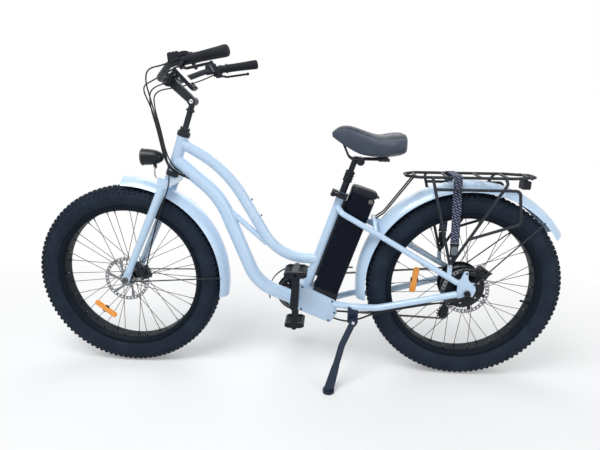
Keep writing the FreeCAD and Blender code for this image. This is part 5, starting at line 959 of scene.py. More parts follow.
@dataclass
class Stage:
    """Floor, light, world and the camera at the photograph's place."""

    camera_place: Numbers = (-0.144, 1.821, 1.066)
    camera_right: Numbers = (-0.99772939, -0.06683943, 0.00827998)
    camera_up: Numbers = (0.02472377, -0.24912417, 0.96815592)
    camera_back: Numbers = (-0.06264825, 0.96616233, 0.25021103)
    lens: float = 28.974
    sensor: float = 36.0
    floor_half: float = 14.0
    floor_colour: Numbers = (0.9, 0.91, 0.92, 1.0)
    floor_roughness: float = 0.85
    fade_scale: Numbers = (0.36, 0.6, 0.5)
    fade: Numbers = (0.05, 0.75)
    shadow_share: float = 0.75
    white: float = 1.0
    sky: Numbers = (0.96, 0.98, 1.0, 1.0)
    ambient: float = 0.42
    aim: Numbers = (0.0, 0.0, 0.5)
    lights: tuple[SoftLight, ...] = (SoftLight("key_light", (0.9, 1.6, 3.6), 2.0, 92.0),
                                     SoftLight("fill_light", (-2.8, 2.2, 1.6), 2.2, 26.0),
                                     SoftLight("back_light", (0.2, -2.6, 2.6), 2.6, 34.0))

    def build(self) -> None:
        """Makes everything that isn't part of the bike."""
        self.camera()
        self.floor()
        self.world()
        for light in self.lights:
            self.lit(light)
        bpy.context.scene.view_settings.view_transform = "Standard"

    def camera(self) -> None:
        """Sets the camera where the photograph was taken."""
        data = bpy.data.cameras.new("photo_camera")
        data.lens = self.lens
        data.sensor_width = self.sensor
        camera = linked("photo_camera", data)
        axes = Matrix((self.camera_right, self.camera_up, self.camera_back)).transposed().to_4x4()
        camera.matrix_world = at(self.camera_place) @ axes
        bpy.context.scene.camera = camera

    def lit(self, light: SoftLight) -> None:
        """Adds a light aimed at the middle of the bike.

        Args:
            light: What it is like.
        """
        data = bpy.data.lights.new(light.name, "AREA")
        data.size = light.size
        data.energy = light.watts
        made = linked(light.name, data)
        aim = Vector(self.aim) - Vector(light.place)
        made.matrix_world = (at(light.place)
                             @ aim.to_track_quat("-Z", "Y").to_matrix().to_4x4())

    def floor(self) -> None:
        """A pale floor that keeps the shadow near the bike and fades to white away from it."""
        half = self.floor_half
        corners = [Vector((x * half, y * half, 0.0)) for x, y in SQUARE]
        made = linked("floor", mesh_of("floor", (corners, [(0, 1, 2, 3)])))
        shade = Shade("pale_floor")
        shade.set(base=self.floor_colour, rough=self.floor_roughness)
        away = shade.node("TexGradient", {"Vector": shade.stretched(self.fade_scale)},
                          gradient_type="SPHERICAL")
        near = shade.spread(away.outputs["Fac"], *self.fade, 0.0, self.shadow_share)
        glow = shade.node("Emission", {"Color": WHITE, "Strength": self.white})
        shown = shade.sum(shade.seen(), shade.sum(1.0, near, "SUBTRACT"), "MULTIPLY")
        mix = shade.node("MixShader", {0: shown, 1: shade.shader.outputs[0], 2: glow.outputs[0]})
        shade.feed(shade.tree.nodes["Material Output"].inputs["Surface"], mix.outputs[0])
        made.data.materials.append(shade.material)

    def world(self) -> None:
        """White where it is seen, and softer as light."""
        world = bpy.data.worlds.new("studio")
        bpy.context.scene.world = world
        world.use_nodes = True
        nodes = Nodes(world.node_tree, "ShaderNode")
        light = nodes.tree.nodes["Background"]
        nodes.feed(light.inputs["Color"], self.sky)
        nodes.feed(light.inputs["Strength"], self.ambient)
        backdrop = nodes.node("Background", {"Color": WHITE, "Strength": self.white})
        mix = nodes.node("MixShader", {0: nodes.seen(), 1: light.outputs[0], 2: backdrop.outputs[0]})
        nodes.feed(nodes.tree.nodes["World Output"].inputs["Surface"], mix.outputs[0])


@dataclass(frozen=True)
class Route:
    """One cable: its name, the CAD node it stands for, what carries it, its points and its radius."""

    name: str
    node: str
    body: str
    radius: float
    points: Table
    bends: bool = False


@dataclass
class Cables:
    """The cable housings, each a smooth line along the control points of its CAD route."""

    thin: float = 0.0026
    thick: float = 0.0034
    bend_start: Numbers = (0.53, 0.015, 1.03)
    bend_end: Numbers = (0.446, 0.03, 0.795)
    steps: int = 10
    roundness: int = 3

    def routes(self) -> list[Route]:
        """The routes, from the bar down and from the frame back."""
        return [
            Route("left_lever_cable", "steer_cables", "steering", self.thin, (
                (0.3363, 0.2487, 1.1724), (0.386, 0.236, 1.15), (0.46, 0.165, 1.128),
                (0.546, 0.06, 1.108), (0.53, 0.022, 1.04), (0.508, 0.022, 0.96),
                (0.486, 0.026, 0.85), (0.452, 0.035, 0.798), (0.402, 0.014, 0.778)), bends=True),
            Route("right_lever_cable", "steer_cables", "steering", self.thin, (
                (0.3406, -0.252, 1.1907), (0.39, -0.246, 1.172), (0.47, -0.17, 1.138),
                (0.556, -0.05, 1.112), (0.538, 0.008, 1.04), (0.515, 0.014, 0.96),
                (0.493, 0.02, 0.85), (0.458, 0.041, 0.798), (0.398, 0.021, 0.772)), bends=True),
            Route("shifter_cable", "steer_cables", "steering", self.thin, (
                (0.3519, -0.2335, 1.1632), (0.394, -0.214, 1.14), (0.468, -0.14, 1.112),
                (0.54, -0.044, 1.096), (0.523, 0.003, 1.03), (0.501, 0.014, 0.96),
                (0.479, 0.03, 0.862), (0.446, 0.029, 0.803), (0.406, 0.008, 0.782)), bends=True),
            Route("front_brake_hose", "front_brake_cable", "steering", self.thin, (
                (0.3406, 0.252, 1.1907), (0.392, 0.25, 1.17), (0.4668, 0.196, 1.164),
                (0.4968, 0.148, 1.128), (0.4938, 0.116, 1.066), (0.464, 0.101, 0.916),
                (0.447, 0.1, 0.815), (0.454, 0.1, 0.749), (0.495, 0.091, 0.659),
                (0.534, 0.086, 0.548), (0.576, 0.062, 0.424))),
            Route("motor_lead", "frame_cables", "frame", self.thick, (
                (-0.155, 0.02, 0.22), (-0.208, 0.04, 0.208), (-0.268, 0.042, 0.224),
                (-0.318, 0.079, 0.268), (-0.46, 0.089, 0.305), (-0.55, 0.0965, 0.327),
                (-0.615, 0.111, 0.344), (-0.657, 0.115, 0.366))),
            Route("rear_brake_hose", "frame_cables", "frame", self.thin, (
                (-0.16, 0.028, 0.252), (-0.22, 0.044, 0.254), (-0.268, 0.044, 0.257),
                (-0.318, 0.0695, 0.27), (-0.46, 0.0795, 0.304), (-0.55, 0.087, 0.327),
                (-0.64, 0.104, 0.32), (-0.705, 0.104, 0.35), (-0.724, 0.09, 0.394),
                (-0.716, 0.076, 0.436))),
        ]

    def line(self, route: Route) -> Thing:
        """Lays a bare curve along a route.

        Args:
            route: Whose points are the curve's control points.

        Returns:
            The new object.
        """
        curve = bpy.data.curves.new(route.name, "CURVE")
        curve.dimensions = "3D"
        spline = curve.splines.new("NURBS")
        spline.points.add(len(route.points) - 1)
        for target, place in zip(spline.points, route.points):
            target.co = (*place, 1.0)
        spline.order_u = 3
        spline.use_endpoint_u = True
        spline.resolution_u = self.steps
        return linked(route.name, curve)

    def build(self) -> None:
        """Makes and dresses every cable."""
        for route in self.routes():
            made = self.line(route)
            path = [corner.co.copy() for corner in evaluated(made).vertices]
            made.data.bevel_depth = route.radius
            made.data.bevel_resolution = self.roundness
            made.data.use_fill_caps = True
            made.data.materials.append(material(Finish.SHEATH))
            if route.bends:
                mesh = evaluated(made)
                mesh.polygons.foreach_set("use_smooth", [True] * len(mesh.polygons))
                bpy.data.objects.remove(made)
                made = linked(route.name, mesh)
                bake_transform(made)
            else:
                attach(made, route.body)
            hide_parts(route.node)


@dataclass(frozen=True)
class Knob:
    """One tread block: its place to the side, the casing's radius there, how far it stands out, how it
    leans outwards in radians, its length and width, and how far into a step of the pattern it comes."""

    place: float
    level: float
    top: float
    lean: float
    long: float
    wide: float
    late: float = 0.0


@dataclass
class Wheel:
    """One wheel: tyre with knobs, hoop, spokes with nipples, reflector and valve."""

    end: str
    hub: Vector
    flange_radius: float
    flange_half: float
    lacing: float
    reflector_place: Numbers
    reflector_turn: float
    valve_turn: float
    rings: RingGrower
    steps: int = 160
    casing: Table = (
        (0.0369, 0.2885), (0.0372, 0.2935), (0.0395, 0.295), (0.0418, 0.299), (0.0436, 0.3012),
        (0.0444, 0.3046), (0.0462, 0.3064), (0.0484, 0.314), (0.0496, 0.322), (0.0497, 0.33),
        (0.049, 0.3378), (0.0484, 0.3388), (0.0474, 0.344), (0.045, 0.3508), (0.0409, 0.3569),
        (0.0344, 0.3614), (0.0242, 0.3643), (0.012, 0.3656))
    lining: Table = ((0.012, 0.3585), (0.03, 0.3545), (0.0395, 0.346), (0.043, 0.33),
                     (0.04, 0.312), (0.031, 0.2895))
    knob_count: int = 106
    knob_taper: float = 0.86
    knob_edge: float = 0.14
    crown_knob: Knob = Knob(0.0, 0.3622, 0.0076, 0.0, 0.013, 0.014)
    side_knobs: tuple[Knob, ...] = (Knob(0.0208, 0.3608, 0.008, 0.1, 0.0135, 0.0125, 0.5),
                                    Knob(0.0372, 0.3568, 0.0072, 0.52, 0.0125, 0.011),
                                    Knob(0.045, 0.3483, 0.0044, 1.05, 0.008, 0.0085, 0.5))
    rim: Table = (
        (0.272, 0.015), (0.2722, 0.0295), (0.274, 0.0318), (0.2812, 0.0398), (0.2826, 0.0404),
        (0.2916, 0.0404), (0.293, 0.0396), (0.293, 0.0378), (0.292, 0.0369), (0.288, 0.0369),
        (0.279, 0.0275), (0.278, 0.0255))
    spoke_radius: float = 0.0012
    spoke_sides: int = 6
    spoke_gap: float = 0.0013
    spoke_inset: float = 0.002
    spoke_end: float = 0.2715
    spoke_hole_half: float = 0.014
    spoke_groups: int = 9
    nipple_long: float = 0.013
    nipple_radii: Numbers = (0.0021, 0.0026)
    reflector_back: Numbers = (0.024, 0.104, 0.01)
    reflector_face: Numbers = (0.02, 0.099, 0.009)
    reflector_levels: Numbers = (-0.0035, 0.0006, 0.001, 0.0036)
    clip_size: Numbers = (0.03, 0.016, 0.006)
    clip_low: float = -0.0042
    valve_foot: float = 0.2735
    valve_steps: int = 16
    valve_profile: Table = (
        (0.0, 0.0), (0.0065, 0.0), (0.006, 0.005), (0.004, 0.008), (0.0038, 0.019),
        (0.0045, 0.0195), (0.0045, 0.028), (0.0035, 0.03), (0.0, 0.03))

    @property
    def body(self) -> str:
        """The CAD body of this wheel."""
        return self.end + "_wheel"

    @property
    def axle(self) -> Matrix:
        """The local frame at the hub, with Z along the axle."""
        return at(self.hub) @ AXLE_WISE

    def build(self) -> None:
        """Makes every piece of the wheel."""
        self.tyre()
        self.knobs()
        self.hoop()
        self.spokes()
        self.reflector()
        self.valve()

    def tyre(self) -> None:
        """The casing: a round section with a moulded line on each sidewall."""
        ring = [(r, y) for y, r in self.casing] + [(r, -y) for y, r in reversed(self.casing)]
        ring += [(r, -y) for y, r in self.lining] + [(r, y) for y, r in reversed(self.lining)]
        made = piece(self.end + "_tyre_casing", turned(ring, self.steps, self.axle), Finish.TYRE, self.body)
        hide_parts(self.end + "_tyre")

    def knob(self, knob: Knob, way: int) -> Shape:
        """Stands one tread block on the casing.

        Args:
            knob: Which block it is.
            way: The side it stands on, by the sign of Y.

        Returns:
            Corners and faces.
        """
        turn = Matrix.Rotation(knob.late * 2 * math.pi / self.knob_count, 4, "Y")
        stand = turn @ at((0.0, way * knob.place, knob.level))
        stand = stand @ Matrix.Rotation(-way * knob.lean, 4, "X")
        return block((knob.long, knob.wide, knob.top), stand, self.knob_taper, self.knob_edge)

    def knobs(self) -> None:
        """Rows of tread blocks, grown round the casing from one step of the pattern."""
        blocks = [self.knob(self.crown_knob, 1)]
        blocks += [self.knob(knob, side.value) for side in Side for knob in self.side_knobs]
        made = self.rings.repeat(self.end + "_tyre_knobs", joined(blocks), Finish.TYRE, self.body,
                                 self.knob_count, self.hub, smooth=False)

    def hoop(self) -> None:
        """The wide rim with rolled edges and a dished well."""
        ring = [*self.rim, *((r, -y) for r, y in reversed(self.rim))]
        made = piece(self.end + "_hoop", turned(ring, self.steps, self.axle), Finish.RIM_BLACK, self.body)
        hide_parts(self.end + "_rim")

    def spoke(self, index: int) -> tuple[Vector, Vector]:
        """Places one spoke of the first group.

        Args:
            index: Which of the group's four it is.

        Returns:
            Its end at the hub and its end at the rim.
        """
        way = (1, -1)[index % 2]
        cross = (1, -1)[index // 2 % 2]
        turn = 2 * math.pi * index / (4 * self.spoke_groups)
        near_turn = turn + cross * math.radians(self.lacing)
        near = self.flange_radius - self.spoke_inset
        shift = Vector((0.0, way * cross * self.spoke_gap, 0.0))
        start = Vector((near * math.cos(near_turn), way * self.flange_half, near * math.sin(near_turn)))
        end = Vector((self.spoke_end * math.cos(turn), way * self.spoke_hole_half,
                      self.spoke_end * math.sin(turn)))
        return start + shift, end + shift

    def spokes(self) -> None:
        """Crossed spokes and their nipples, grown from the first four."""
        wires, nipples = [], []
        near, far = self.nipple_radii
        for index in range(4):
            start, end = self.spoke(index)
            wires.append(stick(start, end, self.spoke_radius, self.spoke_sides))
            ahead = (end - start).normalized()
            nipples.append(stick(end - ahead * self.nipple_long, end, near, self.spoke_sides, far))
        for word, shapes, finish in (("_spokes", wires, Finish.SPOKE_BLACK),
                                     ("_nipples", nipples, Finish.CHAIN_STEEL)):
            self.rings.repeat(self.end + word, joined(shapes), finish, self.body, self.spoke_groups,
                              self.hub)

    def reflector(self) -> None:
        """An amber reflector clipped between the spokes."""
        stand = at(self.reflector_place) @ spun(-self.reflector_turn, "Y") @ AXLE_WISE
        back_low, face_low, back_high, face_high = self.reflector_levels
        moulded(self.end + "_reflector", [slab(rounded(*self.reflector_back), back_low, back_high, stand),
                                          slab(rounded(*self.reflector_face), face_low, face_high, stand)],
                Finish.AMBER, self.body, width=0.0008)
        clip = block(self.clip_size, stand @ at((0.0, 0.0, self.clip_low)))
        moulded(self.end + "_reflector_clip", [clip], Finish.MOULDED_BLACK, self.body, width=0.0012)

    def valve(self) -> None:
        """The tyre's valve, standing in from the rim's well."""
        turn = math.radians(self.valve_turn)
        out = Vector((math.cos(turn), 0.0, math.sin(turn)))
        stand = stood(self.hub + out * self.valve_foot, -out)
        piece(self.end + "_valve", turned(self.valve_profile, self.valve_steps, stand, False),
              Finish.SOFT_BLACK, self.body)


@dataclass
class BrakeDisc:
    """A brake disc: a slotted, wavy band on slanted arms, bolted to its hub."""

    end: str
    hub: Vector
    level: float
    radius: float
    finish: Finish
    spider: Finish
    rings: RingGrower
    band: float = 0.015
    thick: float = 0.002
    slot_count: int = 36
    outer_wave: float = 0.0014
    inner_wave: float = 0.001
    slot: Table = ((0.0046, -0.2), (0.0052, 0.1), (0.0044, 0.42), (0.0, 0.34),
                   (-0.0046, 0.2), (-0.0052, -0.1), (-0.0044, -0.42), (0.0, -0.34))
    arm_count: int = 6
    arm_thick: float = 0.45
    arm_rows: Table = ((0.026, -0.12, 0.3), (0.036, 0.02, 0.15), (0.05, 0.14, 0.085))
    arm_foot: Numbers = (0.001, 0.26, 0.1)
    middle: Table = ((0.0135, -0.001), (0.03, -0.001), (0.0304, 0.0), (0.03, 0.001), (0.0135, 0.001))
    middle_steps: int = 48
    bolt: Table = ((0.0, 0.0008), (0.0016, 0.0008), (0.0018, 0.0026), (0.0036, 0.0024), (0.0042, 0.001),
                   (0.0042, 0.0), (0.0, 0.0))
    bolt_circle: float = 0.022
    bolt_turn: float = 0.3

    def spot(self, radius: float, turn: float, rise: float) -> Vector:
        """A point of the disc about its own centre."""
        return Vector((radius * math.cos(turn), rise, radius * math.sin(turn)))

    def step(self) -> Shape:
        """One step of the band with a slot through it, open where the next step joins."""
        half = math.pi / self.slot_count
        outer, inner = self.radius, self.radius - self.band
        middle = (outer + inner) / 2
        low = outer - self.outer_wave
        rim = [(low, -half), (outer, 0.0), (low, half), (middle, half),
               (inner, half), (inner + self.inner_wave, 0.0), (inner, -half), (middle, -half)]
        corners: list[Vector] = []
        for rise in (-self.thick / 2, self.thick / 2):
            corners += [self.spot(radius, turn, rise) for radius, turn in rim]
            corners += [self.spot(middle + out, share * half, rise) for out, share in self.slot]
        faces: Faces = []
        for side in range(8):
            following = (side + 1) % 8
            faces += [(side, following, 8 + following, 8 + side),
                      (16 + side, 24 + side, 24 + following, 16 + following),
                      (8 + side, 8 + following, 24 + following, 24 + side)]
        for side in (0, 1, 4, 5):
            faces.append((side, 16 + side, 17 + side, side + 1))
        return corners, faces

    def arm(self) -> Shape:
        """One slanted arm between the middle and the band."""
        overlap, turn, half = self.arm_foot
        rows = [*self.arm_rows, (self.radius - self.band + overlap, turn, half)]
        return lofted([[self.spot(radius, turn + side * half, rise * self.thick * self.arm_thick)
                        for side, rise in SQUARE] for radius, turn, half in rows])

    def build(self) -> None:
        """Makes the disc in place of its CAD node."""
        body = self.end + "_wheel"
        centre = self.hub + Vector((0.0, self.level, 0.0))
        band = self.rings.repeat(self.end + "_disc_band", self.step(), self.finish, body, self.slot_count,
                                 centre, smooth=False)
        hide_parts(self.end + "_rotor")
        self.rings.repeat(self.end + "_disc_arms", self.arm(), self.spider, body, self.arm_count, centre,
                          smooth=False)
        ring = turned(self.middle, self.middle_steps, at(centre) @ AXLE_WISE)
        piece(self.end + "_disc_middle", ring, self.spider, body, False)
        stand = at((self.bolt_circle, self.thick / 2, 0.0)) @ AXLE_WISE
        self.rings.repeat(self.end + "_disc_bolts", turned(self.bolt, BOLT_STEPS, stand, False),
                          Finish.FITTING_BLACK, body, self.arm_count, centre, self.bolt_turn)


@dataclass
class Saddle:
    """The padded saddle: a crowned cover over firm foam, with a sewn line along each shoulder.

    Stations are slices from nose to tail: place, half width, top, foot, swell and tuck. The section's
    points run from keel to crown: shares of width and height, of the swell and of the tuck.
    """

    lines: LineGrower
    stations: Table = (
        (-0.1432, 0.009, 0.948, 0.94, 0.0, 0.0), (-0.1462, 0.019, 0.956, 0.9352, 0.0, 0.0),
        (-0.1705, 0.03, 0.9738, 0.9178, 0.0, 0.0), (-0.2053, 0.0381, 0.977, 0.8957, 0.0, 0.001),
        (-0.2503, 0.052, 0.964, 0.8737, 0.001, 0.003), (-0.3104, 0.088, 0.944, 0.8638, 0.004, 0.01),
        (-0.3604, 0.112, 0.945, 0.8657, 0.01, 0.017), (-0.3952, 0.106, 0.948, 0.874, 0.008, 0.013),
        (-0.4088, 0.082, 0.945, 0.886, 0.003, 0.005), (-0.4122, 0.046, 0.934, 0.898, 0.0, 0.0))
    section: Table = (
        (0.0, 0.02, 0.0, 0.0), (0.5, 0.0, 0.0, 0.2), (0.84, 0.0, 0.0, 1.0), (0.92, 0.05, 0.0, 1.0),
        (0.98, 0.26, 0.0, 0.7), (1.0, 0.5, 0.0, 0.4), (0.965, 0.7, 0.0, 0.2), (0.905, 0.81, 0.0, 0.0),
        (0.885, 0.83, 0.0, 0.0), (0.868, 0.838, 0.0, 0.0), (0.8, 0.855, 0.0, 0.0),
        (0.62, 0.93, 0.8, 0.0), (0.36, 0.985, 0.9, 0.0), (0.12, 1.0, -0.1, 0.0), (0.0, 1.0, -0.45, 0.0))
    between: int = 4
    seam: int = 10
    fill: float = 0.85
    stitch_half: float = 0.0024
    stitch_radius: float = 0.0006
    stitch_count: int = 44
    stitch_lift: float = 0.0002

    def rows(self) -> list[list[Vector]]:
        """Slices of the cover from nose to tail, each from the keel over one side to the crown."""
        out = []
        for x, half, top, low, swell, tuck in eased(self.stations, self.between):
            out.append([Vector((x, wide * half, low + up * (top - low) + lift * swell + draw * tuck))
                        for wide, up, lift, draw in self.section])
        return out

    def build(self) -> None:
        """Makes the cover in place of its CAD node, and its sewn lines."""
        rows = self.rows()
        mirror = Vector((1.0, -1.0, 1.0))
        rings = [row + [point * mirror for point in reversed(row[1:-1])] for row in rows]
        size = len(rings[0])
        cover = piece("saddle_cover", lofted(rings), Finish.SADDLE, "seat")
        # The top panel between the seam lines wears the darker copy of the vinyl as painted shade.
        cover.data.materials.append(material(Finish.SADDLE_TOP))
        for index, face in enumerate(cover.data.polygons[:-2]):
            face.material_index = int(self.seam <= index % size < size - self.seam)
        smooth = cover.modifiers.new("rounding", "SUBSURF")
        smooth.levels = smooth.render_levels = 2
        settled(cover)
        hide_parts("saddle_cushion")
        self.stitches(cover, rows)

    def stitches(self, cover: Thing, rows: list[list[Vector]]) -> None:
        """Sewn lines on the cover's own skin, one along each shoulder.

        Args:
            cover: The finished cover.
            rows: Its slices from nose to tail.
        """
        bpy.context.view_layer.update()
        tree = BVHTree.FromObject(cover, bpy.context.evaluated_depsgraph_get())
        reach = Vector((self.stitch_half, 0.0, 0.0))
        thread = mesh_of("stitch", stick(-reach, reach, self.stitch_radius, 6))
        pattern = linked("stitch_pattern", thread)
        for side in Side:
            line = []
            for row in rows[3:-3]:
                point = row[self.seam]
                spot, normal, _, _ = tree.find_nearest(Vector((point.x, side.value * point.y, point.z)))
                line.append(spot + normal * self.stitch_lift)
            self.lines.grow("saddle_stitches_" + side.word, wire("seam_line", line), Finish.THREAD, "seat",
                            Count=self.stitch_count, Facing=(0.0, 0.0, 1.0), First=pattern, Second=pattern)
        bpy.data.objects.remove(pattern)


@dataclass
class Grip:
    """One rubber grip with a flanged inner end, a waist and a rounded tip."""

    side: Side
    start: Numbers = (0.3024, 0.2514, 1.1897)
    axis: Numbers = (-0.9288, 0.3357, 0.1563)
    steps: int = 40
    rib_repeat: float = 0.05
    profile: Table = (
        (0.0112, 0.0), (0.019, 0.0), (0.02, 0.001), (0.02, 0.0034), (0.0192, 0.0042), (0.0168, 0.0048),
        (0.0163, 0.012), (0.0161, 0.034), (0.0166, 0.06), (0.0174, 0.086), (0.0182, 0.108),
        (0.0187, 0.121), (0.0184, 0.1275), (0.0172, 0.1315), (0.015, 0.133), (0.0, 0.1332))

    def build(self) -> None:
        """Makes the grip with its length and girth unwrapped for the ribs."""
        mirror = Vector((1.0, self.side.value, 1.0))
        matrix = stood(Vector(self.start) * mirror, Vector(self.axis) * mirror)
        name = self.side.word + "_grip"
        shape = turned(self.profile, self.steps, matrix, False)
        made = piece(name + "_sleeve", shape, Finish.GRIP, "steering")
        back = matrix.inverted()
        layer = made.data.uv_layers.new(name="girth")
        for loop in made.data.loops:
            local = back @ made.data.vertices[loop.vertex_index].co
            turn = math.atan2(local.y, local.x) / (2 * math.pi)
            layer.data[loop.index].uv = (abs(turn) * 2, local.z / self.rib_repeat)
        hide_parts(name)


@dataclass
class Strap:
    """The luggage strap: webbing over the rack with a moulded hook at each end."""

    ahead: float = -0.598
    wide: float = 0.0315
    thick: float = 0.0022
    edge: float = 0.068
    bend_wide: float = 0.008
    bend_gap: float = 0.001
    bow: float = 0.0015
    top: float = 0.8072
    shoulder: float = 0.7985
    out: float = 0.099
    low: float = 0.566
    side_steps: int = 14
    top_steps: int = 5
    edge_share: float = 0.96
    hook_low: float = 0.492
    hook_out: float = 0.0979
    hook_body: Numbers = (0.03, 0.04588, 0.0052)
    hook_claw: Numbers = (0.016, 0.02516, 0.0046)
    hook_bar: Numbers = (0.034, 0.009, 0.0062)
    hook_shares: Numbers = (0.55, 0.15, 0.93)
    hook_tapers: Numbers = (0.92, 0.9, 0.94)
    pad: Numbers = (0.0245, 0.03404, 0.0105)
    pad_share: float = 0.62
    pad_levels: Numbers = (0.005, 0.0076)

    def path(self) -> list[Vector]:
        """The middle of the webbing from the left hook over the rack to the right one."""
        half: list[Numbers] = []
        corner = self.edge - (self.bend_wide - self.bend_gap)
        for step in range(self.side_steps + 1):
            share = step / self.side_steps
            bow = self.bow * math.sin(math.pi * share)
            half.append((self.out + (self.edge + self.bend_gap - self.out) * share + bow,
                         self.low + (self.shoulder - self.low) * share))
        for step in range(1, self.top_steps + 1):
            turn = math.pi / 2 * step / self.top_steps
            half.append((corner + self.bend_wide * math.cos(turn),
                         self.shoulder + (self.top - self.shoulder) * math.sin(turn)))
        for step in range(1, self.top_steps + 1):
            half.append((corner * (1 - step / self.top_steps), self.top))
        points = [Vector((self.ahead, y, z)) for y, z in half]
        return points + [point * Vector((1.0, -1.0, 1.0)) for point in reversed(points[:-1])]

    def build(self) -> None:
        """Makes the webbing and both hooks in place of the CAD strap."""
        path = self.path()
        half, thin = self.wide / 2, self.thick / 2
        inner = half * self.edge_share
        section = [(-half, -thin / 2), (-inner, -thin), (inner, -thin), (half, -thin / 2),
                   (half, thin / 2), (inner, thin), (-inner, thin), (-half, thin / 2)]
        shape = ribbon(path, section, Vector((1.0, 0.0, 0.0)))
        made = piece("strap_webbing", shape, Finish.STRAP, "frame")
        self.unwrap(made.data, path)
        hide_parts("strap")
        for side in Side:
            self.hook(side)

    def unwrap(self, mesh: Mesh, path: list[Vector]) -> None:
        """Lays the webbing flat: its width across and its length along, in widths.

        Args:
            mesh: The webbing.
            path: Its middle line.
        """
        lengths = [0.0]
        for before, after in zip(path, path[1:]):
            lengths.append(lengths[-1] + (after - before).length)
        layer = mesh.uv_layers.new(name="weave")
        for loop in mesh.loops:
            spot = mesh.vertices[loop.vertex_index].co
            near = min(range(len(path)), key=lambda index: (path[index] - spot).length_squared)
            layer.data[loop.index].uv = ((spot.x - self.ahead) / self.wide, lengths[near] / self.wide)

    def hook(self, side: Side) -> None:
        """A moulded hook: body, claw and cross bar, with a grey thumb pad.

        Args:
            side: The side it hangs on.
        """
        tall = self.low - self.hook_low
        foot = at((self.ahead, side.value * self.hook_out, self.hook_low))
        face = foot @ spun(-90.0 * side.value, "X")

        def raised(share: float) -> Matrix:
            """The frame at a share of the hook's height."""
            return face @ at((0.0, -side.value * share * tall, 0.0))

        sizes = (self.hook_body, self.hook_claw, self.hook_bar)
        blocks = [block(size, raised(share), taper)
                  for size, share, taper in zip(sizes, self.hook_shares, self.hook_tapers)]
        moulded("strap_hook_" + side.word, blocks, Finish.MOULDED_BLACK, "frame", width=0.0013)
        pad = slab(rounded(*self.pad), *self.pad_levels, raised(self.pad_share))
        moulded("strap_pad_" + side.word, [pad], Finish.BUCKLE_GREY, "frame", width=0.0016, segments=3)


@dataclass
class Chain:
    """The chain: inner and outer links in turn round the sprockets and the derailleur's wheels."""

    lines: LineGrower
    link: float = 0.0127
    line: float = -0.065
    plate: float = 0.0041
    waist: float = 0.0031
    inner_levels: Numbers = (0.00135, 0.0021)
    outer_levels: Numbers = (0.0022, 0.0031)
    roller: Numbers = (0.0013, 0.0037)
    pin: Numbers = (0.0034, 0.0017)
    sprocket_teeth: int = 24
    jockey_teeth: int = 11
    ring_teeth: int = 36
    upper_jockey: Numbers = (0.02, 0.0, -0.088)
    lower_jockey: Numbers = (0.044, 0.0, -0.156)
    fineness: float = 0.004

    def pitch_radius(self, teeth: int) -> float:
        """The radius at which the chain lies on a toothed wheel."""
        return self.link / (2 * math.sin(math.pi / teeth))

    def wheels(self) -> list[tuple[Vector, float, int]]:
        """Each wheel's centre, pitch radius and turning way in the order the chain meets them."""
        jockey = self.pitch_radius(self.jockey_teeth)
        return [(REAR_HUB, self.pitch_radius(self.sprocket_teeth), 1),
                (REAR_HUB + Vector(self.upper_jockey), jockey, -1),
                (REAR_HUB + Vector(self.lower_jockey), jockey, 1),
                (BOTTOM_BRACKET, self.pitch_radius(self.ring_teeth), 1)]

    def loop(self) -> list[Vector]:
        """Points along the chain's middle line, round the wheels and between them."""
        wheels = self.wheels()
        runs = []
        for (near, radius, way), (far, far_radius, far_way) in zip(wheels, wheels[1:] + wheels[:1]):
            span = far - near
            lean = (far_radius * far_way - radius * way) / span.length
            runs.append(math.atan2(span.z, span.x) - math.asin(lean))
        points = []
        for index, (centre, radius, way) in enumerate(wheels):
            start, end = (math.atan2(-way * math.cos(run), way * math.sin(run))
                          for run in (runs[index - 1], runs[index]))
            sweep = (way * (end - start)) % (2 * math.pi)
            steps = max(4, int(sweep * radius / self.fineness))
            for step in range(steps + 1):
                turn = start + way * sweep * step / steps
                points.append(Vector((centre.x + radius * math.cos(turn), self.line,
                                      centre.z + radius * math.sin(turn))))
        return points

    def plates(self, low: float, high: float) -> list[Shape]:
        """A pair of waisted side plates.

        Args:
            low: How far their inner faces are from the middle.
            high: How far their outer faces are from it.

        Returns:
            Both plates.
        """
        turns = [math.radians(turn) for turn in (-120, -60, 0, 60, 120)]
        outline = [(self.link / 2 + self.plate * math.cos(turn), self.plate * math.sin(turn))
                   for turn in turns]
        outline.append((0.0, self.waist))
        outline += [(-x, -y) for x, y in outline]
        return [slab(outline, way * low, way * high, Matrix.Identity(4)) for way in (1, -1)]

    def rods(self, half: float, radius: float, sides: int) -> list[Shape]:
        """The two rollers or pins of a link, reaching half their length either side of the middle."""
        places = (Vector((way * self.link / 2, 0.0, 0.0)) for way in (1, -1))
        reach = Vector((0.0, 0.0, half))
        return [stick(place - reach, place + reach, radius, sides) for place in places]

    def build(self) -> None:
        """Grows the links round the loop in place of the CAD chain."""
        links = []
        for name, shapes in (("inner_link", self.plates(*self.inner_levels) + self.rods(*self.roller, 8)),
                             ("outer_link", self.plates(*self.outer_levels) + self.rods(*self.pin, 6))):
            links.append(linked(name, mesh_of(name, joined(shapes), False)))
        loop = self.loop()
        length = sum((here - before).length for before, here in zip(loop[-1:] + loop, loop))
        made = self.lines.grow("chain_links", wire("chain_line", loop, True), Finish.CHAIN_STEEL, "frame",
                               Count=2 * round(length / self.link / 2), Facing=(0.0, 1.0, 0.0),
                               First=links[0], Second=links[1])
        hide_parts("chain")
        for pattern in links:
            bpy.data.objects.remove(pattern)


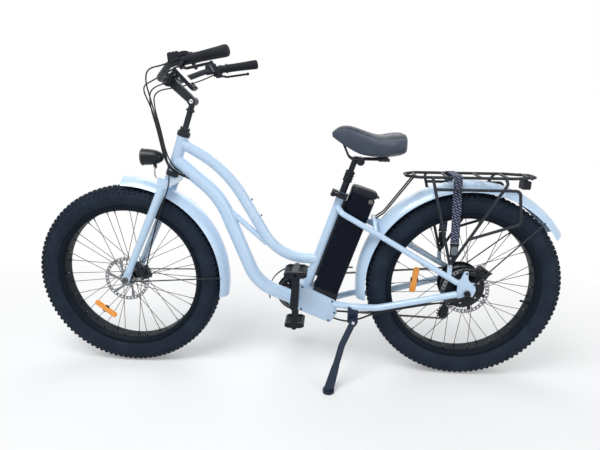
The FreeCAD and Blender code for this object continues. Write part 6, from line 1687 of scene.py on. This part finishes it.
@dataclass
class Lamps:
    """The headlight's shell, the glass of both lamps, and the display's face."""

    headlight_face: Numbers = (0.5812, 0.0, 0.85)
    headlight_radius: float = 0.0278
    headlight_back: Numbers = (0.5, 0.0, 0.85)
    headlight_pivot: Numbers = (0.536, 0.0, 0.811)
    headlight_steps: int = 64
    headlight_shell: Table = (
        (0.0, 0.0), (0.0062, 0.0006), (0.0116, 0.003), (0.0165, 0.0075), (0.021, 0.0145), (0.025, 0.0235),
        (0.0281, 0.0345), (0.03, 0.047), (0.0309, 0.06), (0.0312, 0.077), (0.0318, 0.08),
        (0.0318, 0.0812), (0.0, 0.0812))
    dome: Table = ((0.0, -0.001), (1.0, -0.001), (1.0, 0.0006), (0.9, 0.0022), (0.66, 0.004),
                   (0.34, 0.005), (0.0, 0.0053))
    dome_steps: int = 48
    bezel: Table = ((0.0, -0.0008), (0.0052, -0.0012), (0.0056, 0.0022), (0.004, 0.004), (0.001, 0.004),
                    (-0.0004, 0.002))
    lug: Numbers = (0.012, 0.028, 0.006)
    lug_lift: float = 0.008
    lug_half: float = 0.005
    tail_place: Numbers = (-0.8722, 0.0, 0.7695)
    tail_size: Numbers = (0.027, 0.043, 0.0042)
    display_middle: Numbers = (0.4016, 0.0, 1.138)
    display_lean: float = 46.5
    display_top: float = 0.0064
    screen_size: Numbers = (0.086, 0.052, 0.0011)
    screen_ahead: float = 0.004
    key_size: Numbers = (0.007, 0.011, 0.0022)
    key_ahead: float = -0.046
    key_step: float = 0.016

    def build(self) -> None:
        """Makes everything of both lamps and the display."""
        self.bullet()
        self.glass()
        self.tail()
        self.display()

    def bullet(self) -> None:
        """The headlight's smooth shell with the lug it hinges on."""
        ahead = at(self.headlight_back) @ spun(90.0, "Y")
        shell = piece("headlight_shell", turned(self.headlight_shell, self.headlight_steps, ahead, False),
                      Finish.LAMP_SHELL, "lamp")
        softened(shell, width=0.0006)
        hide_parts("headlight")
        stand = at(self.headlight_pivot) @ spun(90.0, "X")
        outline = [(x, y + self.lug_lift) for x, y in rounded(*self.lug)]
        moulded("headlight_lug", [slab(outline, -self.lug_half, self.lug_half, stand)], Finish.LAMP_SHELL,
                "lamp", width=0.001)

    def glass(self) -> None:
        """The headlight's domed glass and the ring round it."""
        ahead = at(self.headlight_face) @ spun(90.0, "Y")
        wide = self.headlight_radius
        dome = [(wide * share, rise) for share, rise in self.dome]
        piece("headlight_glass", turned(dome, self.dome_steps, ahead, False), Finish.CLEAR, "lamp")
        bezel = [(wide + more, rise) for more, rise in self.bezel]
        piece("headlight_bezel", turned(bezel, self.headlight_steps, ahead), Finish.CHAIN_STEEL, "lamp")

    def tail(self) -> None:
        """The tail light's glass."""
        back = at(self.tail_place) @ spun(-90.0, "Y")
        made = moulded("tail_light_glass", [block(self.tail_size, back, taper=0.9)], Finish.RED, "frame",
                       width=0.002, segments=3)

    def display(self) -> None:
        """The display's screen and the keys under it."""
        face = at(self.display_middle) @ spun(-self.display_lean, "Y")
        stand = face @ at((self.screen_ahead, 0.0, self.display_top))
        moulded("display_screen", [block(self.screen_size, stand, taper=0.985)], Finish.SCREEN, "steering",
                width=0.0005)
        spots = [(self.key_ahead, side * self.key_step, self.display_top) for side in (-1, 0, 1)]
        keys = [block(self.key_size, face @ at(spot), taper=0.85) for spot in spots]
        moulded("display_keys", keys, Finish.SOFT_BLACK, "steering", width=0.0006)


@dataclass
class BatteryLid:
    """The moulded lid over the battery's top: a low dome with a lip behind to lift it by."""

    middle: float = -0.0765
    deep: float = 0.102
    wide: float = 0.0785
    corner: float = 0.025
    corner_steps: int = 8
    low: float = 0.4862
    levels: Table = ((0.0, 0.985), (0.0012, 1.0), (0.01, 1.0), (0.015, 0.985), (0.0195, 0.945),
                     (0.0225, 0.87), (0.024, 0.74))
    lip: Numbers = (0.016, 0.05, 0.007)
    lip_tall: float = 0.0055
    lip_gap: float = 0.001
    lip_lift: float = 0.006

    def build(self) -> None:
        """Makes the lid and its lip."""
        stand = at(SEAT_TUBE_FOOT) @ spun(-SEAT_TUBE_LEAN, "Y")
        outline = rounded(self.deep, self.wide, self.corner, self.corner_steps)
        rings = []
        for rise, share in self.levels:
            deep_share = 1 - (1 - share) * self.wide / self.deep
            rings.append([stand @ Vector((self.middle + x * deep_share, y * share, self.low + rise))
                          for x, y in outline])
        softened(piece("battery_lid", lofted(rings), Finish.MOULDED_BLACK, "battery_pack"), width=0.0006)
        back = (self.middle - self.deep / 2 - self.lip_gap, 0.0, self.low + self.lip_lift)
        lip = slab(rounded(*self.lip), 0.0, self.lip_tall, stand @ at(back))
        moulded("battery_lid_lip", [lip], Finish.MOULDED_BLACK, "battery_pack", width=0.0014, segments=3)


@dataclass
class Caliper:
    """What stands on a brake caliper: the actuator with its arm, ribs, bolts and the hose's boss."""

    end: str
    body: str
    middle: Numbers
    out: Numbers
    face: float
    proud: float
    lean: float
    cap: Table = ((0.0, 0.0), (1.0, 0.0), (1.0, 0.6), (0.92, 0.64), (0.92, 0.9), (0.78, 1.0), (0.0, 1.0))
    cap_radius: float = 0.0138
    cap_low: float = -0.001
    cap_steps: int = 32
    shift: Numbers = (-0.004, -0.002, 0.0)
    arm_long: float = 0.038
    arm_wide: float = 0.0115
    arm_corner: float = 0.49
    arm_levels: Numbers = (-0.0004, 0.004)
    deep: float = 0.018
    half_wide: float = 0.024
    rib: Numbers = (0.0042, 0.0216, 0.0062)
    rib_places: Numbers = (-0.019, -0.0095, 0.0, 0.0095, 0.019)
    boss: Table = ((0.01, 0.006, 0.0005), (0.024, 0.026, 0.0025))
    boss_radii: Numbers = (0.0056, 0.0042)
    boss_sides: int = 16
    bolt: Table = ((0.0, 0.0008), (0.002, 0.0008), (0.0022, 0.0026), (0.004, 0.0024), (0.0044, -0.0004),
                   (0.0, -0.0004))
    bolts: Table = ((0.018, -0.012, 0.0), (0.018, 0.011, 0.0), (-0.02, 0.012, 0.0))

    def stand(self) -> Matrix:
        """The frame on the outer face: along the disc, out from the hub, and to the rider's left."""
        out = Vector((self.out[0], 0.0, self.out[1])).normalized()
        left = Vector((0.0, 1.0, 0.0))
        turn = Matrix((out.cross(left), out, left)).transposed().to_4x4()
        return at((self.middle[0], self.face, self.middle[1])) @ turn

    def actuator(self, stand: Matrix) -> list[Shape]:
        """The cap, its arm and the boss for the hose.

        Args:
            stand: The frame on the outer face.

        Returns:
            The three shapes.
        """
        hub = stand @ at(self.shift)
        cap = [(self.cap_radius * wide, self.proud * rise or self.cap_low) for wide, rise in self.cap]
        middle = at((0.0, (self.arm_long - self.arm_wide) / 2, self.proud))
        outline = rounded(self.arm_wide, self.arm_long, self.arm_wide * self.arm_corner)
        start, end = (stand @ Vector(spot) for spot in self.boss)
        return [turned(cap, self.cap_steps, hub, False),
                slab(outline, *self.arm_levels, hub @ spun(self.lean, "Z") @ middle),
                stick(start, end, self.boss_radii[0], self.boss_sides, self.boss_radii[1])]

    def build(self) -> None:
        """Makes the actuator, the ribs and the bolts."""
        stand = self.stand()
        name = self.end + "_caliper"
        moulded(name + "_arm", self.actuator(stand), Finish.FITTING_BLACK, self.body, width=0.0007)
        spots = [at((place, self.deep, -self.half_wide / 2)) for place in self.rib_places]
        ribs = [block(self.rib, stand @ spot @ AXLE_WISE, taper=0.8) for spot in spots]
        moulded(name + "_ribs", ribs, Finish.FITTING_BLACK, self.body, width=0.0008)
        bolts = [turned(self.bolt, BOLT_STEPS, stand @ at(spot), False) for spot in self.bolts]
        piece(name + "_bolts", joined(bolts), Finish.CHAIN_STEEL, self.body, False)


@dataclass
class PedalTread:
    """The moulded web in both windows of a pedal, with its studs."""

    side: Side
    middle: Numbers
    ahead: float = 0.0225
    size: Numbers = (0.0215, 0.0765, 0.013)
    stud_radius: float = 0.0024
    stud_sides: int = 10
    stud_tall: float = 0.0105
    stud_shares: Numbers = (-0.36, -0.12, 0.12, 0.36)

    def build(self) -> None:
        """Makes the webs and the studs above and below them."""
        shapes = []
        rise = Vector((0.0, 0.0, self.stud_tall))
        for way in (-1, 1):
            spot = Vector(self.middle) + Vector((way * self.ahead, 0.0, 0.0))
            shapes.append(block(self.size, at(spot - Vector((0.0, 0.0, self.size[2] / 2)))))
            for share in self.stud_shares:
                stud = spot + Vector((0.0, share * self.size[1], 0.0))
                shapes.append(stick(stud - rise, stud + rise, self.stud_radius, self.stud_sides))
        name = self.side.word + "_pedal"
        moulded(name + "_tread", shapes, Finish.SOFT_BLACK, name, width=0.0006)


@dataclass
class ControlPods:
    """The shells on the bar: the keypad before the left grip and the shifter before the right one."""

    lean: float = 9.0
    keypad: Numbers = (0.361, 0.235, 1.181)
    keypad_size: Numbers = (0.04, 0.032, 0.029)
    key: Numbers = (0.008, 0.016, 0.003)
    key_places: Numbers = (-0.011, 0.0, 0.011)
    key_levels: Numbers = (-0.0004, 0.0016)
    shifter: Numbers = (0.356, -0.23, 1.166)
    shifter_size: Numbers = (0.054, 0.03, 0.042)
    window: Numbers = (0.0075, 0.03, 0.003)
    window_place: Numbers = (-0.006, 0.0128, 0.022)
    window_turn: float = 24.0
    window_levels: Numbers = (-0.001, 0.0022)
    collar: Numbers = (0.329, -0.242, 1.1853)
    collar_axis: Numbers = (-0.9288, -0.3357, 0.1563)
    collar_steps: int = 40
    collar_ring: Table = ((0.0105, 0.0), (0.0165, 0.0), (0.0178, 0.0015), (0.0178, 0.0115), (0.0165, 0.013),
                          (0.0105, 0.013))

    def build(self) -> None:
        """Makes both shells, the keys, the gear window and the collar."""
        pad = at(self.keypad) @ spun(self.lean, "Y")
        shell = block(self.keypad_size, pad, taper=0.9)
        moulded("keypad_shell", [shell], Finish.MOULDED_BLACK, "steering", width=0.0035, segments=3)
        spots = [at((ahead, 0.0, self.keypad_size[2])) for ahead in self.key_places]
        keys = [slab(rounded(*self.key), *self.key_levels, pad @ spot) for spot in spots]
        moulded("keypad_keys", keys, Finish.SOFT_BLACK, "steering", width=0.0005)
        pod = at(self.shifter) @ spun(self.lean, "Y")
        shell = block(self.shifter_size, pod, taper=0.78)
        moulded("shifter_shell", [shell], Finish.MOULDED_BLACK, "steering", width=0.006, segments=4)
        side = pod @ at(self.window_place) @ AXLE_WISE @ spun(self.window_turn, "Z")
        moulded("shifter_window", [slab(rounded(*self.window), *self.window_levels, side)],
                Finish.BUCKLE_GREY, "steering", width=0.0005)
        ring = turned(self.collar_ring, self.collar_steps, stood(self.collar, Vector(self.collar_axis)))
        piece("shifter_collar", ring, Finish.FITTING_BLACK, "steering", False)


@dataclass(frozen=True)
class Spot:
    """Where a fastener sits, the way it faces, and its width against a plain one."""

    place: Numbers
    facing: Numbers
    wide: float = 1.0


@dataclass
class Fasteners:
    """Button-head bolts on the frame and the bar, and rings of bolts on the chainring and the hub motor."""

    spots: SpotGrower
    rings: RingGrower
    head: float = 0.0046
    head_profile: Table = ((0.0, 0.001), (0.42, 0.001), (0.46, 0.0027), (0.78, 0.0025), (0.96, 0.0014),
                           (1.0, -0.0002), (0.0, -0.0002))
    boss_places: Table = ((0.1615, 0.0, 0.6923), (0.1255, 0.0, 0.6304))
    boss_facing: Numbers = (-0.8645, 0.0, 0.5026)
    box_long: float = 0.157
    box_tall: float = 0.164
    box_half: float = 0.0429
    box_inset: float = 0.84
    box_shares: Table = ((-0.11, 0.49), (-1.01, 0.083), (-1.076, -0.26), (-0.9, -0.504), (-0.076, -0.19))
    dropout: Numbers = (-0.653, 0.0989, 0.449)
    rack_foot: Numbers = (-0.59, 0.0972, 0.476)
    kickstand: Spot = Spot((-0.24, 0.1156, 0.2416), (0.0, 0.9397, 0.342), 1.5)
    bar_clamp: Numbers = (0.4818, 0.0, 1.134)
    bar_clamp_half: Numbers = (0.014, 0.008)
    stem_pivot: Numbers = (0.3768, 0.0218, 1.058)
    bolt: Table = ((0.0, 0.0012), (0.0022, 0.0012), (0.0025, 0.003), (0.0044, 0.0026), (0.0048, 0.0),
                   (0.0, 0.0))
    ring_place: Numbers = (0.063, -0.0708, 0.0)
    ring_count: int = 5
    ring_turn: float = -36.0
    motor_place: Numbers = (0.058, 0.0461, 0.0)
    motor_facing: Numbers = (0.44, 0.9, 0.0)
    motor_count: int = 6
    motor_turn: float = 0.4

    def sideways(self, place: Numbers, side: Side, wide: float) -> Spot:
        """A bolt on one side of the bike, facing outwards."""
        return Spot((place[0], side.value * place[1], place[2]), (0.0, side.value, 0.0), wide)

    def frame_spots(self) -> list[Spot]:
        """Bottle bosses, housing covers and dropouts."""
        out = [Spot(place, self.boss_facing) for place in self.boss_places]
        middle = [sum(share[axis] for share in self.box_shares) / len(self.box_shares) for axis in (0, 1)]
        for side in Side:
            for ahead, up in self.box_shares:
                x = BOTTOM_BRACKET.x + (middle[0] + (ahead - middle[0]) * self.box_inset) * self.box_long
                z = BOTTOM_BRACKET.z + (middle[1] + (up - middle[1]) * self.box_inset) * self.box_tall
                out.append(self.sideways((x, self.box_half, z), side, wide=0.9))
            out.append(self.sideways(self.dropout, side, wide=0.9))
        return out

    def bright_spots(self) -> list[Spot]:
        """Rack feet and the kickstand's pivot."""
        return [self.sideways(self.rack_foot, side, wide=1.3) for side in Side] + [self.kickstand]

    def bar_spots(self) -> list[Spot]:
        """Bar clamp and stem pivot."""
        x, _, z = self.bar_clamp
        wide, tall = self.bar_clamp_half
        out = [Spot((x, way * wide, z + up * tall), (1.0, 0.0, 0.0), wide=1.1)
               for way in (-1, 1) for up in (-1, 1)]
        return out + [self.sideways(self.stem_pivot, side, wide=2.0) for side in Side]

    def seeded(self, name: str, spots: list[Spot]) -> Mesh:
        """A mesh of loose points with the attributes the tree reads.

        Args:
            name: The mesh's name.
            spots: What each point says.

        Returns:
            The new mesh.
        """
        mesh = bpy.data.meshes.new(name)
        mesh.from_pydata([spot.place for spot in spots], [], [])
        facing = mesh.attributes.new("facing", "FLOAT_VECTOR", "POINT")
        facing.data.foreach_set("vector", [part for spot in spots for part in spot.facing])
        wide = mesh.attributes.new("wide", "FLOAT", "POINT")
        wide.data.foreach_set("value", [spot.wide for spot in spots])
        return mesh

    def build(self) -> None:
        """Sets every fastener."""
        profile = [(self.head * share, rise) for share, rise in self.head_profile]
        head = linked("button_head", mesh_of("button_head", turned(profile, BOLT_STEPS, Matrix(), False)))
        for name, spots, finish, body in (
                ("frame_bolts", self.frame_spots(), Finish.FITTING_BLACK, "frame"),
                ("bright_bolts", self.bright_spots(), Finish.STEEL, "frame"),
                ("bar_bolts", self.bar_spots(), Finish.STEEL, "steering")):
            self.spots.grow(name, self.seeded(name, spots), finish, body, Head=head)
        bpy.data.objects.remove(head)
        stand = at(self.ring_place) @ spun(90.0, "X")
        self.rings.repeat("chainring_bolts", turned(self.bolt, BOLT_STEPS, stand, False), Finish.STEEL,
                          "crank", self.ring_count, BOTTOM_BRACKET, math.radians(self.ring_turn))
        for side in Side:
            mirror = Vector((1.0, side.value, 1.0))
            stand = stood(Vector(self.motor_place) * mirror, Vector(self.motor_facing) * mirror)
            self.rings.repeat("motor_bolts_" + side.word, turned(self.bolt, BOLT_STEPS, stand, False),
                              Finish.STEEL, "rear_wheel", self.motor_count, REAR_HUB, self.motor_turn)


@dataclass
class CadDressing:
    """Finishes for the CAD nodes that stay in view."""

    nodes: dict[str, Thing]
    rear_lining: float = 0.3745
    front_lining: float = 0.3725
    foot_top: float = 0.004
    boot_low: float = 0.5105
    ring_levels: Numbers = (-0.0668, -0.0632)
    ring_inner: float = 0.027

    def plan(self) -> dict[Finish, tuple[str, ...]]:
        """Which node wears which finish."""
        return {
            Finish.FRAME_PAINT: (
                "main_frame", "seat_stays", "chain_stays", "controller_box", "fork", "front_fender",
                "rear_fender"),
            Finish.RACK_COAT: ("rack", "headset_cups", "saddle_rails", "handlebar", "seat_clamp", "stem"),
            Finish.FITTING_BLACK: (
                "rear_axle", "seat_post", "seat_post_head", "front_hub", "rear_hub", "crankset", "derailleur",
                "left_brake_blade", "right_brake_blade", "front_caliper", "rear_caliper", "seat_clamp_lever"),
            Finish.MOULDED_BLACK: (
                "left_controls", "right_controls", "throttle_lever", "shift_lever", "display", "left_pedal",
                "right_pedal", "battery_dock", "chain_guard", "tail_light", "upper_jockey", "lower_jockey"),
            Finish.SOFT_BLACK: ("assist_button",),
            Finish.KICKSTAND_SLATE: ("kickstand_leg", "kickstand_bracket"),
            Finish.BATTERY_CASE: ("battery",),
            Finish.STEEL: ("headlight_bracket",),
            Finish.CHAIN_STEEL: ("front_axle", "battery_key"),
            Finish.COG_STEEL: ("freewheel",),
        }

    def build(self) -> None:
        """Dresses the nodes, then the parts of them that differ."""
        for finish, names in self.plan().items():
            for name in names:
                mesh = self.nodes[name].data
                mesh.materials.clear()
                mesh.materials.append(material(finish))
                mesh.polygons.foreach_set("material_index", [0] * len(mesh.polygons))
        low, high = self.ring_levels
        self.part("rear_fender", Finish.RACK_COAT, lambda p: self.span(p, REAR_HUB) < self.rear_lining)
        self.part("front_fender", Finish.RACK_COAT, lambda p: self.span(p, FRONT_HUB) < self.front_lining)
        self.part("kickstand_leg", Finish.SOFT_BLACK, lambda p: p.z < self.foot_top)
        self.part("seat_post", Finish.SOFT_BLACK,
                  lambda p: SEAT_TUBE_WAY.dot(p - SEAT_TUBE_FOOT) > self.boot_low)
        self.part("crankset", Finish.SPOKE_BLACK,
                  lambda p: low < p.y < high and self.span(p, BOTTOM_BRACKET) > self.ring_inner)

    def span(self, place: Vector, hub: Vector) -> float:
        """How far a place is from a hub, seen from the side."""
        return math.hypot(place.x - hub.x, place.z - hub.z)

    def part(self, name: str, finish: Finish, test: Callable[[Vector], bool]) -> None:
        """Dresses some faces of a node in another finish.

        Args:
            name: The node's name.
            finish: What the faces are dressed in.
            test: Tells from the middle of a face whether it is one of them.
        """
        mesh = self.nodes[name].data
        mesh.materials.append(material(finish))
        for face in mesh.polygons:
            if test(face.center):
                face.material_index = len(mesh.materials) - 1


def main() -> None:
    """Builds the bike's looks in order."""
    logging.basicConfig(level=logging.INFO, format="%(message)s")
    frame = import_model()
    Stage().build()
    Cables().build()
    CadDressing(frame["nodes"]).build()
    rings, lines = RingGrower(), LineGrower()
    Wheel("front", FRONT_HUB, flange_radius=0.032, flange_half=0.034, lacing=48.0, rings=rings,
          reflector_place=(0.7745, 0.0277, 0.2234), reflector_turn=-52.0, valve_turn=110.0).build()
    Wheel("rear", REAR_HUB, flange_radius=0.084, flange_half=0.03, lacing=22.0, rings=rings,
          reflector_place=(-0.4754, 0.0285, 0.3927), reflector_turn=7.0, valve_turn=-165.5).build()
    BrakeDisc("front", FRONT_HUB, level=0.056, radius=0.09, finish=Finish.FRONT_DISC,
              spider=Finish.FRONT_DISC, rings=rings).build()
    BrakeDisc("rear", REAR_HUB, level=0.072, radius=0.09, finish=Finish.REAR_DISC,
              spider=Finish.MOULDED_BLACK, rings=rings).build()
    Saddle(lines).build()
    for side in Side:
        Grip(side).build()
    Strap().build()
    Chain(lines).build()
    Lamps().build()
    BatteryLid().build()
    Caliper("front", "steering", middle=(0.587, 0.4), out=(-0.073, 0.03), face=0.068, proud=0.0115,
            lean=30.0).build()
    Caliper("rear", "frame", middle=(-0.712, 0.442), out=(-0.052, 0.072), face=0.084, proud=0.011,
            lean=70.0).build()
    PedalTread(Side.LEFT, middle=(-0.0215, 0.1333, 0.4516)).build()
    PedalTread(Side.RIGHT, middle=(0.0015, -0.1333, 0.1224)).build()
    ControlPods().build()
    Fasteners(SpotGrower(), rings).build()


if __name__ == "__main__":
    main()
